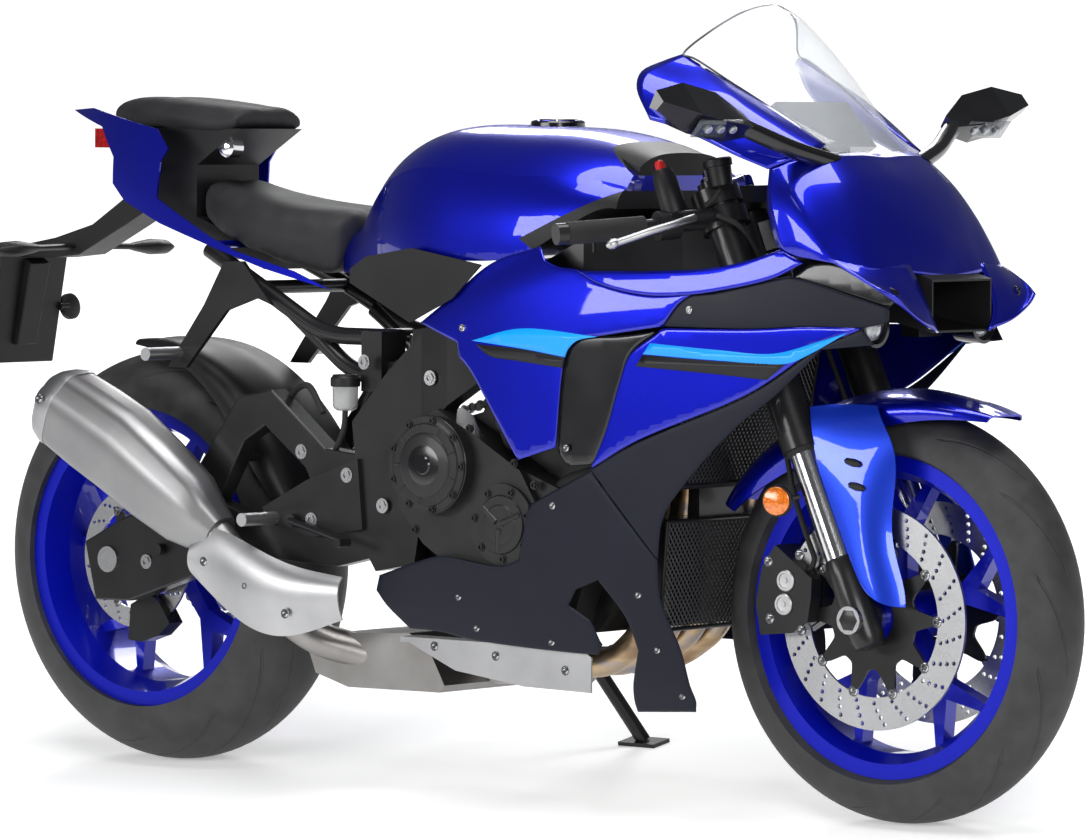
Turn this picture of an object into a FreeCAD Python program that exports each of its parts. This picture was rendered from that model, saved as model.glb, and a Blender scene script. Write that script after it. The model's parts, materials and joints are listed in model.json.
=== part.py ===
import FreeCAD, Part
import math
import os
import Sketcher

# A litre-class sport bike, parked on its side stand.
#
# The bike is laid out upright first: X runs forward from the rear axle,
# Y runs to the left and Z up from the ground. The finished sub-parts are then
# leaned over onto the stand by one placement that they all share.
#
# Places on the bodywork are read on the layout lines of the bike: stations
# along it, buttock lines across it and waterlines up it. One step of each is
# worked out from the wheelbase, the cowl's width and the screen's height.

V = FreeCAD.Vector
ORIGIN = V(0, 0, 0)
ALONG = V(1, 0, 0)
ACROSS = V(0, 1, 0)
UPWARD = V(0, 0, 1)

# Driving sizes, in millimetres and degrees.
SIZES = {
    # Chassis layout
    "wheelbase": 1405,
    "screen_height": 1170,
    "cowl_width": 430,
    "rake_angle": 24,
    "lean_angle": 10,
    "fork_offset": 28,
    "fork_spacing": 210,
    # Wheels and tyres
    "front_tyre_radius": 298,
    "front_tyre_width": 120,
    "rear_tyre_radius": 320,
    "rear_tyre_width": 190,
    "rim_seat_radius": 216,
    "rim_flange_depth": 16,
    "rim_wall": 6,
    "rim_well_depth": 14,
    "front_rim_width": 98,
    "rear_rim_width": 168,
    "bead_gap": 0.4,
    "spoke_count": 5,
    "spoke_depth": 26,
    "spoke_stem_width": 30,
    "spoke_arm_width": 13,
    "spoke_fork_radius": 112,
    "spoke_spread_angle": 15,
    "front_hub_radius": 34,
    "rear_hub_radius": 46,
    "axle_radius": 12.5,
    "rear_axle_width": 330,
    "running_gap": 0.5,
    "spacer_radius": 20,
    # Brakes
    "front_disc_radius": 160,
    "front_disc_track": 33,
    "front_disc_place": 74,
    "rear_disc_radius": 110,
    "rear_disc_track": 30,
    "rear_disc_place": 96,
    "disc_thickness": 5,
    "carrier_radius": 58,
    "carrier_gap": 0.3,
    "pad_gap": 1,
    # Final drive
    "chain_place": 110,
    "chain_pitch": 15.875,
    "chain_width": 20,
    "chain_height": 15,
    "chain_gap": 1.5,
    "sprocket_teeth": 41,
    "front_sprocket_teeth": 16,
    "sprocket_thickness": 7,
    # Fork and steering
    "fork_outer_radius": 28,
    "fork_inner_radius": 21.5,
    "fork_outer_length": 400,
    "fork_head_rise": 660,
    "clamp_thickness": 26,
    "lower_clamp_rise": 430,
    "stem_radius": 17,
    "bearing_gap": 2,
    "head_tube_radius": 30,
    "bar_radius": 11,
    "bar_length": 248,
    "bar_rise_angle": 7,
    "bar_sweep_angle": 27,
    "grip_radius": 16.5,
    "grip_length": 120,
    # Frame, swingarm and stand
    "spar_thickness": 30,
    "arm_thickness": 34,
    "plate_thickness": 8,
    "panel_wall": 3,
    "stand_radius": 11,
    "stand_foot_length": 70,
    "stand_foot_width": 40,
    "stand_foot_thickness": 6,
    "stand_cant_angle": 15,
    "stand_pin_radius": 5,
    "spool_radius": 9,
    "spool_rise": 14,
    "stem_bore_radius": 8.5,
    "stem_bore_depth": 40,
    "plate_hole_spacing": 110,
    "plate_hole_radius": 3,
    "peg_radius": 10,
    "peg_length": 75,
    "pipe_radius": 20,
    "hose_radius": 4,
    "seat_gap": 0.4,
    "screen_wall": 3,
    "cut_overrun": 40,
}

# The layout's steps, as counts of lines that fit the driving sizes.
WHEELBASE_SHARE = 14.05
SCREEN_SHARE = 11.7
COWL_SHARE = 4.3

doc = FreeCAD.newDocument("SportBike")
sheet = doc.addObject("Spreadsheet::Sheet", "Sizes")
for row, (alias, value) in enumerate(SIZES.items(), start=1):
    sheet.set(f"A{row}", alias)
    sheet.set(f"B{row}", str(value))
    sheet.setAlias(f"B{row}", alias)
doc.recompute()


def size(name):
    """Read one driving size from the sheet."""
    return float(getattr(sheet, name))


STATION = size("wheelbase") / WHEELBASE_SHARE
BUTTOCK = size("cowl_width") / COWL_SHARE
WATERLINE = size("screen_height") / SCREEN_SHARE

NODES = []
SHAPES = {}


def at(share):
    """Turn a place on the layout lines into a point."""
    return V(share[0] * STATION, share[1] * BUTTOCK, share[2] * WATERLINE)


def points_at(shares):
    """Turn a table of places into points."""
    return [at(share) for share in shares]


def side_point(share, y):
    """Turn a place on the side view into a point at the given distance across."""
    return V(share[0] * STATION, y, share[1] * WATERLINE)


def node(thing, name):
    """Name a finished sub-part and keep it for the placement and the files."""
    thing.Label = name
    NODES.append(thing)
    return thing


def feature(name, shape):
    """Hold a free-form shape as one sub-part."""
    thing = doc.addObject("Part::Feature", name)
    thing.Shape = shape
    SHAPES[name] = shape
    return node(thing, name)


SLIVER_SHARE = 0.002


def seated(shape, *names):
    """Trim a shape so that its faces meet those of the pieces it sits on."""
    cut = shape.cut([SHAPES[name] for name in names])
    least = max(solid.Volume for solid in cut.Solids) * SLIVER_SHARE
    kept = [solid for solid in cut.Solids if solid.Volume > least]
    if len(kept) == 1:
        return kept[0]
    return Part.makeCompound(kept)


def bind(thing, sizes):
    """Tie a feature's own sizes to the sheet."""
    for key, expression in sizes.items():
        thing.setExpression(key, expression)


def mirrored(shape):
    """Copy a shape to the other side of the bike."""
    return shape.mirror(ORIGIN, ACROSS)


def both_sides(shape):
    """Join a shape and its mirror image without touching them."""
    return Part.makeCompound(shape.Solids + mirrored(shape).Solids)


def polygon(points):
    """Close a run of straight edges."""
    return Part.makePolygon(list(points) + [points[0]])


def spline(points):
    """Draw a smooth edge through points."""
    curve = Part.BSplineCurve()
    curve.interpolate(list(points))
    return curve.toShape()


def prism(side_shares, near, far):
    """Extrude an outline on the side view from one distance across to another."""
    outline = polygon([side_point(share, near) for share in side_shares])
    return Part.Face(outline).extrude(V(0, far - near, 0))


def rod(start, end, radius):
    """Make a round bar between two points."""
    axis = end - start
    return Part.makeCylinder(radius, axis.Length, start, axis)


def across_rod(centre, radius, near, far):
    """Make a round bar across the bike between two distances."""
    start = V(centre.x, near, centre.z)
    return Part.makeCylinder(radius, far - near, start, ACROSS)


def block(low, high):
    """Make a box between two corners."""
    extent = high - low
    return Part.makeBox(extent.x, extent.y, extent.z, low)


def bent_path(points, bends):
    """Join straight runs by tangent arcs of the given radii."""
    edges = []
    start = points[0]
    for before, corner, after, bend in zip(points, points[1:], points[2:], bends):
        inward = (before - corner).normalize()
        outward = (after - corner).normalize()
        half = inward.getAngle(outward) / 2
        reach = bend / math.tan(half)
        first = corner + inward * reach
        last = corner + outward * reach
        middle_way = (inward + outward).normalize()
        middle = corner + middle_way * (bend / math.sin(half) - bend)
        if (first - start).Length > 1e-6:
            edges.append(Part.LineSegment(start, first).toShape())
        edges.append(Part.Arc(first, middle, last).toShape())
        start = last
    edges.append(Part.LineSegment(start, points[-1]).toShape())
    return Part.Wire(edges)


def tube(points, radius, bend_share):
    """Sweep a round section along straight runs and arcs."""
    bends = []
    for before, corner, after in zip(points, points[1:], points[2:]):
        turn = math.pi - (before - corner).getAngle(after - corner)
        shorter = min((before - corner).Length, (after - corner).Length)
        bends.append(bend_share * shorter / math.tan(turn / 2))
    path = bent_path(points, bends)
    section = Part.Wire(Part.makeCircle(radius, points[0], points[1] - points[0]))
    return path.makePipeShell([section], True, False)


def grid_normals(rows):
    """Work out the outward direction at each point of a grid."""
    normals = []
    last_row = len(rows) - 1
    last_column = len(rows[0]) - 1
    for i in range(len(rows)):
        line = []
        for j in range(len(rows[0])):
            along = rows[min(i + 1, last_row)][j] - rows[max(i - 1, 0)][j]
            over = rows[i][min(j + 1, last_column)] - rows[i][max(j - 1, 0)]
            line.append(along.cross(over).normalize())
        normals.append(line)
    return normals


def inner_rows(rows, wall):
    """Offset a grid of points inward by the wall."""
    normals = grid_normals(rows)
    inner = []
    for row, ways in zip(rows, normals):
        inner.append([point - way * wall for point, way in zip(row, ways)])
    return inner


def skin(rows, wall):
    """Loft a thin closed wall through rows of points on its outer face."""
    wires = []
    caps = []
    pairs = list(zip(rows, inner_rows(rows, wall)))
    for row, inner in pairs:
        outer_edge = spline(row)
        inner_edge = spline(inner[::-1])
        first = Part.makeLine(row[-1], inner[-1])
        last = Part.makeLine(inner[0], row[0])
        wires.append(Part.Wire([outer_edge, first, inner_edge, last]))
    for row, inner in (pairs[0], pairs[-1]):
        caps.append(Part.makeRuledSurface(spline(row), spline(inner)))
    sides = Part.makeLoft(wires, False, False)
    shell = Part.Shell(sides.Faces + caps)
    shell.sewShape()
    solid = Part.Solid(shell)
    if solid.Volume < 0:
        solid.reverse()
    return solid


def body_loft(sections, ruled=False):
    """Loft a closed body through sections, each a list of edge point lists."""
    wires = []
    for section in sections:
        edges = []
        for run in section:
            if len(run) == 2:
                edges.append(Part.makeLine(run[0], run[1]))
            else:
                edges.append(spline(run))
        wires.append(Part.Wire(edges))
    return Part.makeLoft(wires, True, ruled)


def fuse(shapes):
    """Join shapes into one."""
    joined = shapes[0].multiFuse(shapes[1:])
    return joined.removeSplitter()


def new_body(name):
    """Start a sub-part that is built feature by feature."""
    return doc.addObject("PartDesign::Body", name)


def origin_plane(body, role):
    """Find one of the body's own origin planes."""
    for item in body.Origin.OriginFeatures:
        if item.Role == role:
            return item
    raise ValueError(role)


def draw(body, name, role, points, closed=True, offset=None):
    """Draw straight edges through points on a plane of the body."""
    sketch = body.newObject("Sketcher::SketchObject", name)
    sketch.AttachmentSupport = (origin_plane(body, role), "")
    sketch.MapMode = "FlatFace"
    if offset is not None:
        sketch.AttachmentOffset = FreeCAD.Placement(V(0, 0, offset), FreeCAD.Rotation())
    add_loop(sketch, points)
    return sketch


def add_loop(sketch, points):
    """Add one closed loop of straight edges to a sketch and fix its corners."""
    first = sketch.GeometryCount
    corners = [V(point[0], point[1], 0) for point in points]
    for start, end in zip(corners, corners[1:] + corners[:1]):
        sketch.addGeometry(Part.LineSegment(start, end), False)
    count = len(corners)
    for step in range(count):
        edge = first + step
        following = first + (step + 1) % count
        sketch.addConstraint(Sketcher.Constraint("Coincident", edge, 2, following, 1))


def revolve(body, name, sketch):
    """Turn a profile once about the wheel axis."""
    turned = body.newObject("PartDesign::Revolution", name)
    turned.Profile = sketch
    turned.ReferenceAxis = (sketch, ["H_Axis"])
    turned.Angle = 360
    return turned


FRONT_AXLE = V(size("wheelbase"), 0, size("front_tyre_radius"))
REAR_AXLE = V(0, 0, size("rear_tyre_radius"))
RAKE = math.radians(size("rake_angle"))
FORK_UP = V(-math.sin(RAKE), 0, math.cos(RAKE))
FORK_AHEAD = V(math.cos(RAKE), 0, math.sin(RAKE))
STEER_POINT = FRONT_AXLE - FORK_AHEAD * size("fork_offset")


def on_fork(rise, ahead=0.0, y=0.0):
    """Find a point by its rise along the fork from the axle's height."""
    return FRONT_AXLE + FORK_UP * rise + FORK_AHEAD * ahead + V(0, y, 0)


def fork_rise(height):
    """Work out the rise along the fork that reaches a height."""
    return (height - FRONT_AXLE.z) / FORK_UP.z


# Wheels


def make_tyre(name, axle, radius_name, width_name, rim_name):
    """Turn a tyre whose crown is a half circle and whose beads sit in the rim."""
    radius = size(radius_name)
    crown = size(width_name) / 2
    flange = size("rim_seat_radius") + size("rim_flange_depth")
    bead = size(rim_name) / 2 - size("rim_wall") - size("bead_gap")
    lip = size(rim_name) / 2
    seat = size("rim_seat_radius") + size("bead_gap")
    shoulder = radius - crown
    above = flange + size("bead_gap")
    body = new_body(name + "_body")
    sketch = body.newObject("Sketcher::SketchObject", name + "_profile")
    sketch.AttachmentSupport = (origin_plane(body, "YZ_Plane"), "")
    sketch.MapMode = "FlatFace"
    knee = max(shoulder, above)
    swell = math.sqrt(crown ** 2 - (knee - shoulder) ** 2)
    crown_arc = Part.Arc(V(-swell, knee, 0), V(0, radius, 0), V(swell, knee, 0))
    corners = [
        V(swell, knee, 0),
        V(lip, above, 0),
        V(bead, above, 0),
        V(bead, seat, 0),
        V(-bead, seat, 0),
        V(-bead, above, 0),
        V(-lip, above, 0),
        V(-swell, knee, 0),
    ]
    sketch.addGeometry(crown_arc, False)
    for start, end in zip(corners, corners[1:]):
        if (end - start).Length > 1e-6:
            sketch.addGeometry(Part.LineSegment(start, end), False)
    turned = revolve(body, name + "_turned", sketch)
    body.Tip = turned
    body.Placement = FreeCAD.Placement(axle, FreeCAD.Rotation())
    return body


def ring_profile(half_width):
    """Outline the rim's barrel: flanges, bead seats and a drop centre."""
    seat = size("rim_seat_radius")
    flange = seat + size("rim_flange_depth")
    wall = size("rim_wall")
    well = seat - size("rim_well_depth")
    well_half = half_width / 2
    right = [
        (half_width, flange),
        (half_width - wall, flange),
        (half_width - wall, seat),
        (well_half + wall, seat),
        (well_half, well),
    ]
    left = [(-y, z) for y, z in reversed(right)]
    inner = [
        (-well_half, well - wall),
        (-half_width, seat - wall),
    ]
    mirror_inner = [(-y, z) for y, z in reversed(inner)]
    return right + left + list(reversed(inner)) + list(reversed(mirror_inner))


def spoke_outline():
    """Outline one forked spoke from the hub to the rim's well."""
    stem = size("spoke_stem_width") / 2
    arm = size("spoke_arm_width") / 2
    fork = size("spoke_fork_radius")
    root = size("axle_radius") + size("rim_wall")
    tip = size("rim_seat_radius") - size("rim_well_depth") - size("rim_wall") / 2
    spread = math.radians(size("spoke_spread_angle"))

    def rim_point(angle, shift):
        along = V(math.sin(angle), math.cos(angle), 0)
        side = V(math.cos(angle), -math.sin(angle), 0)
        point = along * tip + side * shift
        return (point.x, point.y)

    crotch = fork + size("spoke_stem_width")
    return [
        (-stem, root),
        (stem, root),
        (stem * 0.8, fork),
        rim_point(spread, arm),
        rim_point(spread, -arm),
        (0, crotch),
        rim_point(-spread, arm),
        rim_point(-spread, -arm),
        (-stem * 0.8, fork),
    ]


def make_rim(name, axle, width_name, hub_radius, right_end, left_end):
    """Build a cast wheel: a turned barrel, forked spokes and a bored hub."""
    body = new_body(name + "_body")
    body.AllowCompound = True
    half_width = size(width_name) / 2
    barrel = draw(body, name + "_barrel", "YZ_Plane", ring_profile(half_width))
    revolve(body, name + "_barrel_turned", barrel)
    depth = size("spoke_depth")
    outline = draw(body, name + "_spoke", "XZ_Plane", spoke_outline(), offset=-depth / 2)
    spoke = body.newObject("PartDesign::Pad", name + "_spoke_pad")
    spoke.Profile = outline
    spoke.setExpression("Length", "Sizes.spoke_depth")
    pattern = body.newObject("PartDesign::PolarPattern", name + "_spokes")
    pattern.Originals = [spoke]
    pattern.Axis = (outline, ["N_Axis"])
    pattern.Angle = 360
    pattern.setExpression("Occurrences", "Sizes.spoke_count")
    body.Tip = pattern
    doc.recompute()
    bore = size("axle_radius") + size("running_gap")
    hub_outline = [
        (-right_end, bore),
        (left_end, bore),
        (left_end, size(hub_radius)),
        (-right_end, size(hub_radius)),
    ]
    hub = draw(body, name + "_hub", "YZ_Plane", hub_outline)
    turned = revolve(body, name + "_hub_turned", hub)
    doc.recompute()
    bore_sketch = body.newObject("Sketcher::SketchObject", name + "_bore")
    bore_sketch.AttachmentSupport = (origin_plane(body, "XZ_Plane"), "")
    bore_sketch.MapMode = "FlatFace"
    bore_sketch.addGeometry(Part.Circle(ORIGIN, UPWARD, bore), False)
    cut = body.newObject("PartDesign::Pocket", name + "_bore_cut")
    cut.Profile = bore_sketch
    cut.Type = "ThroughAll"
    cut.Midplane = True
    body.Tip = cut
    body.Placement = FreeCAD.Placement(axle, FreeCAD.Rotation())
    return body


def make_disc(name, axle, radius_name, track_name, place):
    """Build a brake disc: a flat track held by a pierced carrier."""
    radius = size(radius_name)
    track = size(track_name)
    half = size("disc_thickness") / 2
    inner = radius - track
    hub = size("carrier_radius")
    centre = V(axle.x, place - half, axle.z)
    thickness = size("disc_thickness")
    ring = Part.makeCylinder(radius, thickness, centre, ACROSS)
    ring = ring.cut(Part.makeCylinder(inner, thickness, centre, ACROSS))
    carrier = Part.makeCylinder(inner, thickness, centre, ACROSS)
    bore = size("spacer_radius") + size("running_gap")
    carrier = carrier.cut(Part.makeCylinder(bore, thickness, centre, ACROSS))
    windows = []
    middle = (inner + hub) / 2
    window_radius = (inner - hub) / 2 * 0.72
    for step in range(int(size("spoke_count")) * 2):
        angle = math.pi * 2 * step / (size("spoke_count") * 2)
        away = V(math.cos(angle) * middle, 0, math.sin(angle) * middle)
        windows.append(Part.makeCylinder(window_radius, thickness, centre + away, ACROSS))
    return ring.fuse(carrier.cut(Part.makeCompound(windows))).removeSplitter()


def make_wheels():
    """Build both wheels with their tyres, discs and sprocket."""
    node(make_tyre("front_tyre", FRONT_AXLE, "front_tyre_radius", "front_tyre_width",
                   "front_rim_width"), "front_tyre")
    node(make_tyre("rear_tyre", REAR_AXLE, "rear_tyre_radius", "rear_tyre_width",
                   "rear_rim_width"), "rear_tyre")
    half_disc = size("disc_thickness") / 2 + size("carrier_gap")
    front_end = size("front_disc_place") - half_disc
    right_end = size("rear_disc_place") - half_disc
    left_end = size("chain_place") - size("sprocket_thickness") / 2 - size("carrier_gap")
    node(make_rim("front_rim", FRONT_AXLE, "front_rim_width", "front_hub_radius",
                  front_end, front_end), "front_rim")
    node(make_rim("rear_rim", REAR_AXLE, "rear_rim_width", "rear_hub_radius",
                  right_end, left_end), "rear_rim")
    front_disc = make_disc("front_disc", FRONT_AXLE, "front_disc_radius",
                           "front_disc_track", -size("front_disc_place"))
    feature("front_discs", both_sides(front_disc))
    feature("rear_disc", make_disc("rear_disc", REAR_AXLE, "rear_disc_radius",
                                   "rear_disc_track", -size("rear_disc_place")))
    make_sprocket()


def pitch_radius(teeth):
    """Work out the pitch radius of a sprocket from its count of teeth."""
    return size("chain_pitch") / (2 * math.sin(math.pi / teeth))


def make_sprocket():
    """Cut a toothed rear sprocket that runs inside the chain's rollers."""
    teeth = int(size("sprocket_teeth"))
    tip = pitch_radius(teeth) - size("chain_height") / 2 - size("chain_gap")
    root = tip - size("chain_height") / 3
    place = size("chain_place")
    half = size("sprocket_thickness") / 2
    corners = []
    for step in range(teeth):
        for share, reach in ((0.0, root), (0.3, root), (0.45, tip), (0.85, tip)):
            angle = 2 * math.pi * (step + share) / teeth
            corners.append(V(REAR_AXLE.x + reach * math.cos(angle), place - half,
                             REAR_AXLE.z + reach * math.sin(angle)))
    disc = Part.Face(polygon(corners)).extrude(V(0, 2 * half, 0))
    bore = size("spacer_radius") + size("running_gap")
    start = V(REAR_AXLE.x, place - half, REAR_AXLE.z)
    cutters = [Part.makeCylinder(bore, 2 * half, start, ACROSS)]
    count = int(size("spoke_count"))
    middle = (root + size("rear_hub_radius")) / 2
    hole = (root - size("rear_hub_radius")) / 3
    for step in range(count):
        angle = 2 * math.pi * step / count
        away = V(middle * math.cos(angle), 0, middle * math.sin(angle))
        cutters.append(Part.makeCylinder(hole, 2 * half, start + away, ACROSS))
    feature("rear_sprocket", disc.cut(Part.makeCompound(cutters)))


# Fork and steering


def fork_parts():
    """Build the fork legs, their outer tubes and the front axle."""
    half = size("fork_spacing") / 2
    head = size("fork_head_rise")
    outer_foot = head - size("fork_outer_length")
    sleeves = []
    legs = []
    for side in (-1, 1):
        y = side * half
        sleeve = rod(on_fork(outer_foot, y=y), on_fork(head, y=y), size("fork_outer_radius"))
        cap_start = on_fork(head, y=y)
        cap = rod(cap_start, cap_start + FORK_UP * size("clamp_thickness") / 2,
                  size("fork_inner_radius"))
        collar_start = on_fork(outer_foot, y=y)
        collar = rod(collar_start, collar_start + FORK_UP * size("clamp_thickness"),
                     size("fork_outer_radius") + size("plate_thickness") / 4)
        sleeves.append(sleeve.multiFuse([cap, collar]))
        leg = rod(on_fork(0, y=y), on_fork(outer_foot, y=y), size("fork_inner_radius"))
        foot = rod(on_fork(-size("axle_radius") * 2, y=y),
                   on_fork(size("fork_outer_radius") * 2, y=y),
                   size("fork_inner_radius") * (1 + FOOT_WALL_SHARE))
        legs.append(leg.fuse(foot))
    feature("fork_outers", Part.makeCompound(sleeves))
    foot_radius = size("fork_inner_radius") * (1 + FOOT_WALL_SHARE)
    bore_half = half + foot_radius + size("plate_thickness")
    bore = across_rod(FRONT_AXLE, size("axle_radius"), -bore_half, bore_half)
    feature("fork_inners", Part.makeCompound([leg.cut(bore) for leg in legs]))
    axle_parts = [bore]
    inner = size("front_disc_place") - size("disc_thickness") / 2
    spacer_end = half - foot_radius
    for near, far in ((-spacer_end, -inner), (inner, spacer_end)):
        axle_parts.append(across_rod(FRONT_AXLE, size("spacer_radius"), near, far))
    for near, far in ((-bore_half, -bore_half + size("plate_thickness")),
                      (bore_half - size("plate_thickness"), bore_half)):
        cap = across_rod(FRONT_AXLE, size("spacer_radius"), near, far)
        axle_parts.append(cap)
    feature("front_axle", fuse(axle_parts))


FOOT_WALL_SHARE = 0.09


def triple_clamp(rise, thickness):
    """Build one yoke that grips both fork legs and the stem."""
    half = size("fork_spacing") / 2
    grip = size("fork_outer_radius") + size("plate_thickness")
    start = on_fork(rise)
    stem_start = start - FORK_AHEAD * size("fork_offset")
    shapes = [rod(stem_start, stem_start + FORK_UP * thickness, size("head_tube_radius"))]
    corners = []
    reach = size("head_tube_radius")
    for ahead, y in ((-reach, -reach), (grip * 0.5, -half), (grip * 0.9, 0),
                     (grip * 0.5, half), (-reach, reach)):
        shift = size("fork_offset") if y == 0 or abs(y) == reach else 0
        corners.append(start + FORK_AHEAD * (ahead - shift) + V(0, y, 0))
    corners[2] = start + FORK_AHEAD * grip * 0.6
    web = Part.Face(polygon(corners)).extrude(FORK_UP * thickness)
    shapes.append(web)
    for side in (-1, 1):
        eye = on_fork(rise, y=side * half)
        shapes.append(rod(eye, eye + FORK_UP * thickness, grip))
    holes = []
    for side in (-1, 1):
        eye = on_fork(rise, y=side * half)
        holes.append(rod(eye, eye + FORK_UP * thickness, size("fork_outer_radius")))
    return fuse(shapes).cut(Part.makeCompound(holes))


def make_triple_clamps():
    """Build both yokes and the stem that joins them."""
    thickness = size("clamp_thickness")
    lower_rise = size("lower_clamp_rise")
    upper_rise = size("fork_head_rise") - thickness
    lower = triple_clamp(lower_rise, thickness)
    upper = triple_clamp(upper_rise, thickness)
    back = FORK_AHEAD * size("fork_offset")
    stem = rod(on_fork(lower_rise) - back, on_fork(upper_rise + thickness) - back,
               size("stem_radius"))
    nut_start = on_fork(upper_rise + thickness) - back
    nut = rod(nut_start, nut_start + FORK_UP * thickness / 2, size("stem_radius"))
    bore = Part.makeCylinder(size("stem_bore_radius"), size("stem_bore_depth"),
                             stem_mouth(), FORK_UP)
    feature("triple_clamps", fuse([lower, upper, stem, nut]).cut(bore))


def stem_mouth():
    """Find the mouth of the stem's lower bore."""
    return on_fork(size("lower_clamp_rise")) - FORK_AHEAD * size("fork_offset")


# A clip-on bar leaves the fork leg and runs outward and back.
BAR_CLAMP_SHARE = 0.93


def bar_way(side):
    """Work out the direction of one handlebar."""
    rise = math.radians(size("bar_rise_angle"))
    sweep = math.radians(size("bar_sweep_angle"))
    back = -FORK_AHEAD * math.sin(sweep) * math.cos(rise)
    upward = FORK_UP * math.sin(rise)
    out = V(0, side * math.cos(sweep) * math.cos(rise), 0)
    return back + upward + out


def bar_root(side):
    """Find where a handlebar leaves its clamp."""
    rise = size("fork_head_rise") * BAR_CLAMP_SHARE
    return on_fork(rise, y=side * size("fork_spacing") / 2)


def make_handlebars():
    """Build the clip-ons, their bars, the grips and the bar-end weights."""
    bars = []
    grips = []
    for side in (-1, 1):
        root = bar_root(side)
        way = bar_way(side)
        thickness = size("clamp_thickness")
        sleeve = rod(root - FORK_UP * thickness / 2, root + FORK_UP * thickness / 2,
                     size("fork_outer_radius") + size("plate_thickness"))
        tip = root + way * size("bar_length")
        bar = rod(root, tip, size("bar_radius"))
        weight_end = tip + way * size("grip_radius")
        weight = rod(tip, weight_end, size("grip_radius") - size("running_gap") * 2)
        leg = rod(root - FORK_UP * thickness, root + FORK_UP * thickness,
                  size("fork_outer_radius"))
        bars.append(sleeve.multiFuse([bar, weight]).cut(leg))
        grip = rod(tip - way * size("grip_length"), tip, size("grip_radius"))
        grips.append(grip.cut(bar))
    feature("handlebars", Part.makeCompound(bars))
    feature("grips", Part.makeCompound(grips))


# Lever blades, in bar lengths along the bar, ahead of it and below it.
LEVER_SHARES = ((0.40, 0.12, 0.0), (0.46, 0.28, -0.06), (0.72, 0.30, -0.12),
                (0.96, 0.24, -0.17))
LEVER_BLADE_SHARE = 0.022
LEVER_BALL_SHARE = 0.032


def lever_points(side):
    """Place one lever's bends beside its bar."""
    root = bar_root(side)
    way = bar_way(side)
    reach = size("bar_length")
    ahead = FORK_AHEAD
    points = []
    for out, front, up in LEVER_SHARES:
        points.append(root + way * reach * out + ahead * reach * front + FORK_UP * reach * up)
    return points


def make_levers():
    """Build the brake and clutch levers with their ball ends."""
    levers = []
    for side in (-1, 1):
        points = lever_points(side)
        reach = size("bar_length")
        blade = tube(points, reach * LEVER_BLADE_SHARE, 0.45)
        ball = Part.makeSphere(reach * LEVER_BALL_SHARE, points[-1])
        levers.append(blade.fuse(ball))
    feature("levers", Part.makeCompound(levers))


CONTROL_PLACE_SHARE = 0.30
CONTROL_LENGTH_SHARE = 0.13
CONTROL_RADIUS_SHARE = 0.085


def make_controls():
    """Build the switch housings, lever perches and the brake's master cylinder."""
    housings = []
    reach = size("bar_length")
    radius = reach * CONTROL_RADIUS_SHARE
    for side in (-1, 1):
        root = bar_root(side)
        way = bar_way(side)
        start = root + way * reach * CONTROL_PLACE_SHARE
        end = start + way * reach * CONTROL_LENGTH_SHARE
        drum = rod(start, end, radius)
        first, second = lever_points(side)[:2]
        perch = rod((start + end) / 2, first, reach * LEVER_BALL_SHARE)
        shapes = [drum, perch]
        if side < 0:
            inward = first - way * reach * CONTROL_PLACE_SHARE * 0.8
            shapes.append(rod(first, inward, reach * LEVER_BALL_SHARE * 1.2))
        housing = fuse(shapes)
        housings.append(seated(housing, "handlebars", "levers"))
    feature("controls", Part.makeCompound(housings))


# The front fender: angle ahead of straight up, radius over the tyre's, and
# how far down the sides reach.
FENDER_ANGLES = (31, 20, 5, -15, -38, -62)
FENDER_RISE_SHARES = (1.135, 1.105, 1.085, 1.075, 1.085, 1.10)
FENDER_HALF_SHARES = (0.33, 0.48, 0.54, 0.54, 0.54, 0.48)
FENDER_DROP_SHARES = (0.03, 0.09, 0.16, 0.22, 0.22, 0.10)


def make_front_fender():
    """Loft the fender's arch over the front tyre and its stays to the fork."""
    radius = size("front_tyre_radius")
    width = size("front_tyre_width")
    rows = tyre_arch(FRONT_AXLE, radius, width, FENDER_ANGLES, FENDER_RISE_SHARES,
                     FENDER_HALF_SHARES, FENDER_DROP_SHARES)
    shell = skin(rows, size("panel_wall"))
    half = size("fork_spacing") / 2
    lug_half = size("axle_radius")
    side = FENDER_HALF_SHARES[3] * width - size("panel_wall")
    leg = on_fork(size("fork_head_rise") - size("fork_outer_length") + lug_half * 3)
    lug = block(V(leg.x - lug_half, -half, leg.z - lug_half),
                V(leg.x + lug_half, -side, leg.z + lug_half))
    fender = fuse([shell, lug, mirrored(lug)])
    feature("front_fender", seated(fender, "fork_outers"))


# The guard ahead of the right fork leg, from its top down, each row from the
# leg forward: distance ahead of the axle, across and above it, over the
# tyre's radius.
GUARD_SHARES = (
    ((-0.322, -0.342, 1.000), (-0.150, -0.300, 1.018), (0.024, -0.268, 1.010)),
    ((-0.282, -0.376, 0.872), (-0.097, -0.350, 0.884), (0.111, -0.304, 0.886)),
    ((-0.232, -0.388, 0.711), (-0.044, -0.370, 0.705), (0.158, -0.304, 0.745)),
    ((-0.134, -0.385, 0.477), (0.023, -0.370, 0.463), (0.141, -0.304, 0.510)),
    ((-0.040, -0.385, 0.275), (0.077, -0.370, 0.255), (0.171, -0.306, 0.289)),
    ((0.050, -0.382, 0.128), (0.138, -0.366, 0.080), (0.228, -0.310, 0.067)),
)


def make_fork_guards():
    """Loft the guards that run down ahead of the fork legs."""
    radius = size("front_tyre_radius")
    rows = []
    for row in GUARD_SHARES:
        rows.append([FRONT_AXLE + V(x, y, z) * radius for x, y, z in row])
    guard = skin(rows, size("panel_wall"))
    feature("fork_guards", both_sides(seated(guard, "fork_outers", "fork_inners",
                                             "front_axle", "front_fender")))


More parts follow.
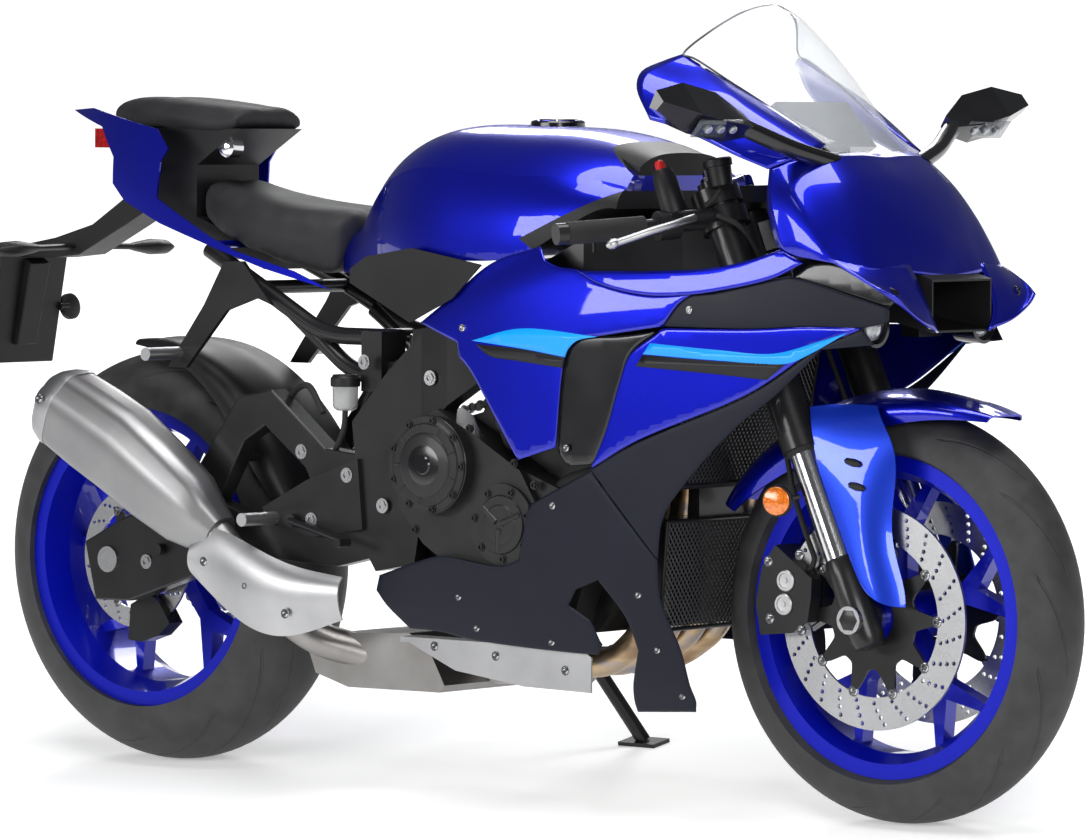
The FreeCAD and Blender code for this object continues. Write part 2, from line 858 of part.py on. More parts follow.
# The brake caliper's outline about the disc: angle from straight ahead and
# radius over the disc's.
CALIPER_SHARES = ((148, 1.16), (160, 1.20), (176, 1.20), (190, 1.16), (192, 0.80),
                  (186, 0.62), (165, 0.60), (150, 0.66))
CALIPER_HALF_SHARE = 0.28


def caliper(axle, radius, place, turn, half):
    """Build a caliper that straddles a disc, with its slot and its pistons."""
    corners = []
    for angle, reach in CALIPER_SHARES:
        way = math.radians(angle + turn)
        corners.append(V(axle.x + math.cos(way) * reach * radius, place - half,
                         axle.z + math.sin(way) * reach * radius))
    block_shape = Part.Face(polygon(corners)).extrude(V(0, 2 * half, 0))
    slot_half = size("disc_thickness") / 2 + size("pad_gap")
    centre = V(axle.x, place - slot_half, axle.z)
    slot = Part.makeCylinder(radius * SLOT_SHARE, 2 * slot_half, centre, ACROSS)
    return block_shape.cut(slot)


SLOT_SHARE = 1.035


def make_front_calipers():
    """Seat a caliper behind each fork leg."""
    half = size("front_disc_radius") * CALIPER_HALF_SHARE / 2 * 1.2
    place = size("front_disc_place")
    right = caliper(FRONT_AXLE, size("front_disc_radius"), -place, 0, half)
    legs = rod(on_fork(-size("fork_outer_radius"), y=-size("fork_spacing") / 2),
               on_fork(size("fork_head_rise"), y=-size("fork_spacing") / 2),
               size("fork_inner_radius") * (1 + FOOT_WALL_SHARE) + size("seat_gap"))
    feature("front_calipers", both_sides(right.cut(legs)))


HOSE_ROOT_SHARE = 0.75
HOSE_FOOT_SHARES = ((0.55, -0.34), (1.0, -0.36), (1.42, -0.33), (1.9, -0.22))


def make_front_hoses():
    """Route the brake hoses up behind the fork legs to the lower yoke."""
    radius = size("front_disc_radius")
    half = size("fork_spacing") / 2
    start_angle = math.radians(158)
    foot = FRONT_AXLE + V(math.cos(start_angle), 0, math.sin(start_angle)) * radius * 1.14
    foot.y = -size("front_disc_place") - radius * CALIPER_HALF_SHARE / 2 * HOSE_ROOT_SHARE
    points = [foot]
    for rise, ahead in HOSE_FOOT_SHARES:
        points.append(on_fork(rise * radius, ahead * radius, -half + radius * 0.12))
    points.append(on_fork(size("lower_clamp_rise"), -radius * 0.13, -half * 0.6))
    hose = tube(points, size("hose_radius"), 0.45)
    feature("front_hoses", seated(both_sides(hose), "front_calipers", "triple_clamps"))


def make_steering():
    """Build everything that turns with the handlebars."""
    fork_parts()
    make_triple_clamps()
    make_handlebars()
    make_levers()
    make_controls()
    make_front_fender()
    make_fork_guards()
    make_front_calipers()
    make_front_hoses()


# Frame, swingarm and engine

# The right spar's cross-sections from the steering head back: station, inner
# and outer buttock line, lower and upper waterline.
SPAR_SHARES = (
    (11.30, 0.24, 0.50, 7.55, 8.40),
    (10.60, 0.50, 0.80, 7.35, 8.50),
    (9.30, 1.15, 1.48, 6.95, 8.30),
    (8.00, 1.42, 1.72, 6.45, 7.60),
    (6.90, 1.38, 1.70, 5.80, 7.00),
    (6.20, 1.33, 1.66, 5.10, 6.90),
)
PIVOT_PLATE_SHARES = ((5.68, 6.23), (6.42, 6.90), (6.90, 6.85), (6.60, 5.60), (6.30, 5.00),
                      (6.35, 3.95), (6.25, 3.42), (5.50, 3.28), (5.28, 3.60), (5.16, 4.35),
                      (5.02, 5.50))
PIVOT_SHARE = (5.65, 0.0, 4.25)
PIVOT_INNER_SHARE = 1.36
PIVOT_OUTER_SHARE = 1.67
PIVOT_AXLE_SHARE = 0.12
STAND_LUG_SHARES = ((5.80, 2.72), (6.26, 2.72), (6.26, 4.00), (5.60, 4.00))
TANK_MOUNT_SHARES = ((9.10, 1.22, 8.10), (9.45, 1.42, 8.66))


def make_main_frame():
    """Build the twin-spar frame: the head tube, two spars and the pivot plates."""
    sections = []
    for x, inner, outer, low, high in SPAR_SHARES:
        corners = points_at(((x, -inner, low), (x, -outer, low), (x, -outer, high),
                             (x, -inner, high)))
        sections.append([[a, b] for a, b in zip(corners, corners[1:] + corners[:1])])
    spar = body_loft(sections, ruled=True)
    plate = prism(PIVOT_PLATE_SHARES, -PIVOT_OUTER_SHARE * BUTTOCK,
                  -PIVOT_INNER_SHARE * BUTTOCK)
    mount = block(*points_at(TANK_MOUNT_SHARES))
    right = spar.multiFuse([plate, mirrored(mount)])
    low = size("lower_clamp_rise") + size("clamp_thickness") + size("bearing_gap")
    high = size("fork_head_rise") - size("clamp_thickness") - size("bearing_gap")
    back = FORK_AHEAD * size("fork_offset")
    head = rod(on_fork(low) - back, on_fork(high) - back, size("head_tube_radius"))
    bore = rod(on_fork(low - size("clamp_thickness")) - back,
               on_fork(high + size("clamp_thickness")) - back,
               size("stem_radius") + size("running_gap"))
    pivot = at(PIVOT_SHARE)
    pin = across_rod(pivot, PIVOT_AXLE_SHARE * BUTTOCK, -PIVOT_OUTER_SHARE * BUTTOCK,
                     PIVOT_OUTER_SHARE * BUTTOCK)
    cross = block(at((5.35, -PIVOT_INNER_SHARE, 6.0)), at((5.75, PIVOT_INNER_SHARE, 6.4)))
    stand = at(STAND_PIVOT_SHARE)
    cant = math.radians(size("stand_cant_angle"))
    reach = math.cos(cant) + STAND_EYE_SHARE * math.sin(cant)
    lug_face = stand.y - size("stand_radius") * reach - size("running_gap")
    lug = prism(STAND_LUG_SHARES, PIVOT_INNER_SHARE * BUTTOCK, lug_face)
    stand_pin = rod(stand - stand_axis() * size("stand_radius") * 2,
                    stand + stand_axis() * size("stand_radius"), size("stand_pin_radius"))
    shapes = [right, mirrored(right), head, cross, pin, lug, stand_pin]
    frame = fuse(shapes).cut(bore)
    feature("main_frame", frame)


SUBFRAME_SHARES = ((5.45, -1.05, 6.75), (3.95, -1.05, 6.75), (2.60, -1.0, 7.45),
                   (1.40, -0.85, 8.0))
SUBFRAME_LOW_SHARES = ((5.30, -1.05, 6.05), (4.40, -1.0, 6.25), (3.2, -0.95, 7.1))
SUBFRAME_CROSS_STATIONS = ((4.0, 1.05, 6.72), (2.6, 1.0, 7.45), (1.5, 0.86, 7.95))
SUBFRAME_RADIUS_SHARE = 0.13


def make_subframe():
    """Build the tail's subframe from two rails, two stays and cross tubes."""
    radius = SUBFRAME_RADIUS_SHARE * WATERLINE
    rail = tube(points_at(SUBFRAME_SHARES), radius, 0.3)
    stay = tube(points_at(SUBFRAME_LOW_SHARES), radius, 0.3)
    crosses = []
    for x, half, z in SUBFRAME_CROSS_STATIONS:
        crosses.append(rod(at((x, -half, z)), at((x, half, z)), radius * 0.8))
    foot = block(at((5.05, -1.5, 5.95)), at((5.45, -0.95, 6.85)))
    right = rail.multiFuse([stay, foot])
    subframe = fuse([right, mirrored(right)] + crosses)
    feature("subframe", seated(subframe, "main_frame"))


# The swingarm's side outline, as shares of the way from the rear axle to the
# pivot and of the pivot's height.
SWINGARM_SHARES = ((-0.08, 0.06), (-0.07, -0.10), (0.05, -0.12), (0.50, -0.06), (0.80, -0.13),
                   (1.02, -0.12), (1.06, 0.0), (1.02, 0.12), (0.82, 0.18), (0.66, 0.36),
                   (0.54, 0.36), (0.30, 0.14), (0.06, 0.10))
SWINGARM_WINDOW_SHARES = ((0.56, 0.02), (0.78, 0.02), (0.74, 0.14), (0.62, 0.27), (0.54, 0.24),
                          (0.42, 0.10))
ARM_INNER_SHARE = 1.27
SPOOL_ALONG_SHARE = 0.2
BRACE_SHARES = ((0.66, -0.085), (0.86, -0.085), (0.86, 0.06), (0.66, 0.06))


def arm_outline(shares, y):
    """Place an outline along the line from the rear axle to the pivot."""
    pivot = at(PIVOT_SHARE)
    way = pivot - REAR_AXLE
    reach = way.Length
    way.normalize()
    up = V(-way.z, 0, way.x)
    points = []
    for along, over in shares:
        point = REAR_AXLE + way * reach * along + up * reach * over
        points.append(V(point.x, y, point.z))
    return polygon(points)


def make_swingarm():
    """Build the truss swingarm: two arms, a brace and the pivot sleeve."""
    inner = ARM_INNER_SHARE * BUTTOCK
    outer = inner + size("arm_thickness")
    pivot = at(PIVOT_SHARE)
    arm = Part.Face(arm_outline(SWINGARM_SHARES, -outer)).extrude(V(0, outer - inner, 0))
    window = Part.Face(arm_outline(SWINGARM_WINDOW_SHARES, -outer - size("cut_overrun")))
    arm = arm.cut(window.extrude(V(0, outer + size("cut_overrun"), 0)))
    arm = arm.cut(across_rod(REAR_AXLE, size("axle_radius"), -outer, -inner))
    arm = arm.makeFillet(size("panel_wall"), long_edges(arm))
    plate_gap = (PIVOT_INNER_SHARE * BUTTOCK - size("running_gap"))
    plate = prism(PIVOT_PLATE_SHARES, -PIVOT_OUTER_SHARE * BUTTOCK - size("cut_overrun"),
                  -plate_gap)
    arm = arm.cut(plate)
    brace = Part.Face(arm_outline(BRACE_SHARES, -inner)).extrude(V(0, 2 * inner, 0))
    sleeve = across_rod(pivot, PIVOT_AXLE_SHARE * BUTTOCK * 2.2, -plate_gap, plate_gap)
    bore = across_rod(pivot, PIVOT_AXLE_SHARE * BUTTOCK + size("running_gap"),
                      -outer, outer)
    spools = []
    for side in (-1, 1):
        face = spool_face(side)
        root = face - ACROSS * side * (size("spool_rise") + size("panel_wall"))
        spools.append(rod(root, face, size("spool_radius")))
    swingarm = fuse([arm, mirrored(arm), brace, sleeve] + spools).cut(bore)
    feature("swingarm", swingarm)


def spool_face(side):
    """Find the outer end of the pin that a work stand's hook takes hold of."""
    out = ARM_INNER_SHARE * BUTTOCK + size("arm_thickness") + size("spool_rise")
    pivot = at(PIVOT_SHARE)
    place = REAR_AXLE + (pivot - REAR_AXLE) * SPOOL_ALONG_SHARE
    return V(place.x, side * out, place.z)


def long_edges(shape):
    """Pick the edges that run round the faces of a flat plate."""
    chosen = []
    for edge in shape.Edges:
        first = edge.Vertexes[0].Point
        last = edge.Vertexes[-1].Point
        if abs(first.y - last.y) < size("running_gap") and len(edge.Vertexes) > 1:
            chosen.append(edge)
    return chosen


def make_rear_axle():
    """Build the rear axle with its spacers, nuts and chain adjusters."""
    half = size("rear_axle_width") / 2
    inner = ARM_INNER_SHARE * BUTTOCK
    outer = inner + size("arm_thickness")
    shapes = [across_rod(REAR_AXLE, size("axle_radius"), -half, half)]
    disc = size("rear_disc_place") - size("disc_thickness") / 2
    sprocket = size("chain_place") - size("sprocket_thickness") / 2
    shapes.append(across_rod(REAR_AXLE, size("spacer_radius"), -inner, -disc))
    shapes.append(across_rod(REAR_AXLE, size("spacer_radius"), sprocket, inner))
    shapes.append(across_rod(REAR_AXLE, size("spacer_radius"), -half, -outer))
    shapes.append(across_rod(REAR_AXLE, size("spacer_radius"), outer, half))
    feature("rear_axle", fuse(shapes))


# Engine and gearbox outline on the side view.
ENGINE_SHARES = ((5.95, 2.75), (9.40, 2.55), (9.95, 3.2), (10.10, 4.60), (10.35, 5.60),
                 (10.15, 6.60), (8.60, 7.20), (7.60, 6.40), (7.20, 5.70), (6.00, 5.40))
GEARBOX_SHARES = ((5.90, 2.60), (7.12, 2.60), (7.12, 5.80), (5.90, 5.80))
ENGINE_HALF_SHARE = 1.22
CRANKCASE_SHARES = ((7.15, 2.75), (9.30, 2.65), (9.60, 3.60), (9.20, 4.60), (7.20, 5.30))
CRANKCASE_HALF_SHARE = 1.70


def engine_mass():
    """Shape the crankcase, cylinders and gearbox as one mass."""
    half = ENGINE_HALF_SHARE * BUTTOCK
    mass = prism(ENGINE_SHARES, -half, half)
    crank_half = CRANKCASE_HALF_SHARE * BUTTOCK
    crank = prism(CRANKCASE_SHARES, -crank_half, crank_half)
    mass = mass.fuse(crank)
    chain_inner = size("chain_place") - size("chain_width") / 2 - size("chain_gap") * 4
    clear = prism(GEARBOX_SHARES, chain_inner, half + size("cut_overrun"))
    return mass.cut(clear)


def make_engine_block():
    """Build the engine's mass with a boss for each spar."""
    feature("engine_block", seated(engine_mass().removeSplitter(), "main_frame"))


CLUTCH_SHARE = (6.80, 4.93)
CLUTCH_RADIUS_SHARE = 0.72
CLUTCH_CAP_SHARE = 0.45
CLUTCH_OUT_SHARE = 2.04
CLUTCH_CAP_OUT_SHARE = 2.10
PICKUP_SHARE = (8.10, 4.10)
PICKUP_RADIUS_SHARE = 0.60
PICKUP_OUT_SHARE = 1.88
GENERATOR_RADIUS_SHARE = 0.74
GENERATOR_OUT_SHARE = 1.84
COVER_OUT_SHARE = 1.82
COVER_SHARES = ((6.05, 4.30), (6.55, 3.75), (7.30, 3.30), (8.60, 3.30), (8.85, 4.20),
                (8.40, 4.90), (7.60, 5.35), (6.80, 5.75), (6.15, 5.40))


def make_engine_covers():
    """Build the clutch, pickup and generator covers."""
    face = ENGINE_HALF_SHARE * BUTTOCK
    base = prism(COVER_SHARES, -COVER_OUT_SHARE * BUTTOCK, -face)
    clutch_centre = side_point(CLUTCH_SHARE, 0)
    clutch = across_rod(clutch_centre, CLUTCH_RADIUS_SHARE * WATERLINE,
                        -CLUTCH_OUT_SHARE * BUTTOCK, -face)
    cap = across_rod(clutch_centre, CLUTCH_CAP_SHARE * WATERLINE,
                     -CLUTCH_CAP_OUT_SHARE * BUTTOCK, -CLUTCH_OUT_SHARE * BUTTOCK)
    pickup_centre = side_point(PICKUP_SHARE, 0)
    pickup = across_rod(pickup_centre, PICKUP_RADIUS_SHARE * WATERLINE,
                        -PICKUP_OUT_SHARE * BUTTOCK, -face)
    right = fuse([base, clutch, cap, pickup])
    feature("engine_covers_right", seated(right, "engine_block", "main_frame"))
    generator = across_rod(pickup_centre, GENERATOR_RADIUS_SHARE * WATERLINE, face,
                           GENERATOR_OUT_SHARE * BUTTOCK)
    feature("engine_covers_left", seated(generator, "engine_block"))


RADIATOR_SHARES = ((10.55, 4.75), (10.95, 4.70), (11.30, 6.70), (10.90, 6.75))
RADIATOR_HALF_SHARE = 1.55
COOLER_SHARES = ((10.30, 2.75), (10.62, 2.70), (10.75, 4.25), (10.42, 4.28))
COOLER_HALF_SHARE = 1.15


def make_radiators():
    """Build the curved water radiator and the oil cooler below it."""
    half = RADIATOR_HALF_SHARE * BUTTOCK
    water = prism(RADIATOR_SHARES, -half, half)
    oil_half = COOLER_HALF_SHARE * BUTTOCK
    oil = prism(COOLER_SHARES, -oil_half, oil_half)
    link = block(at((10.50, -0.5, 4.2)), at((10.70, 0.5, 4.8)))
    feature("radiators", fuse([water, oil, link]))


HEADER_SHARES = ((10.15, 6.05), (10.62, 5.80), (10.35, 4.6), (10.05, 2.6), (9.3, 2.05),
                 (8.2, 2.0))
HEADER_PLACES = (-1.05, -0.35, 0.35, 1.05)
COLLECTOR_PLACES = (-0.6, -0.2, 0.2, 0.6)


def make_exhaust():
    """Build the headers, the catalyst box, the link pipe, muffler and shields."""
    pipes = []
    for place, end_place in zip(HEADER_PLACES, COLLECTOR_PLACES):
        points = []
        last = len(HEADER_SHARES) - 1
        for step, (x, z) in enumerate(HEADER_SHARES):
            blend = max(0, step - 2) / (last - 2)
            y = place + (end_place - place) * blend
            points.append(at((x, y, z)))
        pipes.append(tube(points, size("pipe_radius"), 0.4))
    feature("exhaust_headers", seated(fuse(pipes), "engine_block", "radiators"))
    box = prism(CHAMBER_SHARES, -CHAMBER_HALF_SHARE * BUTTOCK, CHAMBER_HALF_SHARE * BUTTOCK)
    neck = rod(at((6.3, 0, 1.9)), at((8.2, 0, 2.0)), size("pipe_radius") * 1.8)
    chamber = seated(box.fuse(neck), "exhaust_headers", "engine_block")
    link_points = points_at(LINK_SHARES)
    link = tube(link_points, size("pipe_radius") * 1.3, 0.4)
    feature("exhaust_chamber", chamber.fuse(link).removeSplitter())
    sections = []
    for share in MUFFLER_SHARES:
        sections.append(muffler_section(*share))
    muffler = body_loft(sections, ruled=True).cut(link)
    feature("muffler", muffler)


CHAMBER_SHARES = ((3.78, 2.05), (3.95, 1.65), (4.60, 1.47), (6.40, 1.49), (6.50, 1.60),
                  (6.15, 2.20), (5.80, 2.35), (4.10, 2.25))
CHAMBER_HALF_SHARE = 1.25
LINK_SHARES = ((4.9, -1.0, 1.95), (3.9, -1.35, 2.2), (3.25, -2.00, 3.1), (2.6, -2.08, 3.8))
# The muffler's sections: centre, half width and half height, all across its axis.
MUFFLER_SHARES = (
    (2.72, -2.08, 3.72, 0.30, 0.32),
    (2.20, -2.20, 4.10, 0.46, 0.62),
    (0.90, -2.26, 4.95, 0.50, 0.74),
    (-0.30, -2.26, 5.55, 0.50, 0.68),
    (-0.62, -2.26, 5.68, 0.38, 0.50),
)

MUFFLER_CORNER_SHARES = ((-1, 0.15), (-0.62, 0.9), (0.55, 1.0), (1, 0.3), (0.8, -0.8),
                         (-0.5, -1.0))
CORNER_ROUND_SHARE = 0.3


def rounded(corners, share):
    """Turn an outline's corners into runs that alternate between arcs and sides."""
    runs = []
    ends = []
    for before, corner, after in zip(corners[-1:] + corners, corners, corners[1:] + corners[:1]):
        first = corner + (before - corner) * share
        last = corner + (after - corner) * share
        runs.append([first, (first + last) / 4 + corner / 2, last])
        ends.append((first, last))
    whole = []
    for run, (_, last), (first, _) in zip(runs, ends, ends[1:] + ends[:1]):
        whole.append(run)
        whole.append([last, first])
    return whole


def muffler_section(x, y, z, half_width, half_height):
    """Outline one six-sided section of the muffler square to its axis."""
    centre = at((x, y, z))
    tilt = at((1, 0, -0.62)).normalize()
    up = V(-tilt.z, 0, tilt.x)
    wide = half_width * BUTTOCK
    high = half_height * WATERLINE
    corners = []
    for out, over in MUFFLER_CORNER_SHARES:
        corners.append(centre + V(0, out * wide, 0) + up * over * high)
    return rounded(corners, CORNER_ROUND_SHARE)


def make_heat_shields():
    """Lay the heat shields over the link pipe, the muffler's root and the chamber."""
    wall = size("panel_wall")
    rows = [points_at(row) for row in LINK_SHIELD_SHARES]
    link = seated(skin(rows, -wall), "muffler", "exhaust_chamber")
    low_out = LOW_SHIELD_SHARE * BUTTOCK
    low = prism(LOW_SHIELD_SHARES, -low_out, -low_out + wall)
    rear, front = LOW_SHIELD_SHARES[:2]
    lip = block(at((rear[0], -LOW_SHIELD_SHARE, rear[1])) - UPWARD * size("plate_thickness"),
                at((front[0], -LOW_LIP_SHARE, front[1])))
    low_shield = seated(low.fuse(lip).removeSplitter(), "exhaust_chamber")
    shields = link.Solids + low_shield.Solids
    feature("heat_shields", Part.makeCompound(shields))


LOW_SHIELD_SHARE = 1.62
LOW_LIP_SHARE = 1.22
# The link pipe's shield, from its rear end forward, each row from the upper edge down.
LINK_SHIELD_SHARES = (
    ((2.40, -2.29, 3.66), (2.36, -2.37, 3.48), (2.34, -2.37, 3.28), (2.36, -2.29, 3.12)),
    ((2.90, -2.28, 3.82), (2.95, -2.37, 3.50), (2.98, -2.37, 3.05), (3.05, -2.28, 2.62)),
    ((3.80, -2.24, 3.50), (3.80, -2.36, 3.25), (3.85, -2.36, 2.75), (3.95, -2.24, 2.27)),
    ((4.60, -2.16, 3.28), (4.62, -2.28, 3.10), (4.65, -2.28, 2.75), (4.70, -2.16, 2.38)),
    ((5.20, -2.08, 3.20), (5.20, -2.18, 3.05), (5.20, -2.18, 2.80), (5.20, -2.08, 2.55)),
)
LOW_SHIELD_SHARES = ((5.95, 2.33), (9.40, 2.33), (9.60, 2.22), (9.60, 1.70), (8.34, 1.72),
                     (7.02, 1.88), (6.28, 2.18))

# The hugger's arch over the rear tyre: angle ahead of straight up, radius over
# the tyre's, half width over the tyre's width and the drop of its sides.
HUGGER_ANGLES = (-6, 8, 24, 40, 56, 70)
HUGGER_RISE_SHARES = (1.06, 1.075, 1.085, 1.09, 1.09, 1.085)
HUGGER_HALF_SHARES = (0.34, 0.42, 0.47, 0.49, 0.50, 0.50)
HUGGER_DROP_SHARES = (0.02, 0.08, 0.14, 0.20, 0.22, 0.16)
ARCH_SIDE_SHARE = 0.93
ARCH_TOP_SHARE = 0.55
ARCH_BULGE_SHARES = (0.5, 0.18, 0.12)


def tyre_arch(axle, radius, width, angles, rises, halves, drops):
    """Lay rows of points over a tyre for an arched guard."""
    rows = []
    middle_share, bulge_share, crown_share = ARCH_BULGE_SHARES
    for angle, rise, half, drop in zip(angles, rises, halves, drops):
        turn = math.radians(angle)
        out = V(math.sin(turn), 0, math.cos(turn))
        top = radius * rise
        side = half * width
        fall = drop * radius
        middle = top - fall * middle_share + fall * bulge_share
        crown = top - fall * crown_share
        row = []
        for y, reach in ((-side, top - fall), (-side * ARCH_SIDE_SHARE, middle),
                         (-side * ARCH_TOP_SHARE, crown), (0, top),
                         (side * ARCH_TOP_SHARE, crown), (side * ARCH_SIDE_SHARE, middle),
                         (side, top - fall)):
            row.append(axle + out * reach + V(0, y, 0))
        rows.append(row)
    return rows


def make_rear_hugger():
    """Loft the hugger over the front of the rear tyre and foot it on the swingarm."""
    rows = tyre_arch(REAR_AXLE, size("rear_tyre_radius"), size("rear_tyre_width"),
                     HUGGER_ANGLES, HUGGER_RISE_SHARES, HUGGER_HALF_SHARES,
                     HUGGER_DROP_SHARES)
    near, far = (out * BUTTOCK for out in HUGGER_FOOT_OUT_SHARES)
    foot = across_rod(at(HUGGER_FOOT_SHARE), BOSS_RADIUS_SHARE * BUTTOCK, -far, -near)
    hugger = fuse([skin(rows, size("panel_wall")), foot, mirrored(foot)])
    feature("rear_hugger", seated(hugger, "swingarm"))


HUGGER_FOOT_SHARE = (2.525, 0, 4.85)
HUGGER_FOOT_OUT_SHARES = (0.96, 1.30)
SHOCK_LOW_SHARE = (4.62, 0.0, 4.42)
SHOCK_HIGH_SHARE = (4.95, 0.0, 6.75)
SHOCK_LUG_SHARES = ((4.91, 0.0, 6.48), (5.45, 0.0, 6.27))
SHOCK_LUG_RADIUS_SHARE = 0.10
SHOCK_COILS = 6
SHOCK_RADIUS_SHARE = 0.30


def make_rear_shock():
    """Turn the damper with its spring's coils."""
    low = at(SHOCK_LOW_SHARE)
    high = at(SHOCK_HIGH_SHARE)
    way = high - low
    length = way.Length
    radius = SHOCK_RADIUS_SHARE * BUTTOCK
    pitch = length * 0.55 / SHOCK_COILS
    shapes = [Part.makeCylinder(radius * 0.55, length, low, way)]
    for step in range(SHOCK_COILS):
        share = (length * 0.2 + pitch * (step + 0.5)) / length
        centre = low + way * share
        shapes.append(Part.makeTorus(radius * 0.8, radius * 0.3, centre, way))
    for share in (0.17, 0.76):
        centre = low + way * share
        shapes.append(Part.makeCylinder(radius * 1.15, pitch * 0.4, centre, way))
    shapes.append(rod(*points_at(SHOCK_LUG_SHARES), SHOCK_LUG_RADIUS_SHARE * BUTTOCK))
    feature("rear_shock", seated(fuse(shapes), "swingarm", "main_frame"))


def make_rear_brake():
    """Seat the rear caliper on the disc under the arm."""
    half = size("rear_disc_radius") * CALIPER_HALF_SHARE / 2
    right = caliper(REAR_AXLE, size("rear_disc_radius"), -size("rear_disc_place"), 120, half)
    feature("rear_brake", right)


FRONT_SPROCKET_SHARE = (6.55, 0.0, 4.30)


def chain_loop(offset, low, high):
    """Outline a band round both sprockets at a distance from the pitch line."""
    rear = pitch_radius(int(size("sprocket_teeth"))) + offset
    front = pitch_radius(int(size("front_sprocket_teeth"))) + offset
    centre = at(FRONT_SPROCKET_SHARE)
    way = centre - REAR_AXLE
    lean = math.asin((rear - front) / way.Length)
    base = math.atan2(way.z, way.x)
    upper = base + math.pi / 2 - lean
    lower = base - math.pi / 2 + lean
    points = []
    for middle, radius, angle in ((REAR_AXLE, rear, upper), (centre, front, upper),
                                  (centre, front, lower), (REAR_AXLE, rear, lower)):
        points.append(V(middle.x + radius * math.cos(angle), low,
                        middle.z + radius * math.sin(angle)))
    front_tip = V(centre.x + front * math.cos(base), low, centre.z + front * math.sin(base))
    rear_tip = V(REAR_AXLE.x - rear * math.cos(base), low, REAR_AXLE.z - rear * math.sin(base))
    edges = [
        Part.makeLine(points[0], points[1]),
        Part.Arc(points[1], front_tip, points[2]).toShape(),
        Part.makeLine(points[2], points[3]),
        Part.Arc(points[3], rear_tip, points[0]).toShape(),
    ]
    return Part.Face(Part.Wire(edges)).extrude(V(0, high - low, 0))


SHAFT_SHARE = 0.30


def make_chain():
    """Lay the chain round both sprockets."""
    low = size("chain_place") - size("chain_width") / 2
    high = size("chain_place") + size("chain_width") / 2
    half = size("chain_height") / 2
    loop = chain_loop(half, low, high).cut(chain_loop(-half, low, high))
    centre = at(FRONT_SPROCKET_SHARE)
    sprocket = pitch_radius(int(size("front_sprocket_teeth"))) - half
    wheel = across_rod(centre, sprocket, low, high)
    shaft = across_rod(centre, size("axle_radius"), low - SHAFT_SHARE * BUTTOCK, low)
    feature("chain", loop)
    feature("front_sprocket", seated(wheel.fuse(shaft), "engine_block"))


# Bodywork

# The tank's sections: station, top waterline, shoulder and lower edge.
TANK_SHARES = (
    (4.05, 8.40, 0.70, 8.10, 0.75, 7.70),
    (4.70, 8.90, 1.00, 8.50, 1.08, 7.80),
    (5.30, 9.50, 1.30, 9.00, 1.40, 7.90),
    (6.20, 9.90, 1.58, 9.30, 1.75, 7.95),
    (7.40, 9.95, 1.72, 9.25, 1.88, 7.95),
    (8.60, 9.88, 1.72, 9.20, 1.90, 8.10),
    (9.60, 9.64, 1.50, 9.15, 1.75, 8.66),
    (10.00, 9.55, 1.35, 9.05, 1.60, 8.74),
)
TANK_ROUND_SHARES = (0.6, 0.82)


def tank_section(x, top, shoulder, shoulder_high, low, low_high):
    """Outline one section of the tank: bottom, sides and a rounded top."""
    out_share, rise_share = TANK_ROUND_SHARES
    rise = shoulder_high + (top - shoulder_high) * rise_share
    waist = (low_high + shoulder_high) / 2
    waist_half = (low + shoulder) / 2 * (1 + (1 - rise_share) / 4)
    left_low = at((x, low, low_high))
    left = at((x, shoulder, shoulder_high))
    right = at((x, -shoulder, shoulder_high))
    right_low = at((x, -low, low_high))
    return [
        [right_low, left_low],
        [left_low, at((x, waist_half, waist)), left],
        [left, at((x, shoulder * out_share, rise)), at((x, 0, top)),
         at((x, -shoulder * out_share, rise)), right],
        [right, at((x, -waist_half, waist)), right_low],
    ]


# The louvred shroud takes the tank's front end, ahead of this outline.
SHROUD_SHARES = ((9.25, 10.4), (9.37, 9.63), (10.20, 9.09), (8.44, 8.29), (8.90, 8.0),
                 (9.21, 7.6), (10.6, 7.6), (10.6, 10.4))
LOUVRE_SHARES = ((9.62, 9.50), (9.72, 9.54), (10.02, 9.30), (9.94, 9.25))
LOUVRE_STEP_SHARE = (0.10, -0.065)
LOUVRE_COUNT = 3
LOUVRE_FLOOR_SHARE = 1.05
CAP_SHARE = (7.6, 0, 9.80)
CAP_RADIUS_SHARE = 0.36
CAP_HEIGHT_SHARE = 0.22


def make_fuel_tank():
    """Loft the tank, split off its front shroud and add the filler cap."""
    whole = seated(body_loft([tank_section(*share) for share in TANK_SHARES]), "main_frame")
    reach = SIDE_REACH_SHARE * BUTTOCK
    front = prism(SHROUD_SHARES, -reach, reach)
    cap = Part.makeCylinder(CAP_RADIUS_SHARE * BUTTOCK, CAP_HEIGHT_SHARE * WATERLINE,
                            at(CAP_SHARE), UPWARD)
    feature("fuel_tank", whole.cut(front).fuse(cap))
    louvres = []
    for step in range(LOUVRE_COUNT):
        ahead, over = (step * share for share in LOUVRE_STEP_SHARE)
        outline = [(x + ahead, z + over) for x, z in LOUVRE_SHARES]
        louvre = prism(outline, -reach, -LOUVRE_FLOOR_SHARE * BUTTOCK)
        louvres.extend([louvre, mirrored(louvre)])
    feature("tank_shroud", whole.common(front).cut(louvres))


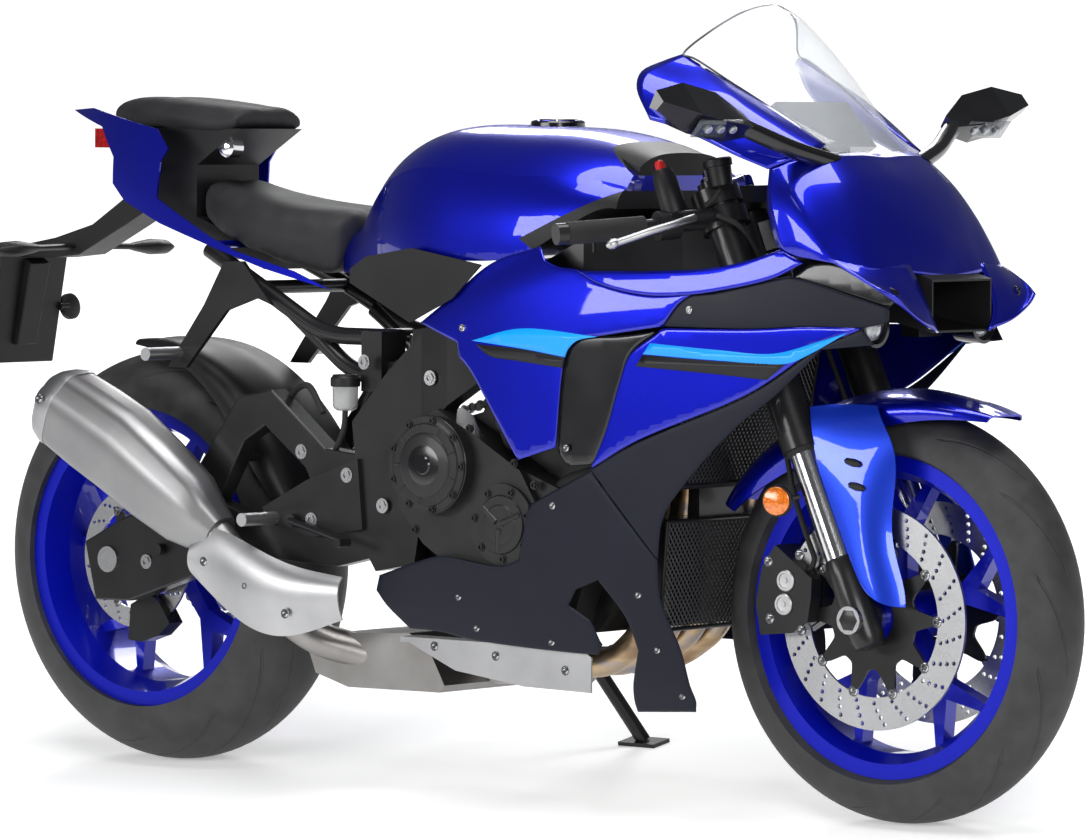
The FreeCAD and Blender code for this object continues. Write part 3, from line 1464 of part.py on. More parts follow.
# How far out the right side's bodywork lies, by station and waterline.
SIDE_STATION_SHARES = (5.2, 7.2, 9.2, 11.2, 13.2, 15.4)
SIDE_WATERLINE_SHARES = (8.6, 7.5, 6.4, 5.2, 4.0, 2.8, 1.9, 1.2)
SIDE_OUT_SHARES = (
    (1.86, 1.94, 1.98, 1.98, 1.86, 1.50),
    (1.95, 2.05, 2.14, 2.12, 1.92, 1.48),
    (1.95, 2.08, 2.16, 2.10, 1.86, 1.42),
    (1.94, 2.06, 2.12, 2.04, 1.80, 1.36),
    (1.88, 2.00, 2.05, 1.96, 1.70, 1.30),
    (1.74, 1.86, 1.90, 1.82, 1.56, 1.20),
    (1.54, 1.66, 1.72, 1.64, 1.42, 1.05),
    (1.20, 1.34, 1.40, 1.32, 1.10, 0.80),
)


def side_skin(inset, wall):
    """Loft the side bodywork's whole skin, set in from its outer face."""
    rows = []
    for z, outs in zip(SIDE_WATERLINE_SHARES, SIDE_OUT_SHARES):
        row = []
        for x, out in zip(SIDE_STATION_SHARES, outs):
            row.append(at((x, -out, z)) + V(0, inset, 0))
        rows.append(row)
    return skin(rows, -wall)


def side_panel(outline, inset=0.0):
    """Trim the side skin to an outline on the side view."""
    cutter = prism(outline, -SIDE_REACH_SHARE * BUTTOCK, 0)
    return side_skin(inset, size("panel_wall")).common(cutter)


SIDE_REACH_SHARE = 2.6
UPPER_COWL_SHARES = (
    (6.56, 7.02), (7.20, 7.42), (7.97, 7.93), (8.89, 8.19), (9.03, 7.99), (9.31, 7.90),
    (9.69, 7.86), (10.14, 7.68), (10.99, 7.53), (11.79, 7.57), (11.54, 7.41), (11.26, 7.08),
    (10.16, 6.92), (9.74, 6.85), (9.56, 6.70), (9.48, 6.51), (9.31, 5.28), (8.58, 5.07),
    (7.64, 6.36), (7.42, 6.54), (7.38, 6.75), (6.66, 6.99),
)
FRONT_COWL_SHARES = (
    (11.26, 7.08), (11.54, 7.41), (11.79, 7.57), (12.14, 7.59), (13.14, 7.80), (13.40, 7.83),
    (14.31, 7.58), (14.86, 7.42), (14.84, 7.22), (14.45, 7.13), (14.62, 6.89), (13.83, 6.81),
    (13.14, 6.18), (12.42, 5.64), (11.68, 4.94), (11.20, 4.35), (11.06, 3.72), (9.94, 4.99),
    (9.98, 5.08), (10.23, 5.56), (10.48, 6.24), (10.68, 6.66), (11.14, 6.97),
)
SIDE_BLADE_SHARES = (
    (9.75, 7.85), (10.45, 7.86), (12.00, 7.92), (12.64, 8.03), (13.25, 8.21), (13.63, 8.03),
    (13.14, 7.76), (12.14, 7.55), (11.69, 7.50), (10.99, 7.49), (10.14, 7.64),
)
BLADE_RISE_SHARE = 0.09
LOWER_COWL_SHARES = (
    (5.69, 3.24), (5.60, 3.01), (5.78, 2.80), (6.21, 2.47), (6.86, 2.45), (7.45, 2.37),
    (9.17, 2.29), (9.86, 2.28), (9.95, 2.43), (9.79, 2.79), (9.41, 2.99), (9.56, 3.22),
    (9.98, 3.38), (10.43, 2.85), (10.59, 2.39), (10.35, 1.64), (10.34, 1.50), (11.38, 1.52),
    (11.45, 1.69), (11.42, 1.92), (11.34, 2.43), (11.07, 3.15), (11.06, 3.72), (9.94, 4.99),
    (8.77, 4.42), (8.53, 3.61), (8.17, 3.50), (6.99, 3.59), (6.48, 3.48),
)
STAND_CUT_SHARES = ((5.00, 2.00), (6.90, 2.00), (7.30, 3.20), (6.90, 4.00), (5.00, 4.00))
COWL_ARM_SHARES = (
    (9.38, 6.76), (9.74, 6.96), (10.47, 7.03), (11.10, 7.12), (10.86, 6.80), (10.62, 6.24),
    (10.38, 5.56), (10.10, 4.98), (9.49, 4.92), (9.18, 5.24), (9.34, 6.51),
)
SIDE_COVER_SHARES = ((5.01, 7.67), (5.51, 7.98), (6.41, 8.12), (7.83, 7.90), (7.30, 7.40),
                     (6.44, 7.02))
COVER_TAB_SHARES = ((6.30, -1.94, 8.03),)
COWL_BOSS_SHARES = ((9.30, -2.165, 7.45), (8.10, -2.14, 7.10))
BOSS_LENGTH_SHARE = 0.68
BOSS_RADIUS_SHARE = 0.06


def make_side_bodywork():
    """Trim every side panel out of the same skin, on both sides."""
    inset = size("panel_wall") + size("seat_gap")
    rise = BLADE_RISE_SHARE * BUTTOCK
    reach = SIDE_REACH_SHARE * BUTTOCK
    half_wall = size("panel_wall") / 2
    outline = fuse([prism(UPPER_COWL_SHARES, -reach, 0), prism(FRONT_COWL_SHARES, -reach, 0)])
    panel = side_skin(0, size("panel_wall")).common(outline)
    blade = side_skin(-half_wall, rise + half_wall).common(prism(SIDE_BLADE_SHARES, -reach, 0))
    fairing = fuse([panel, blade] + side_bosses(COWL_BOSS_SHARES))
    feature("side_fairings", both_sides(seated(fairing, "main_frame")))
    right_cowl = side_panel(LOWER_COWL_SHARES)
    stand_cut = prism(STAND_CUT_SHARES, 0, reach)
    left_cowl = mirrored(right_cowl).cut(stand_cut)
    feature("lower_cowls", Part.makeCompound(right_cowl.Solids + left_cowl.Solids))
    feature("cowl_inserts", both_sides(side_panel(COWL_ARM_SHARES, inset)))
    tabs = side_bosses(COVER_TAB_SHARES)
    cover = fuse([side_panel(SIDE_COVER_SHARES, inset)] + tabs)
    feature("side_covers", both_sides(seated(cover, "fuel_tank", "main_frame")))


def side_bosses(places):
    """Build bosses that reach in from a right side panel to what carries it."""
    radius = BOSS_RADIUS_SHARE * BUTTOCK
    length = BOSS_LENGTH_SHARE * BUTTOCK
    return [rod(at(place), at(place) + ACROSS * length, radius) for place in places]


# The nose cowl's rows from the screen's sides to its tip; each row is given
# from the right lower edge to the centre.
NOSE_SHARES = (
    ((12.91, -1.78, 9.36), (13.16, -1.60, 9.48), (13.34, -1.35, 9.53), (13.50, -1.05, 9.56),
     (13.58, -0.52, 9.58), (13.60, 0.0, 9.56)),
    ((12.96, -1.89, 8.90), (13.45, -1.82, 9.02), (13.78, -1.50, 9.10), (13.96, -1.08, 9.15),
     (14.05, -0.52, 9.17), (14.10, 0.0, 9.15)),
    ((13.08, -1.93, 8.50), (13.75, -1.91, 8.60), (14.12, -1.58, 8.66), (14.32, -1.00, 8.70),
     (14.40, -0.48, 8.72), (14.44, 0.0, 8.70)),
    ((13.22, -1.94, 8.22), (13.95, -1.93, 8.22), (14.36, -1.63, 8.26), (14.56, -0.90, 8.28),
     (14.63, -0.44, 8.29), (14.67, 0.0, 8.27)),
    ((13.40, -1.90, 8.12), (13.97, -1.92, 8.06), (14.52, -1.66, 7.96), (14.76, -0.88, 7.90),
     (14.80, -0.44, 7.84), (14.80, 0.0, 7.80)),
)
# The blades that run down from the nose on each side of the intake.
NOSE_BLADE_SHARES = (
    ((13.90, -1.905, 8.17), (14.23, -1.80, 8.11), (14.55, -1.42, 8.05), (14.715, -0.86, 8.01)),
    ((14.43, -1.88, 7.93), (14.67, -1.72, 7.82), (14.87, -1.35, 7.70), (14.91, -0.82, 7.64)),
    ((14.84, -1.81, 7.72), (14.97, -1.66, 7.58), (15.03, -1.28, 7.42), (15.01, -0.76, 7.34)),
    ((15.10, -1.65, 7.59), (15.12, -1.48, 7.44), (15.12, -1.10, 7.22), (15.04, -0.60, 7.06)),
)


def mirror_row(row):
    """Complete a row of places from its right half."""
    other = [(x, -y, z) for x, y, z in reversed(row[:-1])]
    return points_at(list(row) + other)


def make_nose_cowl():
    """Loft the nose cowl over the lamps."""
    rows = [mirror_row(row) for row in NOSE_SHARES]
    shell = skin(rows, size("panel_wall"))
    blade = skin([points_at(row) for row in NOSE_BLADE_SHARES], size("panel_wall"))
    nose = fuse([shell, blade, mirrored(blade)])
    feature("nose_cowl", seated(nose, "side_fairings"))


# The cowl's ears beside the screen, each row from its upper to its lower edge.
EAR_SHARES = (
    ((11.04, -1.39, 10.98), (10.83, -1.58, 10.88), (10.68, -1.90, 10.72), (10.70, -2.03, 10.50),
     (11.05, -2.17, 10.04)),
    ((11.42, -1.34, 10.78), (11.50, -1.60, 10.62), (11.50, -1.86, 10.44), (11.42, -2.03, 10.22),
     (11.34, -2.12, 9.96)),
    ((11.81, -1.30, 10.58), (12.00, -1.56, 10.40), (12.05, -1.80, 10.22), (11.96, -1.98, 10.00),
     (11.85, -2.05, 9.78)),
    ((12.51, -1.12, 10.18), (12.72, -1.40, 10.00), (12.74, -1.65, 9.84), (12.62, -1.88, 9.66),
     (12.50, -1.98, 9.52)),
    ((13.34, -1.02, 9.70), (13.36, -1.22, 9.62), (13.24, -1.50, 9.53), (13.06, -1.72, 9.42),
     (12.90, -1.80, 9.34)),
)


def make_cowl_ears():
    """Loft the ears that carry the screen's sides."""
    rows = [points_at(row) for row in EAR_SHARES]
    ear = skin(rows, -size("panel_wall"))
    feature("cowl_ears", both_sides(seated(ear, "nose_cowl")))


SCREEN_SHARES = (
    ((13.42, -0.98, 9.56), (13.56, -0.54, 9.57), (13.62, 0.0, 9.555)),
    ((12.51, -1.10, 10.16), (12.78, -0.60, 10.45), (12.92, 0.0, 10.52)),
    ((11.81, -1.27, 10.58), (12.18, -0.64, 11.04), (12.32, 0.0, 11.16)),
    ((11.20, -1.35, 10.92), (11.62, -0.70, 11.46), (11.72, 0.0, 11.60)),
    ((11.04, -1.38, 10.97), (11.44, -0.72, 11.52), (11.54, 0.0, 11.70)),
)


def make_windscreen():
    """Loft the clear screen."""
    rows = [mirror_row(row) for row in SCREEN_SHARES]
    screen = skin(rows, size("screen_wall"))
    feature("windscreen", seated(screen, "nose_cowl", "cowl_ears"))


# The mirror pod's sections out from the bike: distance across, then station
# and waterline of its corners.
MIRROR_SHARES = (
    (2.42, ((12.85, 9.95), (13.05, 9.80), (13.15, 9.95), (12.95, 10.12))),
    (2.95, ((12.62, 9.90), (12.95, 9.72), (13.20, 9.98), (12.85, 10.42))),
    (3.70, ((12.60, 9.95), (12.92, 9.84), (13.20, 10.12), (12.85, 10.55))),
    (4.38, ((12.80, 10.20), (12.92, 10.16), (13.05, 10.28), (12.92, 10.44))),
)
MIRROR_ARM_SHARES = ((13.50, 0.98, 9.42), (13.30, 1.75, 9.62), (12.98, 2.55, 9.95))
MIRROR_ARM_RADIUS_SHARE = 0.13


def make_mirrors():
    """Loft the mirror pods on their arms."""
    sections = []
    for y, corners in MIRROR_SHARES:
        points = [at((x, y, z)) for x, z in corners]
        sections.append([[a, b] for a, b in zip(points, points[1:] + points[:1])])
    pod = body_loft(sections, ruled=True)
    arm = tube(points_at(MIRROR_ARM_SHARES), MIRROR_ARM_RADIUS_SHARE * WATERLINE, 0.3)
    feature("mirrors", seated(both_sides(pod.fuse(arm)), "nose_cowl", "cowl_ears"))


LAMP_SHARE = (14.36, 1.30, 7.14)
LAMP_RADIUS_SHARE = 0.25
LAMP_DEPTH_SHARE = 0.85
DUCT_SHARES = ((15.00, 0.72, 7.05, 7.80), (14.20, 0.62, 7.20, 8.05), (12.90, 0.44, 7.60, 8.45),
               (12.30, 0.30, 7.75, 8.45))


def duct_section(x, half, low, high):
    """Outline one section of the intake duct."""
    corners = points_at(((x, -half, low), (x, half, low), (x, half, high), (x, -half, high)))
    return [[a, b] for a, b in zip(corners, corners[1:] + corners[:1])]


def make_nose_parts():
    """Build the intake duct, the projector lamps and the instrument panel."""
    outer = body_loft([duct_section(*share) for share in DUCT_SHARES], ruled=True)
    wall = size("panel_wall") / BUTTOCK
    inner_shares = []
    for x, half, low, high in DUCT_SHARES[:-1]:
        inner_shares.append((x, half - wall, low + wall, high - wall))
    inner = body_loft([duct_section(*share) for share in inner_shares], ruled=True)
    feature("nose_duct", seated(outer.cut(inner), "nose_cowl"))
    lamp = at(LAMP_SHARE)
    reach = LAMP_DEPTH_SHARE * STATION
    barrel = Part.makeCylinder(LAMP_RADIUS_SHARE * WATERLINE, reach, lamp - ALONG * reach, ALONG)
    feature("headlights", both_sides(barrel))
    dash = prism(DASH_SHARES, -DASH_HALF_SHARE * BUTTOCK, DASH_HALF_SHARE * BUTTOCK)
    feature("instrument_panel", dash)


DASH_SHARES = ((12.05, 10.15), (12.32, 10.30), (12.86, 9.66), (12.60, 9.50))
DASH_HALF_SHARE = 0.85
COWL_STAY_SHARES = ((11.68, 8.15), (11.52, 8.55), (12.2, 8.72), (12.45, 9.1), (12.55, 9.66),
                    (12.85, 9.66), (12.80, 9.0), (13.60, 9.0), (13.60, 8.7), (12.7, 8.40))
STAY_HALF_SHARE = 0.22
STAY_WING_SHARES = ((13.20, -1.85, 8.72), (13.45, 1.85, 8.95))
LAMP_HANGER_SHARES = ((13.20, 1.02, 6.92), (13.51, 1.58, 8.90))


def make_cowl_stay():
    """Build the bracket that carries the nose from the steering head."""
    stay = prism(COWL_STAY_SHARES, -STAY_HALF_SHARE * BUTTOCK, STAY_HALF_SHARE * BUTTOCK)
    wings = block(*points_at(STAY_WING_SHARES))
    hanger = block(*points_at(LAMP_HANGER_SHARES))
    whole = fuse([stay, wings, hanger, mirrored(hanger)])
    feature("cowl_stay", seated(whole, "main_frame", "nose_cowl", "nose_duct", "headlights",
                                "instrument_panel", "side_fairings"))


# Seats and tail

SEAT_SHARES = (
    (1.10, 0.70, 8.55, 9.10, 0.80),
    (1.80, 1.05, 8.25, 8.85, 0.80),
    (2.80, 1.25, 7.95, 8.68, 0.80),
    (3.50, 1.15, 7.78, 8.62, 0.80),
    (4.10, 0.93, 7.70, 8.55, 0.80),
)


def cushion_section(x, half, low, high, edge):
    """Outline one section of a cushion with a rounded top."""
    side = low + (high - low) * edge
    right_low = at((x, -half, low))
    left_low = at((x, half, low))
    right = at((x, -half, side))
    left = at((x, half, side))
    crown = at((x, 0, high))
    right_round = at((x, -half * TANK_ROUND_SHARES[0], high))
    left_round = at((x, half * TANK_ROUND_SHARES[0], high))
    return [[right_low, left_low], [left_low, left], [left, left_round, crown, right_round, right],
            [right, right_low]]


PASSENGER_SHARES = (
    (-1.05, 0.45, 9.95, 10.18, 0.6),
    (-0.30, 0.80, 9.90, 10.28, 0.6),
    (0.80, 0.95, 9.88, 10.22, 0.6),
    (1.90, 0.80, 9.86, 10.12, 0.6),
)


def make_seats():
    """Build both cushions as plain closed forms."""
    rider = body_loft([cushion_section(*share) for share in SEAT_SHARES])
    feature("rider_seat", seated(rider, "fuel_tank"))
    passenger = body_loft([cushion_section(*share) for share in PASSENGER_SHARES])
    feature("passenger_seat", passenger)


TAIL_SIDE_SHARES = (
    (-1.76, 10.14), (-1.11, 10.17), (0.60, 9.85), (0.89, 9.54), (0.74, 9.34), (0.68, 8.79),
    (1.06, 8.60), (1.86, 8.22), (2.43, 8.00), (3.60, 7.72), (4.30, 7.45), (3.00, 7.75),
    (0.74, 8.40), (-0.12, 8.74), (-0.41, 9.00), (-0.40, 9.41), (-0.77, 9.88),
)
TAIL_OUT_SHARES = (
    ((-2.0, -0.30, 10.4), (-0.8, -0.80, 10.4), (0.6, -1.06, 10.4), (2.2, -1.14, 10.4),
     (4.4, -1.10, 10.4)),
    ((-2.0, -0.50, 9.4), (-0.8, -0.98, 9.4), (0.6, -1.22, 9.4), (2.2, -1.30, 9.4),
     (4.4, -1.22, 9.4)),
    ((-2.0, -0.45, 8.2), (-0.8, -0.90, 8.2), (0.6, -1.22, 8.2), (2.2, -1.38, 8.2),
     (4.4, -1.32, 8.2)),
    ((-2.0, -0.30, 7.2), (-0.8, -0.70, 7.2), (0.6, -1.05, 7.2), (2.2, -1.30, 7.2),
     (4.4, -1.30, 7.2)),
)
TAIL_CORE_SHARES = ((-1.00, 9.88), (1.90, 9.86), (1.00, 9.3), (1.00, 8.50), (2.6, 7.95),
                    (2.4, 7.713), (1.2, 8.183), (0.3, 8.45), (-0.3, 8.85), (-0.35, 9.4))
TAIL_CORE_HALF_SHARE = 0.717
TAIL_BOSS_SHARES = ((2.00, -1.375, 8.10), (0.20, -1.168, 9.20))
TAIL_LIGHT_SHARES = ((-1.5, -0.35, 9.55), (-0.6, 0.35, 9.85))


def make_tail():
    """Build the tail's side panels, its core and the lamp."""
    rows = [points_at(row) for row in TAIL_OUT_SHARES]
    cutter = prism(TAIL_SIDE_SHARES, -SIDE_REACH_SHARE * BUTTOCK, 0)
    panel = skin(rows, -size("panel_wall")).common(cutter)
    feature("tail_cowl", both_sides(fuse([panel] + side_bosses(TAIL_BOSS_SHARES))))
    half = TAIL_CORE_HALF_SHARE * BUTTOCK
    feature("tail_core", seated(prism(TAIL_CORE_SHARES, -half, half), "tail_cowl"))
    lamp = block(*points_at(TAIL_LIGHT_SHARES))
    feature("tail_light", seated(lamp, "tail_core"))


PLATE_ARM_SHARES = ((-0.20, 9.0), (-0.60, 8.95), (-1.6, 8.35), (-3.20, 8.0), (-3.30, 7.80),
                    (-1.9, 7.85), (-0.9, 8.35), (-0.10, 8.75))
PLATE_SHARES = ((-3.10, 7.98), (-3.24, 7.98), (-3.58, 6.10), (-3.44, 6.10))
PLATE_HALF_SHARE = 0.75
PLATE_PLACE_SHARE = 0.55
SIGNAL_SHARES = (-2.05, 1.68, 7.95)
SIGNAL_ARM_SHARE = 0.09
SIGNAL_RADIUS_SHARE = 0.28


def plate_frame():
    """Find the middle of the plate's back face and its outward direction."""
    corners = [side_point(share, 0) for share in PLATE_SHARES]
    top = corners[1]
    low = corners[2]
    down = (low - top).normalize()
    out = V(down.z, 0, -down.x)
    return top + (low - top) * PLATE_PLACE_SHARE, out


def make_plate_bracket():
    """Build the plate carrier with its holes and its signals."""
    arm = prism(PLATE_ARM_SHARES, -0.32 * BUTTOCK, 0.32 * BUTTOCK)
    half = PLATE_HALF_SHARE * BUTTOCK
    plate = prism(PLATE_SHARES, -half, half)
    shapes = [arm, plate]
    tip = at(SIGNAL_SHARES)
    root = V(tip.x, 0, tip.z)
    for side in (-1, 1):
        end = V(tip.x, side * tip.y, tip.z)
        shapes.append(rod(root, end, SIGNAL_ARM_SHARE * BUTTOCK))
        shapes.append(Part.makeSphere(SIGNAL_RADIUS_SHARE * BUTTOCK, end))
    centre, out = plate_frame()
    holes = []
    for side in (-1, 1):
        place = centre + ACROSS * side * size("plate_hole_spacing") / 2
        reach = out * size("cut_overrun")
        holes.append(rod(place - reach, place + reach, size("plate_hole_radius")))
    feature("plate_bracket", seated(fuse(shapes).cut(holes), "tail_core"))


RIDER_PEG_BRACKET_SHARES = ((5.20, 4.95), (5.30, 3.90), (4.30, 3.75), (3.40, 3.90),
                            (3.30, 4.15), (4.20, 4.60))
PASSENGER_BRACKET_SHARES = ((2.60, 7.85), (2.23, 7.84), (1.82, 7.17), (1.29, 6.49),
                            (1.08, 6.20), (1.45, 6.20), (2.29, 7.10), (2.9, 7.3), (3.2, 7.2))
PASSENGER_LUG_SHARE = (2.40, 0, 7.56)
PASSENGER_LUG_OUT_SHARES = (1.02, 1.40)
RIDER_PEG_SHARE = (3.55, 1.70, 4.00)
PASSENGER_PEG_SHARE = (1.30, 1.45, 6.42)
PEDAL_SHARES = ((3.95, -1.86, 3.98), (5.25, -2.02, 3.72))


def make_pegs():
    """Build the footrest hangers, the footrests and the pedals."""
    inner = PIVOT_OUTER_SHARE * BUTTOCK
    thickness = size("plate_thickness")
    rider = prism(RIDER_PEG_BRACKET_SHARES, -inner - thickness, -inner)
    passenger = prism(PASSENGER_BRACKET_SHARES, -1.45 * BUTTOCK, -1.45 * BUTTOCK + thickness)
    near, far = (out * BUTTOCK for out in PASSENGER_LUG_OUT_SHARES)
    lug = across_rod(at(PASSENGER_LUG_SHARE), size("peg_radius"), -far, -near)
    held = seated(passenger.fuse(lug), "subframe")
    feature("peg_brackets", both_sides(Part.makeCompound([rider] + held.Solids)))
    pegs = []
    for share, out in ((RIDER_PEG_SHARE, inner + thickness),
                       (PASSENGER_PEG_SHARE, 1.45 * BUTTOCK)):
        centre = at(share)
        pegs.append(across_rod(centre, size("peg_radius"), -out - size("peg_length"), -out))
    feature("footpegs", both_sides(Part.makeCompound(pegs)))
    root, tip = points_at(PEDAL_SHARES)
    boss = across_rod(root, size("peg_radius"), root.y, -inner - thickness)
    pedal = rod(root, tip, size("peg_radius") / 2)
    pad = rod(tip, tip - ACROSS * size("peg_length") / 3, size("peg_radius") * 0.7)
    feature("pedals", both_sides(fuse([boss, pedal, pad])))


STAND_PIVOT_SHARE = (6.02, 1.62, 2.95)
STAND_EYE_SHARE = 1.5
STAND_AHEAD_SHARE = 1.05
STAND_OUT_SHARE = 1.20


def lean_matrix():
    """Work out the lean about the line between the wheels."""
    return FreeCAD.Rotation(ALONG, -size("lean_angle"))


def stand_foot():
    """Find where the stand's foot meets the ground when the bike leans on it."""
    pivot = at(STAND_PIVOT_SHARE)
    lean = math.radians(size("lean_angle"))
    crown = size("rear_tyre_width") / 2
    ground = -crown * (1 - math.cos(lean))
    x = pivot.x + STAND_AHEAD_SHARE * STATION
    y = pivot.y + STAND_OUT_SHARE * BUTTOCK
    z = (ground + y * math.sin(lean)) / math.cos(lean)
    return V(x, y, z)


def stand_axis():
    """Work out the direction of the stand's hinge."""
    cant = math.radians(size("stand_cant_angle"))
    return V(0, math.cos(cant), math.sin(cant))


def make_side_stand():
    """Build the stand's leg, its foot pad and its bored eye."""
    pivot = at(STAND_PIVOT_SHARE)
    foot = stand_foot()
    lean = math.radians(size("lean_angle"))
    up = V(0, -math.sin(lean), math.cos(lean))
    top = foot + up * size("stand_foot_thickness")
    leg = rod(top, pivot, size("stand_radius"))
    pad = Part.makeBox(size("stand_foot_length"), size("stand_foot_width"),
                       size("stand_foot_thickness"),
                       V(-size("stand_foot_length") / 2, -size("stand_foot_width") / 2, 0))
    pad.Placement = FreeCAD.Placement(foot, FreeCAD.Rotation(ALONG, size("lean_angle")))
    half = stand_axis() * size("stand_radius")
    eye = rod(pivot - half, pivot + half, size("stand_radius") * STAND_EYE_SHARE)
    bore = rod(pivot - half * 2, pivot + half * 2,
               size("stand_pin_radius") + size("running_gap"))
    feature("side_stand", fuse([leg, pad, eye]).cut(bore))


def make_chassis():
    """Build everything that the wheels, the steering and the stand move against."""
    make_main_frame()
    make_subframe()
    make_swingarm()
    make_rear_axle()
    make_engine_block()
    make_engine_covers()
    make_radiators()
    make_exhaust()
    make_heat_shields()
    make_rear_hugger()
    make_rear_shock()
    make_rear_brake()
    make_chain()
    make_fuel_tank()
    make_side_bodywork()
    make_nose_cowl()
    make_cowl_ears()
    make_windscreen()
    make_mirrors()
    make_nose_parts()
    make_cowl_stay()
    make_seats()
    make_tail()
    make_plate_bracket()
    make_pegs()


def lean_over():
    """Lean every sub-part onto the stand, with the origin below the middle."""
    turn = lean_matrix()
    low = V(math.inf, math.inf, math.inf)
    high = -low
    for thing in NODES:
        leaned = thing.Shape.copy()
        leaned.Placement = FreeCAD.Placement(ORIGIN, turn).multiply(leaned.Placement)
        box = leaned.optimalBoundingBox(False, False)
        low = V(min(low.x, box.XMin), min(low.y, box.YMin), min(low.z, box.ZMin))
        high = V(max(high.x, box.XMax), max(high.y, box.YMax), max(high.z, box.ZMax))
    shift = V(-(low.x + high.x) / 2, -(low.y + high.y) / 2, -low.z)
    placement = FreeCAD.Placement(shift, turn)
    for thing in NODES:
        thing.Placement = placement.multiply(thing.Placement)
    return placement


def check_all():
    """Stop if any object failed or any sub-part is not a valid solid."""
    for thing in doc.Objects:
        if "Invalid" in thing.State or "Error" in thing.State:
            raise ValueError(f"{thing.Name} failed: {thing.State}")
    for thing in NODES:
        if thing.Shape.isNull() or not thing.Shape.isValid() or not thing.Shape.Solids:
            raise ValueError(f"{thing.Label} is not a valid solid")


def write_all():
    """Write each sub-part to its own file."""
    os.makedirs("parts", exist_ok=True)
    for thing in NODES:
        thing.Shape.exportStep(os.path.join("parts", thing.Label + ".step"))


make_chassis()
make_steering()
make_wheels()
make_side_stand()
doc.recompute()
PLACED = lean_over()
doc.recompute()
check_all()
write_all()
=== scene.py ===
"""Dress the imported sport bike: body panels, seats, lamps, finishes, studio and camera.

Lengths in the classes are millimetres in the bike's own upright frame, with X forward from
the rear axle, Y to the left and Z up from the ground. ``UprightFrame`` places them in the
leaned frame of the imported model, in metres.
"""

from __future__ import annotations

import json
import logging
import math
from dataclasses import dataclass, field
from enum import Enum, IntEnum
from functools import cached_property
from typing import Any, Callable, Iterable, Sequence

import bpy
import numpy as np
from mathutils import Matrix, Vector
from mathutils.geometry import delaunay_2d_cdt

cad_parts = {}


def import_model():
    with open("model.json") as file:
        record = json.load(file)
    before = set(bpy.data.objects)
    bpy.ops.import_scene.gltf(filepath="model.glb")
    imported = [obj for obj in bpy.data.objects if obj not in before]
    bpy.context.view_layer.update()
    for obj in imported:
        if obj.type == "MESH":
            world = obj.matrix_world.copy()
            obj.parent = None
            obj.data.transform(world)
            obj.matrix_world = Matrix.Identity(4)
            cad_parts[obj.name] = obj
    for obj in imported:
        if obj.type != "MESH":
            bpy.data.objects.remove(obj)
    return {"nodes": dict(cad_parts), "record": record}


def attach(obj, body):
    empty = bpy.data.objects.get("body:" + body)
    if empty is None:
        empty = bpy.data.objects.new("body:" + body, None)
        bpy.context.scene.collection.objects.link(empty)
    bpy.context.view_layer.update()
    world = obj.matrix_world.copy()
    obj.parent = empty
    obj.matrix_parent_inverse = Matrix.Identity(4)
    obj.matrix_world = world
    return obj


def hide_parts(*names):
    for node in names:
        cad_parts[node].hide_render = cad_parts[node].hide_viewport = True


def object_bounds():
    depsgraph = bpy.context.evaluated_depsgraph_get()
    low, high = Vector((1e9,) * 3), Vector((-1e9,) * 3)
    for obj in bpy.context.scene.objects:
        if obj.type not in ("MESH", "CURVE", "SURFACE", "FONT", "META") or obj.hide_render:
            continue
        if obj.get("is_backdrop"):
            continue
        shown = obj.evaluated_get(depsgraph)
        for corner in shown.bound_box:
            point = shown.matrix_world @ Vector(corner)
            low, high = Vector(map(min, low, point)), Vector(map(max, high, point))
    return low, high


LOG = logging.getLogger("sport_bike")
Place = tuple[float, float, float]
Flat = tuple[float, float]
Colour = tuple[float, float, float]
MeshData = tuple[np.ndarray, list]


# ---------------------------------------------------------------- frame and mesh helpers


@dataclass(frozen=True)
class UprightFrame:
    """The upright bike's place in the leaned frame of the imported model."""

    lean_degrees: float = 10.0
    base: Place = (-672.5, -178.857623, 1.443264)
    unit: float = 0.001

    def matrix(self) -> Matrix:
        """Return the matrix from upright millimetres to leaned metres."""
        turn = Matrix.Rotation(math.radians(-self.lean_degrees), 4, "X")
        return Matrix.Scale(self.unit, 4) @ Matrix.Translation(Vector(self.base)) @ turn

    def place(self, points: np.ndarray) -> np.ndarray:
        """Place an array of upright points.

        Args:
            points: Rows of x, y, z in upright millimetres.

        Returns:
            The same rows in leaned metres.
        """
        whole = np.array(self.matrix())
        return points @ whole[:3, :3].T + whole[:3, 3]

    def unplace(self, points: np.ndarray) -> np.ndarray:
        """Take leaned metres back to upright millimetres."""
        whole = np.array(self.matrix().inverted())
        return points @ whole[:3, :3].T + whole[:3, 3]


UPRIGHT = UprightFrame()
RAKE = math.radians(24.0)
LEG_REACH = 105.0
FRONT_AXLE: Place = (1405.0, 0.0, 298.0)
REAR_AXLE: Place = (0.0, 0.0, 320.0)


class Side(IntEnum):
    """The bike's right and left sides, as the sign of Y."""

    RIGHT = -1
    LEFT = 1


class Body(Enum):
    """The bodies that the scene's pieces ride on."""

    CHASSIS = "chassis"
    STEERING = "steering"
    FRONT_WHEEL = "front_wheel"
    REAR_WHEEL = "rear_wheel"


def signs(paired: bool) -> tuple[Side, ...]:
    """Return the signs of Y that a form is repeated with."""
    return tuple(Side) if paired else (Side.LEFT,)


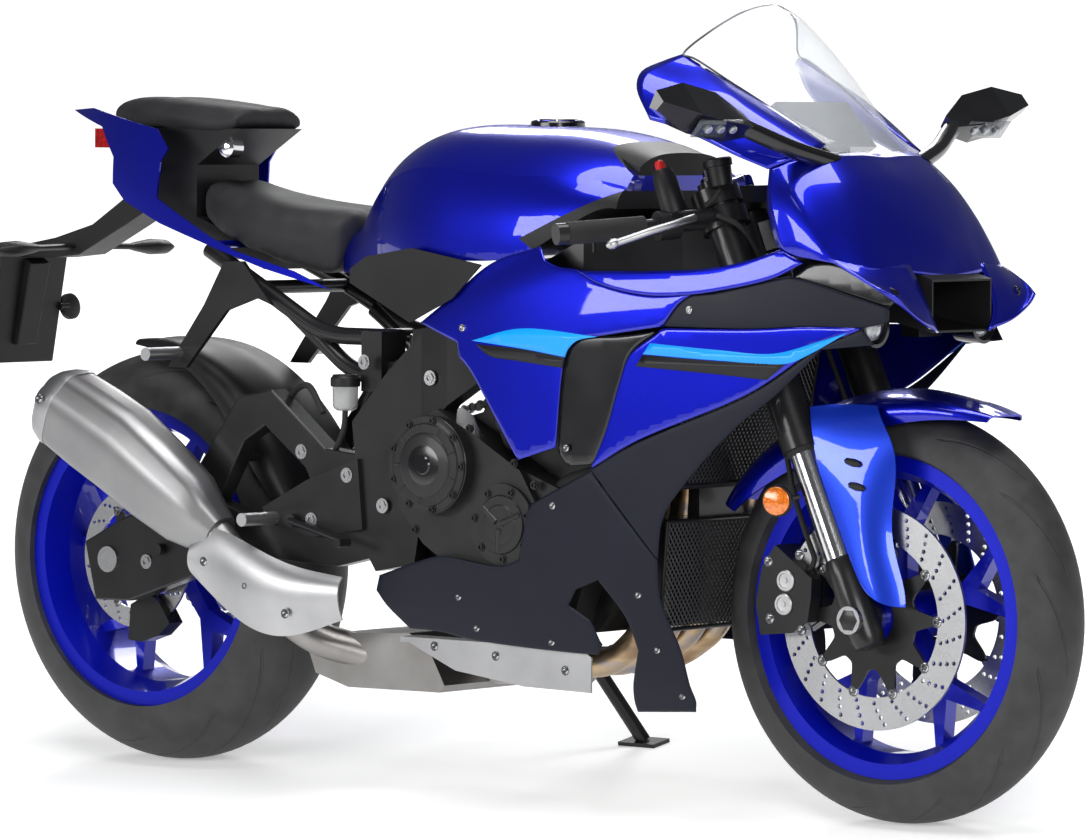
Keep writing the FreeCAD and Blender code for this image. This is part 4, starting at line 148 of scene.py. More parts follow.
def new_object(name: str, points: np.ndarray, faces: Sequence[Sequence[int]],
               material: bpy.types.Material, sharp_degrees: float = 35.0) -> bpy.types.Object:
    """Make a mesh object from upright millimetres.

    Args:
        name: The piece's name.
        points: Rows of x, y, z in upright millimetres.
        faces: Corner numbers of each face.
        material: The finish for every face.
        sharp_degrees: Edges that turn more than this stay sharp.

    Returns:
        The linked object, at the origin with its place in its mesh.
    """
    mesh = bpy.data.meshes.new(name)
    mesh.from_pydata(UPRIGHT.place(np.asarray(points, float)).tolist(), [], list(faces))
    mesh.validate()
    mesh.update()
    mesh.polygons.foreach_set("use_smooth", [True] * len(mesh.polygons))
    mesh.set_sharp_from_angle(angle=math.radians(sharp_degrees))
    mesh.materials.append(material)
    piece = bpy.data.objects.new(name, mesh)
    bpy.context.scene.collection.objects.link(piece)
    return piece


def mirrored(points: np.ndarray, faces: Sequence[Sequence[int]]) -> MeshData:
    """Mirror a mesh to the bike's other side, with its faces still outwards."""
    other = points.copy()
    other[:, 1] *= -1
    return other, [tuple(reversed(face)) for face in faces]


def joined(parts: Iterable[tuple[np.ndarray, Sequence[Sequence[int]]]]) -> MeshData:
    """Join meshes given as points and faces into one."""
    points: list[np.ndarray] = []
    faces: list[tuple[int, ...]] = []
    start = 0
    for part_points, part_faces in parts:
        points.append(part_points)
        faces.extend(tuple(corner + start for corner in face) for face in part_faces)
        start += len(part_points)
    return np.vstack(points), faces


def spline(points: np.ndarray, count: int, closed: bool = False) -> np.ndarray:
    """Draw a smooth curve through points.

    Args:
        points: Rows of any number of coordinates.
        count: How many places to return.
        closed: True where the curve runs back to its start.

    Returns:
        Places along a centripetal Catmull-Rom curve, spaced by its own parameter.
    """
    points = np.asarray(points, float)
    if len(points) == 1:
        return np.repeat(points, count, axis=0)
    if closed:
        points = np.vstack([points[-1:], points, points[:2]])
    else:
        first = 2 * points[0] - points[1]
        last = 2 * points[-1] - points[-2]
        points = np.vstack([first, points, last])
    steps = np.sqrt(np.maximum(np.linalg.norm(np.diff(points, axis=0), axis=1), 1e-6))
    knots = np.concatenate([[0.0], np.cumsum(steps)])
    where = np.linspace(knots[1], knots[-2], count, endpoint=not closed)
    spans = np.clip(np.searchsorted(knots, where, side="right") - 1, 1, len(points) - 3)
    rows = []
    for value, span in zip(where, spans):
        t0, t1, t2, t3 = knots[span - 1:span + 3]
        p0, p1, p2, p3 = points[span - 1:span + 3]
        a1 = (t1 - value) / (t1 - t0) * p0 + (value - t0) / (t1 - t0) * p1
        a2 = (t2 - value) / (t2 - t1) * p1 + (value - t1) / (t2 - t1) * p2
        a3 = (t3 - value) / (t3 - t2) * p2 + (value - t2) / (t3 - t2) * p3
        b1 = (t2 - value) / (t2 - t0) * a1 + (value - t0) / (t2 - t0) * a2
        b2 = (t3 - value) / (t3 - t1) * a2 + (value - t1) / (t3 - t1) * a3
        rows.append((t2 - value) / (t2 - t1) * b1 + (value - t1) / (t2 - t1) * b2)
    return np.array(rows)


def grid_skin(rows: Sequence[Sequence[Place]], across: int, along: int,
              flip: bool = False) -> MeshData:
    """Stretch a smooth skin over rows of places.

    Args:
        rows: Rows of places, all of one length.
        across: How many columns the skin gets.
        along: How many rows the skin gets.
        flip: True to turn the faces over.

    Returns:
        The skin's points and faces.
    """
    dense = [spline(np.array(row), across) for row in rows]
    columns = [spline(np.array([row[i] for row in dense]), along) for i in range(across)]
    points = np.array(columns).transpose(1, 0, 2).reshape(-1, 3)
    faces = []
    for i in range(along - 1):
        for j in range(across - 1):
            a = i * across + j
            face = (a, a + 1, a + across + 1, a + across)
            faces.append(tuple(reversed(face)) if flip else face)
    return points, faces


def mirror_row(row: Sequence[Place]) -> list[Place]:
    """Complete a row of places from its right half, whose last place is on the middle."""
    return list(row) + [(x, -y, z) for x, y, z in reversed(row[:-1])]


def tube(path: Sequence[Place], radius: float, sides: int = 16, steps: int = 24,
         smooth: bool = True) -> MeshData:
    """Sweep a round bar along a path, with closed ends."""
    line = spline(np.array(path), steps) if smooth else np.array(path, float)
    ways = np.gradient(line, axis=0)
    ways /= np.linalg.norm(ways, axis=1)[:, None]
    side = np.cross(ways[0], (0.0, 0.0, 1.0))
    if np.linalg.norm(side) < 0.1:
        side = np.cross(ways[0], (0.0, 1.0, 0.0))
    points = []
    for place, way in zip(line, ways):
        side = side - way * np.dot(side, way)
        side /= np.linalg.norm(side)
        up = np.cross(way, side)
        for k in range(sides):
            turn = 2 * math.pi * k / sides
            points.append(place + radius * (math.cos(turn) * side + math.sin(turn) * up))
    count = len(line)
    faces = []
    for i in range(count - 1):
        for k in range(sides):
            a, b = i * sides + k, i * sides + (k + 1) % sides
            faces.append((a, b, b + sides, a + sides))
    faces.append(tuple(reversed(range(sides))))
    faces.append(tuple(range((count - 1) * sides, count * sides)))
    return np.array(points), faces


def turned(start: Place, end: Place, profile: Sequence[Flat], sides: int = 32) -> MeshData:
    """Turn a profile round the line from one place to another.

    Args:
        start: The line's start.
        end: The line's end.
        profile: Pairs of distance along the line, as a share of it, and radius.
        sides: How many sides the turned form gets.

    Returns:
        The closed form's points and faces.
    """
    first, last = np.array(start, float), np.array(end, float)
    way = last - first
    length = np.linalg.norm(way)
    way /= length
    side = np.cross(way, (0.0, 0.0, 1.0))
    if np.linalg.norm(side) < 0.1:
        side = np.cross(way, (1.0, 0.0, 0.0))
    side /= np.linalg.norm(side)
    up = np.cross(way, side)
    points = []
    for share, radius in profile:
        for k in range(sides):
            turn = 2 * math.pi * k / sides
            points.append(first + way * length * share
                          + radius * (math.cos(turn) * side + math.sin(turn) * up))
    faces: list[tuple[int, ...]] = []
    for i in range(len(profile) - 1):
        for k in range(sides):
            a, b = i * sides + k, i * sides + (k + 1) % sides
            faces.append((a, b, b + sides, a + sides))
    faces.append(tuple(reversed(range(sides))))
    last_ring = (len(profile) - 1) * sides
    faces.append(tuple(range(last_ring, last_ring + sides)))
    return np.array(points), faces


# ---------------------------------------------------------------- finishes


class NodeGraph:
    """A material's node tree, built from a Principled shader."""

    def __init__(self, name: str) -> None:
        """Start a material whose tree holds the shader and the output."""
        self.material = bpy.data.materials.new(name)
        self.material.use_nodes = True
        self.tree = self.material.node_tree
        self.tree.nodes.clear()
        self.output = self.new("ShaderNodeOutputMaterial")
        self.shader = self.new("ShaderNodeBsdfPrincipled")
        self.join(self.shader, "BSDF", self.output, "Surface")
        self.space = self.new("ShaderNodeTexCoord")

    def new(self, kind: str, **values: Any) -> bpy.types.Node:
        """Add a node and set its named inputs or attributes."""
        node = self.tree.nodes.new(kind)
        for key, value in values.items():
            label = key.replace("_", " ").title()
            if hasattr(node, key) and key not in ("scale",):
                setattr(node, key, value)
            elif label in node.inputs:
                node.inputs[label].default_value = value
            else:
                raise KeyError(f"{kind} has no {key}")
        return node

    def join(self, start: bpy.types.Node, output: str | int,
             end: bpy.types.Node, entry: str | int) -> None:
        """Link one node's output to another's input."""
        self.tree.links.new(start.outputs[output], end.inputs[entry])

    def set(self, **values: Any) -> None:
        """Set constants on the shader's own sockets."""
        for key, value in values.items():
            self.shader.inputs[key.replace("_", " ")].default_value = value

    def maths(self, operation: str, *terms: tuple[bpy.types.Node, str] | float) -> bpy.types.Node:
        """Add a maths node over linked outputs and numbers."""
        node = self.new("ShaderNodeMath", operation=operation)
        for entry, term in enumerate(terms):
            if isinstance(term, tuple):
                self.join(*term, node, entry)
            else:
                node.inputs[entry].default_value = term
        return node

    def step(self, source: bpy.types.Node, edge: Flat) -> bpy.types.Node:
        """Step smoothly from 0 to 1 across an edge."""
        step = self.new("ShaderNodeMapRange", interpolation_type="SMOOTHSTEP")
        step.inputs["From Min"].default_value, step.inputs["From Max"].default_value = edge
        self.join(source, "Value", step, "Value")
        return step

    def noise(self, scale: float, detail: float = 3.0,
              stretch: Place = (1.0, 1.0, 1.0)) -> bpy.types.Node:
        """Add noise on the object's own coordinates, stretched if asked."""
        mapping = self.new("ShaderNodeMapping")
        mapping.inputs["Scale"].default_value = stretch
        self.join(self.space, "Object", mapping, "Vector")
        noise = self.new("ShaderNodeTexNoise", detail=detail)
        noise.inputs["Scale"].default_value = scale
        self.join(mapping, "Vector", noise, "Vector")
        return noise

    def between(self, source: bpy.types.Node, output: str | int, low: Colour, high: Colour,
                start: float = 0.35, end: float = 0.65) -> bpy.types.Node:
        """Turn a number into a colour between two colours."""
        ramp = self.new("ShaderNodeValToRGB")
        ramp.color_ramp.elements[0].position = start
        ramp.color_ramp.elements[0].color = (*low, 1.0)
        ramp.color_ramp.elements[1].position = end
        ramp.color_ramp.elements[1].color = (*high, 1.0)
        self.join(source, output, ramp, "Fac")
        return ramp

    def bump(self, source: bpy.types.Node, output: str | int, strength: float,
             distance: float) -> None:
        """Drive the shader's normal from a height."""
        bump = self.new("ShaderNodeBump")
        bump.inputs["Strength"].default_value = strength
        bump.inputs["Distance"].default_value = distance
        self.join(source, output, bump, "Height")
        self.join(bump, "Normal", self.shader, "Normal")

    def spread(self, source: bpy.types.Node, output: str | int, low: float, high: float,
               entry: str) -> None:
        """Map a 0 to 1 number onto a range and send it to a shader socket."""
        mapped = self.new("ShaderNodeMapRange")
        mapped.inputs["To Min"].default_value = low
        mapped.inputs["To Max"].default_value = high
        self.join(source, output, mapped, "Value")
        self.join(mapped, "Result", self.shader, entry)


@dataclass(frozen=True)
class PaintFinish:
    """Metallic paint under a clear coat."""

    name: str
    deep: Colour
    bright: Colour
    metallic: float = 0.75
    roughness: float = 0.3
    coat: float = 1.0

    def build(self) -> bpy.types.Material:
        """Make the material: flakes, faint mottling and a smooth coat."""
        graph = NodeGraph(self.name)
        flakes = graph.noise(2600.0, 1.0)
        colour = graph.between(flakes, "Fac", self.deep, self.bright, 0.3, 0.75)
        graph.join(colour, "Color", graph.shader, "Base Color")
        graph.spread(flakes, "Fac", self.roughness - 0.05, self.roughness + 0.07, "Roughness")
        peel = graph.noise(180.0, 2.0)
        graph.bump(peel, "Fac", 0.03, 0.0004)
        graph.set(Metallic=self.metallic, Coat_Weight=self.coat, Coat_Roughness=0.025,
                  Coat_IOR=1.45, Specular_IOR_Level=0.3)
        return graph.material


@dataclass(frozen=True)
class PlasticFinish:
    """Moulded plastic or rubber with a fine grain."""

    name: str
    colour: Colour
    worn: Colour
    roughness: float = 0.5
    grain: float = 900.0
    depth: float = 0.15
    coat: float = 0.0
    gloss: float = 0.28

    def build(self) -> bpy.types.Material:
        """Make the material: grain, cloudy roughness and a slight change of shade."""
        graph = NodeGraph(self.name)
        cloud = graph.noise(14.0, 5.0)
        colour = graph.between(cloud, "Fac", self.colour, self.worn, 0.35, 0.8)
        graph.join(colour, "Color", graph.shader, "Base Color")
        graph.spread(cloud, "Fac", self.roughness - 0.08, self.roughness + 0.08, "Roughness")
        grain = graph.noise(self.grain, 2.0)
        graph.bump(grain, "Fac", self.depth, 0.0004)
        graph.set(Coat_Weight=self.coat, Coat_Roughness=0.12, Specular_IOR_Level=self.gloss)
        return graph.material


@dataclass(frozen=True)
class MetalFinish:
    """Bare, brushed or cast metal."""

    name: str
    colour: Colour
    shade: Colour
    roughness: float = 0.3
    stretch: Place = (1.0, 1.0, 1.0)
    grain: float = 300.0
    depth: float = 0.08
    metallic: float = 1.0

    def build(self) -> bpy.types.Material:
        """Make the material: brushing or casting grain with uneven shine."""
        graph = NodeGraph(self.name)
        grain = graph.noise(self.grain, 4.0, self.stretch)
        cloud = graph.noise(9.0, 4.0)
        colour = graph.between(cloud, "Fac", self.shade, self.colour, 0.3, 0.7)
        graph.join(colour, "Color", graph.shader, "Base Color")
        graph.spread(grain, "Fac", self.roughness - 0.07, self.roughness + 0.1, "Roughness")
        graph.bump(grain, "Fac", self.depth, 0.0003)
        graph.set(Metallic=self.metallic)
        return graph.material


@dataclass(frozen=True)
class HeatedFinish:
    """Steel that heat has tinted from straw to brown and blue."""

    name: str
    roughness: float = 0.32
    stops: tuple[tuple[float, Colour], ...] = (
        (0.30, (0.16, 0.12, 0.10)), (0.74, (0.36, 0.35, 0.36)), (0.42, (0.30, 0.20, 0.12)),
        (0.50, (0.45, 0.33, 0.20)), (0.60, (0.28, 0.27, 0.30)))

    def build(self) -> bpy.types.Material:
        """Make the material: tint bands that wander along the pipes."""
        graph = NodeGraph(self.name)
        cloud = graph.noise(7.0, 4.0, (1.0, 1.0, 2.2))
        first, last, *middle = self.stops
        ramp = graph.between(cloud, "Fac", first[1], last[1], first[0], last[0])
        for position, colour in middle:
            ramp.color_ramp.elements.new(position).color = (*colour, 1.0)
        graph.join(ramp, "Color", graph.shader, "Base Color")
        grain = graph.noise(240.0, 3.0, (1.0, 1.0, 0.2))
        graph.spread(grain, "Fac", self.roughness - 0.1, self.roughness + 0.12, "Roughness")
        graph.bump(grain, "Fac", 0.06, 0.0003)
        graph.set(Metallic=1.0)
        return graph.material


@dataclass(frozen=True)
class TyreFinish:
    """Tyre rubber with curved tread grooves round its axle."""

    name: str
    axle: Place
    grooves: int
    half_width: float
    slant: float = 26.0
    groove_edge: Flat = (0.02, 0.045)
    centre_band: Flat = (0.012, 0.008)
    edge_band: Flat = (0.00078, 0.00084)
    colour: Colour = (0.016, 0.016, 0.017)
    dusty: Colour = (0.03, 0.03, 0.031)

    def _place(self, graph: NodeGraph) -> bpy.types.Node:
        """Give the place from the axle, turned upright and split into X, Y and Z."""
        place = graph.new("ShaderNodeVectorMath", operation="SUBTRACT")
        graph.join(graph.space, "Object", place, 0)
        place.inputs[1].default_value = UPRIGHT.place(np.array([self.axle]))[0]
        turn = graph.new("ShaderNodeVectorRotate", rotation_type="X_AXIS")
        turn.inputs["Angle"].default_value = math.radians(UPRIGHT.lean_degrees)
        graph.join(place, "Vector", turn, "Vector")
        parts = graph.new("ShaderNodeSeparateXYZ")
        graph.join(turn, "Vector", parts, "Vector")
        return parts

    def _height(self, graph: NodeGraph) -> bpy.types.Node:
        """Give the tread's height: slanted grooves between the centre and the edges."""
        parts = self._place(graph)
        angle = graph.maths("ARCTAN2", (parts, "X"), (parts, "Z"))
        offset = graph.maths("ABSOLUTE", (parts, "Y"))
        slant = graph.maths("MULTIPLY", (offset, "Value"), self.slant)
        count = graph.maths("MULTIPLY_ADD", (angle, "Value"), self.grooves / (2 * math.pi),
                            (slant, "Value"))
        wave = graph.maths("PINGPONG", (count, "Value"), 0.5)
        groove = graph.step(wave, self.groove_edge)
        inner = graph.step(offset, self.centre_band)
        outer = graph.step(offset, tuple(self.half_width * share for share in self.edge_band))
        edges = graph.maths("MAXIMUM", (inner, "Result"), (outer, "Result"))
        return graph.maths("MAXIMUM", (groove, "Result"), (edges, "Value"))

    def build(self) -> bpy.types.Material:
        """Make the material: the tread's height as bump, under a little dust."""
        graph = NodeGraph(self.name)
        height = self._height(graph)
        dust = graph.noise(30.0, 5.0)
        colour = graph.between(dust, "Fac", self.colour, self.dusty)
        graph.join(colour, "Color", graph.shader, "Base Color")
        graph.spread(dust, "Fac", 0.55, 0.72, "Roughness")
        graph.bump(height, "Value", 0.9, 0.003)
        return graph.material


@dataclass(frozen=True)
class ClearFinish:
    """Clear or tinted moulded glass or plastic."""

    name: str
    tint: Colour
    roughness: float = 0.02
    alpha: float = 0.22

    def build(self) -> bpy.types.Material:
        """Make the material: thin see-through sheet with faint streaks."""
        graph = NodeGraph(self.name)
        streak = graph.noise(40.0, 2.0, (1.0, 1.0, 0.3))
        colour = graph.between(streak, "Fac", self.tint, tuple(c * 0.94 for c in self.tint))
        graph.join(colour, "Color", graph.shader, "Base Color")
        graph.bump(streak, "Fac", 0.01, 0.0002)
        graph.set(Roughness=self.roughness, Alpha=self.alpha, Coat_Weight=1.0,
                  Coat_Roughness=0.01, IOR=1.45)
        return graph.material


@dataclass(frozen=True)
class LampFinish:
    """A lens with moulded ribs over a reflector."""

    name: str
    colour: Colour
    rib: float = 120.0
    metallic: float = 0.3
    roughness: float = 0.12

    def build(self) -> bpy.types.Material:
        """Make the material: ribbed colour with a glossy coat."""
        graph = NodeGraph(self.name)
        cells = graph.new("ShaderNodeTexVoronoi")
        cells.inputs["Scale"].default_value = self.rib
        graph.join(graph.space, "Object", cells, "Vector")
        dark = tuple(c * 0.55 for c in self.colour)
        colour = graph.between(cells, "Distance", self.colour, dark, 0.1, 0.7)
        graph.join(colour, "Color", graph.shader, "Base Color")
        graph.bump(cells, "Distance", 0.35, 0.001)
        graph.set(Roughness=self.roughness, Metallic=self.metallic, Coat_Weight=1.0,
                  Coat_Roughness=0.02)
        return graph.material


class Finishes:
    """Every finish of the bike, by name, with the record's slot it answers to."""

    def __init__(self) -> None:
        """Build each finish once."""
        table = {
            "paint_blue": (PaintFinish("candy_blue", deep=(0.0003, 0.001, 0.19),
                bright=(0.0006, 0.009, 0.60), metallic=0.8), "paint_blue"),
            "wheel_blue": (PaintFinish("wheel_blue", deep=(0.0005, 0.002, 0.26),
                bright=(0.001, 0.010, 0.60), metallic=0.4, roughness=0.34, coat=0.8),
                "wheel_blue"),
            "guard_blue": (PaintFinish("pale_blue", deep=(0.006, 0.03, 0.45),
                bright=(0.015, 0.07, 0.75), metallic=0.6, roughness=0.3), "paint_blue"),
            "stripe_cyan": (PaintFinish("stripe_cyan", deep=(0.0, 0.24, 0.80),
                bright=(0.0, 0.34, 0.92), metallic=0.0, roughness=0.4, coat=0.3), "paint_blue"),
            "stripe_black": (PaintFinish("stripe_black", deep=(0.002, 0.002, 0.003),
                bright=(0.005, 0.005, 0.007), metallic=0.0, roughness=0.5, coat=0.1),
                "black_plastic"),
            "matte_navy": (PlasticFinish("matte_navy", colour=(0.003, 0.004, 0.011),
                worn=(0.005, 0.006, 0.015), roughness=0.44, grain=1400.0, depth=0.05, coat=0.0,
                gloss=0.2), "matte_navy"),
            "black_plastic": (PlasticFinish("black_plastic", colour=(0.005, 0.005, 0.0055),
                worn=(0.009, 0.009, 0.010), roughness=0.46, grain=1100.0, depth=0.18),
                "black_plastic"),
            "gloss_black": (PlasticFinish("gloss_black", colour=(0.005, 0.005, 0.006),
                worn=(0.008, 0.008, 0.009), roughness=0.22, grain=1400.0, depth=0.03, coat=0.5),
                "black_plastic"),
            "black_metal": (PlasticFinish("black_enamel", colour=(0.006, 0.006, 0.0065),
                worn=(0.010, 0.010, 0.011), roughness=0.36, grain=500.0, depth=0.08, coat=0.25),
                "black_metal"),
            "engine_metal": (PlasticFinish("engine_enamel", colour=(0.007, 0.007, 0.0075),
                worn=(0.015, 0.015, 0.016), roughness=0.44, grain=420.0, depth=0.25, coat=0.1),
                "engine_metal"),
            "silver_metal": (MetalFinish("brushed_silver", colour=(0.29, 0.29, 0.29),
                shade=(0.23, 0.23, 0.235), roughness=0.38, stretch=(1.0, 1.0, 14.0), grain=110.0,
                depth=0.05), "silver_metal"),
            "cast_silver": (MetalFinish("cast_silver", colour=(0.46, 0.46, 0.465),
                shade=(0.35, 0.35, 0.355), roughness=0.38, stretch=(1.0, 1.0, 1.0), grain=520.0,
                depth=0.10), "silver_metal"),
            "steel": (MetalFinish("turned_steel", colour=(0.50, 0.50, 0.51),
                shade=(0.38, 0.38, 0.39), roughness=0.28, stretch=(1.0, 1.0, 1.0), grain=700.0,
                depth=0.05), "steel"),
            "box_steel": (MetalFinish("box_steel", colour=(0.36, 0.35, 0.34),
                shade=(0.24, 0.23, 0.22), roughness=0.38, stretch=(8.0, 1.0, 1.0), grain=60.0,
                depth=0.08), "steel"),
            "heated_steel": (HeatedFinish("heated_steel"), "heated_steel"),
            "chrome": (MetalFinish("polished_chrome", colour=(0.75, 0.75, 0.76),
                shade=(0.62, 0.62, 0.63), roughness=0.12, stretch=(1.0, 1.0, 1.0), grain=300.0,
                depth=0.02), "chrome"),
            "rubber": (PlasticFinish("grip_rubber", colour=(0.012, 0.012, 0.012),
                worn=(0.02, 0.02, 0.02), roughness=0.68, grain=700.0, depth=0.35), "rubber"),
            "seat": (PlasticFinish("seat_cover", colour=(0.012, 0.012, 0.013),
                worn=(0.02, 0.02, 0.022), roughness=0.62, grain=620.0, depth=0.6), "seat"),
            "clear": (ClearFinish("clear_screen", tint=(0.86, 0.90, 0.94)), "clear"),
            "smoked": (ClearFinish("smoked_lens", tint=(0.05, 0.06, 0.08), roughness=0.04,
                alpha=0.55), "lens"),
            "smoked_cup": (ClearFinish("smoked_cup", tint=(0.30, 0.31, 0.30), roughness=0.25,
                alpha=0.8), "lens"),
            "rotor_steel": (MetalFinish("rotor_steel", colour=(0.62, 0.62, 0.63),
                shade=(0.50, 0.50, 0.51), roughness=0.26, stretch=(1.0, 1.0, 1.0), grain=2600.0,
                depth=0.01), "steel"),
            "guard_steel": (MetalFinish("guard_steel", colour=(0.10, 0.10, 0.105),
                shade=(0.06, 0.06, 0.065), roughness=0.38, stretch=(1.0, 1.0, 1.0), grain=400.0,
                depth=0.04), "black_metal"),
            "switch_red": (PlasticFinish("switch_red", colour=(0.42, 0.01, 0.01),
                worn=(0.5, 0.015, 0.012), roughness=0.35), "red_lens"),
            "lens": (LampFinish("lamp_lens", colour=(0.45, 0.47, 0.50)), "lens"),
            "amber": (LampFinish("amber_lens", colour=(0.95, 0.22, 0.01), rib=220.0, metallic=0.1,
                roughness=0.2), "red_lens"),
            "red_lens": (LampFinish("red_lens", colour=(0.55, 0.01, 0.01)), "red_lens"),
            "front_tyre": (TyreFinish("front_tyre_rubber", axle=FRONT_AXLE, grooves=13,
                half_width=60.0), "tyre"),
            "rear_tyre": (TyreFinish("rear_tyre_rubber", axle=REAR_AXLE, grooves=12,
                half_width=95.0), "tyre"),
        }
        self.materials = {name: finish.build() for name, (finish, _) in table.items()}
        self.slots = {name: slot for name, (_, slot) in table.items()}

    def __getitem__(self, name: str) -> bpy.types.Material:
        """Return the material of that name."""
        return self.materials[name]


# ---------------------------------------------------------------- assembly base


@dataclass(frozen=True)
class Turning:
    """A form turned round the line from its start to its end, and squashed if asked."""

    start: Place
    end: Place
    profile: tuple[Flat, ...]
    sides: int = 32
    paired: bool = False
    squash: Flat = (0.0, 1.0)

    def meshes(self) -> list[MeshData]:
        """Turn the form on each of its sides."""
        level, share = self.squash
        made = []
        for sign in signs(self.paired):
            ends = [(x, sign * y, z) for x, y, z in (self.start, self.end)]
            points, faces = turned(*ends, self.profile, self.sides)
            points[:, 2] = level + (points[:, 2] - level) * share
            made.append((points, faces))
        return made


@dataclass(frozen=True)
class Piping:
    """A round bar swept along a path, in a curve or in straight runs."""

    path: tuple[Place, ...]
    radius: float
    sides: int = 16
    steps: int = 24
    smooth: bool = True
    paired: bool = False

    def meshes(self) -> list[MeshData]:
        """Sweep the bar on each of its sides."""
        return [tube([(x, sign * y, z) for x, y, z in self.path], self.radius, self.sides,
                     self.steps, self.smooth) for sign in signs(self.paired)]


@dataclass(frozen=True)
class Prism:
    """A side outline drawn out across the bike."""

    outline: tuple[Flat, ...]
    half_width: float

    def meshes(self) -> list[MeshData]:
        """Draw the outline out."""
        return [prism(self.outline, -self.half_width, self.half_width)]


def ring_places(centre: Place, reach: float, count: int, phase: float = 0.0) -> list[Place]:
    """Place points in a ring round an axis across the bike."""
    turns = [2 * math.pi * k / count + phase for k in range(count)]
    return [(centre[0] + reach * math.cos(t), centre[1], centre[2] + reach * math.sin(t))
            for t in turns]


def spokes(low: tuple[Place, float], high: tuple[Place, float], count: int, phase: float,
           radius: float, sides: int) -> tuple[Piping, ...]:
    """Lay straight bars from one ring of places to another, each a centre and a reach."""
    rings = [ring_places(centre, reach, count, 2 * math.pi * phase / count)
             for centre, reach in (low, high)]
    return tuple(Piping(ends, radius, sides, 2, smooth=False) for ends in zip(*rings))


def off(place: Place, way: Place, distance: float) -> Place:
    """Return the place at a distance from another along a way."""
    unit = np.array(way) / np.linalg.norm(way)
    return tuple(np.array(place) + unit * distance)


@dataclass(frozen=True)
class PieceRow:
    """A piece made of forms."""

    name: str
    finish: str
    body: Body
    forms: tuple[Turning | Piping | Prism, ...]
    stands_for: tuple[str, ...] = ()
    sharp_degrees: float = 35.0
    bevel: float = 0.0


@dataclass(frozen=True)
class BoltRow:
    """A piece made of like bolts, with the way that each one looks."""

    name: str
    finish: str
    body: Body
    places: tuple[Place, ...]
    ways: tuple[Place, ...]
    radius: float
    height: float
    sides: int = 6


@dataclass
class Assembly:
    """A group of pieces that share finishes and report themselves."""

    finishes: Finishes
    slots: set[str]
    made: list[bpy.types.Object] = field(default_factory=list)

    def add(self, name: str, mesh: MeshData, finish: str, body: Body,
            stands_for: Sequence[str] = (), sharp_degrees: float = 35.0, wall: float = 0.0,
            bevel: float = 0.0) -> None:
        """Make a piece, finish it and hang it on its body.

        Args:
            name: The piece's name.
            mesh: Its points in upright millimetres and its faces.
            finish: The name of its finish.
            body: The body that it moves with.
            stands_for: CAD nodes that it replaces.
            sharp_degrees: Edges that turn more than this stay sharp.
            wall: The wall that Solidify gives an open skin, inwards.
            bevel: The width of a small round on its sharp edges.
        """
        piece = new_object(name, mesh[0], mesh[1], self.finishes[finish], sharp_degrees)
        if wall:
            solid = piece.modifiers.new("wall", "SOLIDIFY")
            solid.thickness = wall * UPRIGHT.unit
            solid.offset = -1.0
            solid.use_even_offset = False
        if bevel:
            edge = piece.modifiers.new("edge", "BEVEL")
            edge.width = bevel * UPRIGHT.unit
            edge.segments = 2
            edge.limit_method = "ANGLE"
            edge.angle_limit = math.radians(40)
        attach(piece, body.value)
        if stands_for:
            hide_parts(*stands_for)
        slot = self.finishes.slots[finish]
        slot in self.slots
        self.made.append(piece)
        LOG.info("made %s on %s with %s", name, body.value, finish)

    def lay(self, rows: Iterable[PieceRow]) -> None:
        """Make a piece of each row's forms."""
        for row in rows:
            mesh = joined([part for form in row.forms for part in form.meshes()])
            self.add(row.name, mesh, row.finish, row.body, row.stands_for, row.sharp_degrees,
                     bevel=row.bevel)

    @cached_property
    def bolt_kit(self) -> BoltKit:
        """The group that grows this assembly's bolts."""
        return BoltKit()

    def bolt(self, row: BoltRow) -> None:
        """Stand a row of bolts on their places."""
        mesh = self.bolt_kit.grow(np.array(row.places, float), self.finishes[row.finish],
                                  {"way": np.array(row.ways, float)}, Radius=row.radius,
                                  Height=row.height, Sides=row.sides)
        self.add_grown(row.name, [mesh], row.finish, row.body)

    def add_grown(self, name: str, meshes: Iterable[bpy.types.Mesh], finish: str, body: Body,
                  stands_for: Sequence[str] = ()) -> None:
        """Join meshes that a repeat kit grew into one piece and hang it on its body.

        Args:
            name: The piece's name.
            meshes: The grown meshes, in leaned metres.
            finish: The name of its finish.
            body: The body that it moves with.
            stands_for: CAD nodes that it replaces.
        """
        points, faces = joined([mesh_arrays(mesh) for mesh in meshes])
        self.add(name, (UPRIGHT.unplace(points), faces), finish, body, stands_for)


# ---------------------------------------------------------------- repeated forms


def mesh_arrays(mesh: bpy.types.Mesh) -> tuple[np.ndarray, list[tuple[int, ...]]]:
    """Read a mesh's points and faces, and remove the mesh."""
    points = np.empty(len(mesh.vertices) * 3)
    mesh.vertices.foreach_get("co", points)
    faces = [tuple(face.vertices) for face in mesh.polygons]
    bpy.data.meshes.remove(mesh)
    return points.reshape(-1, 3), faces


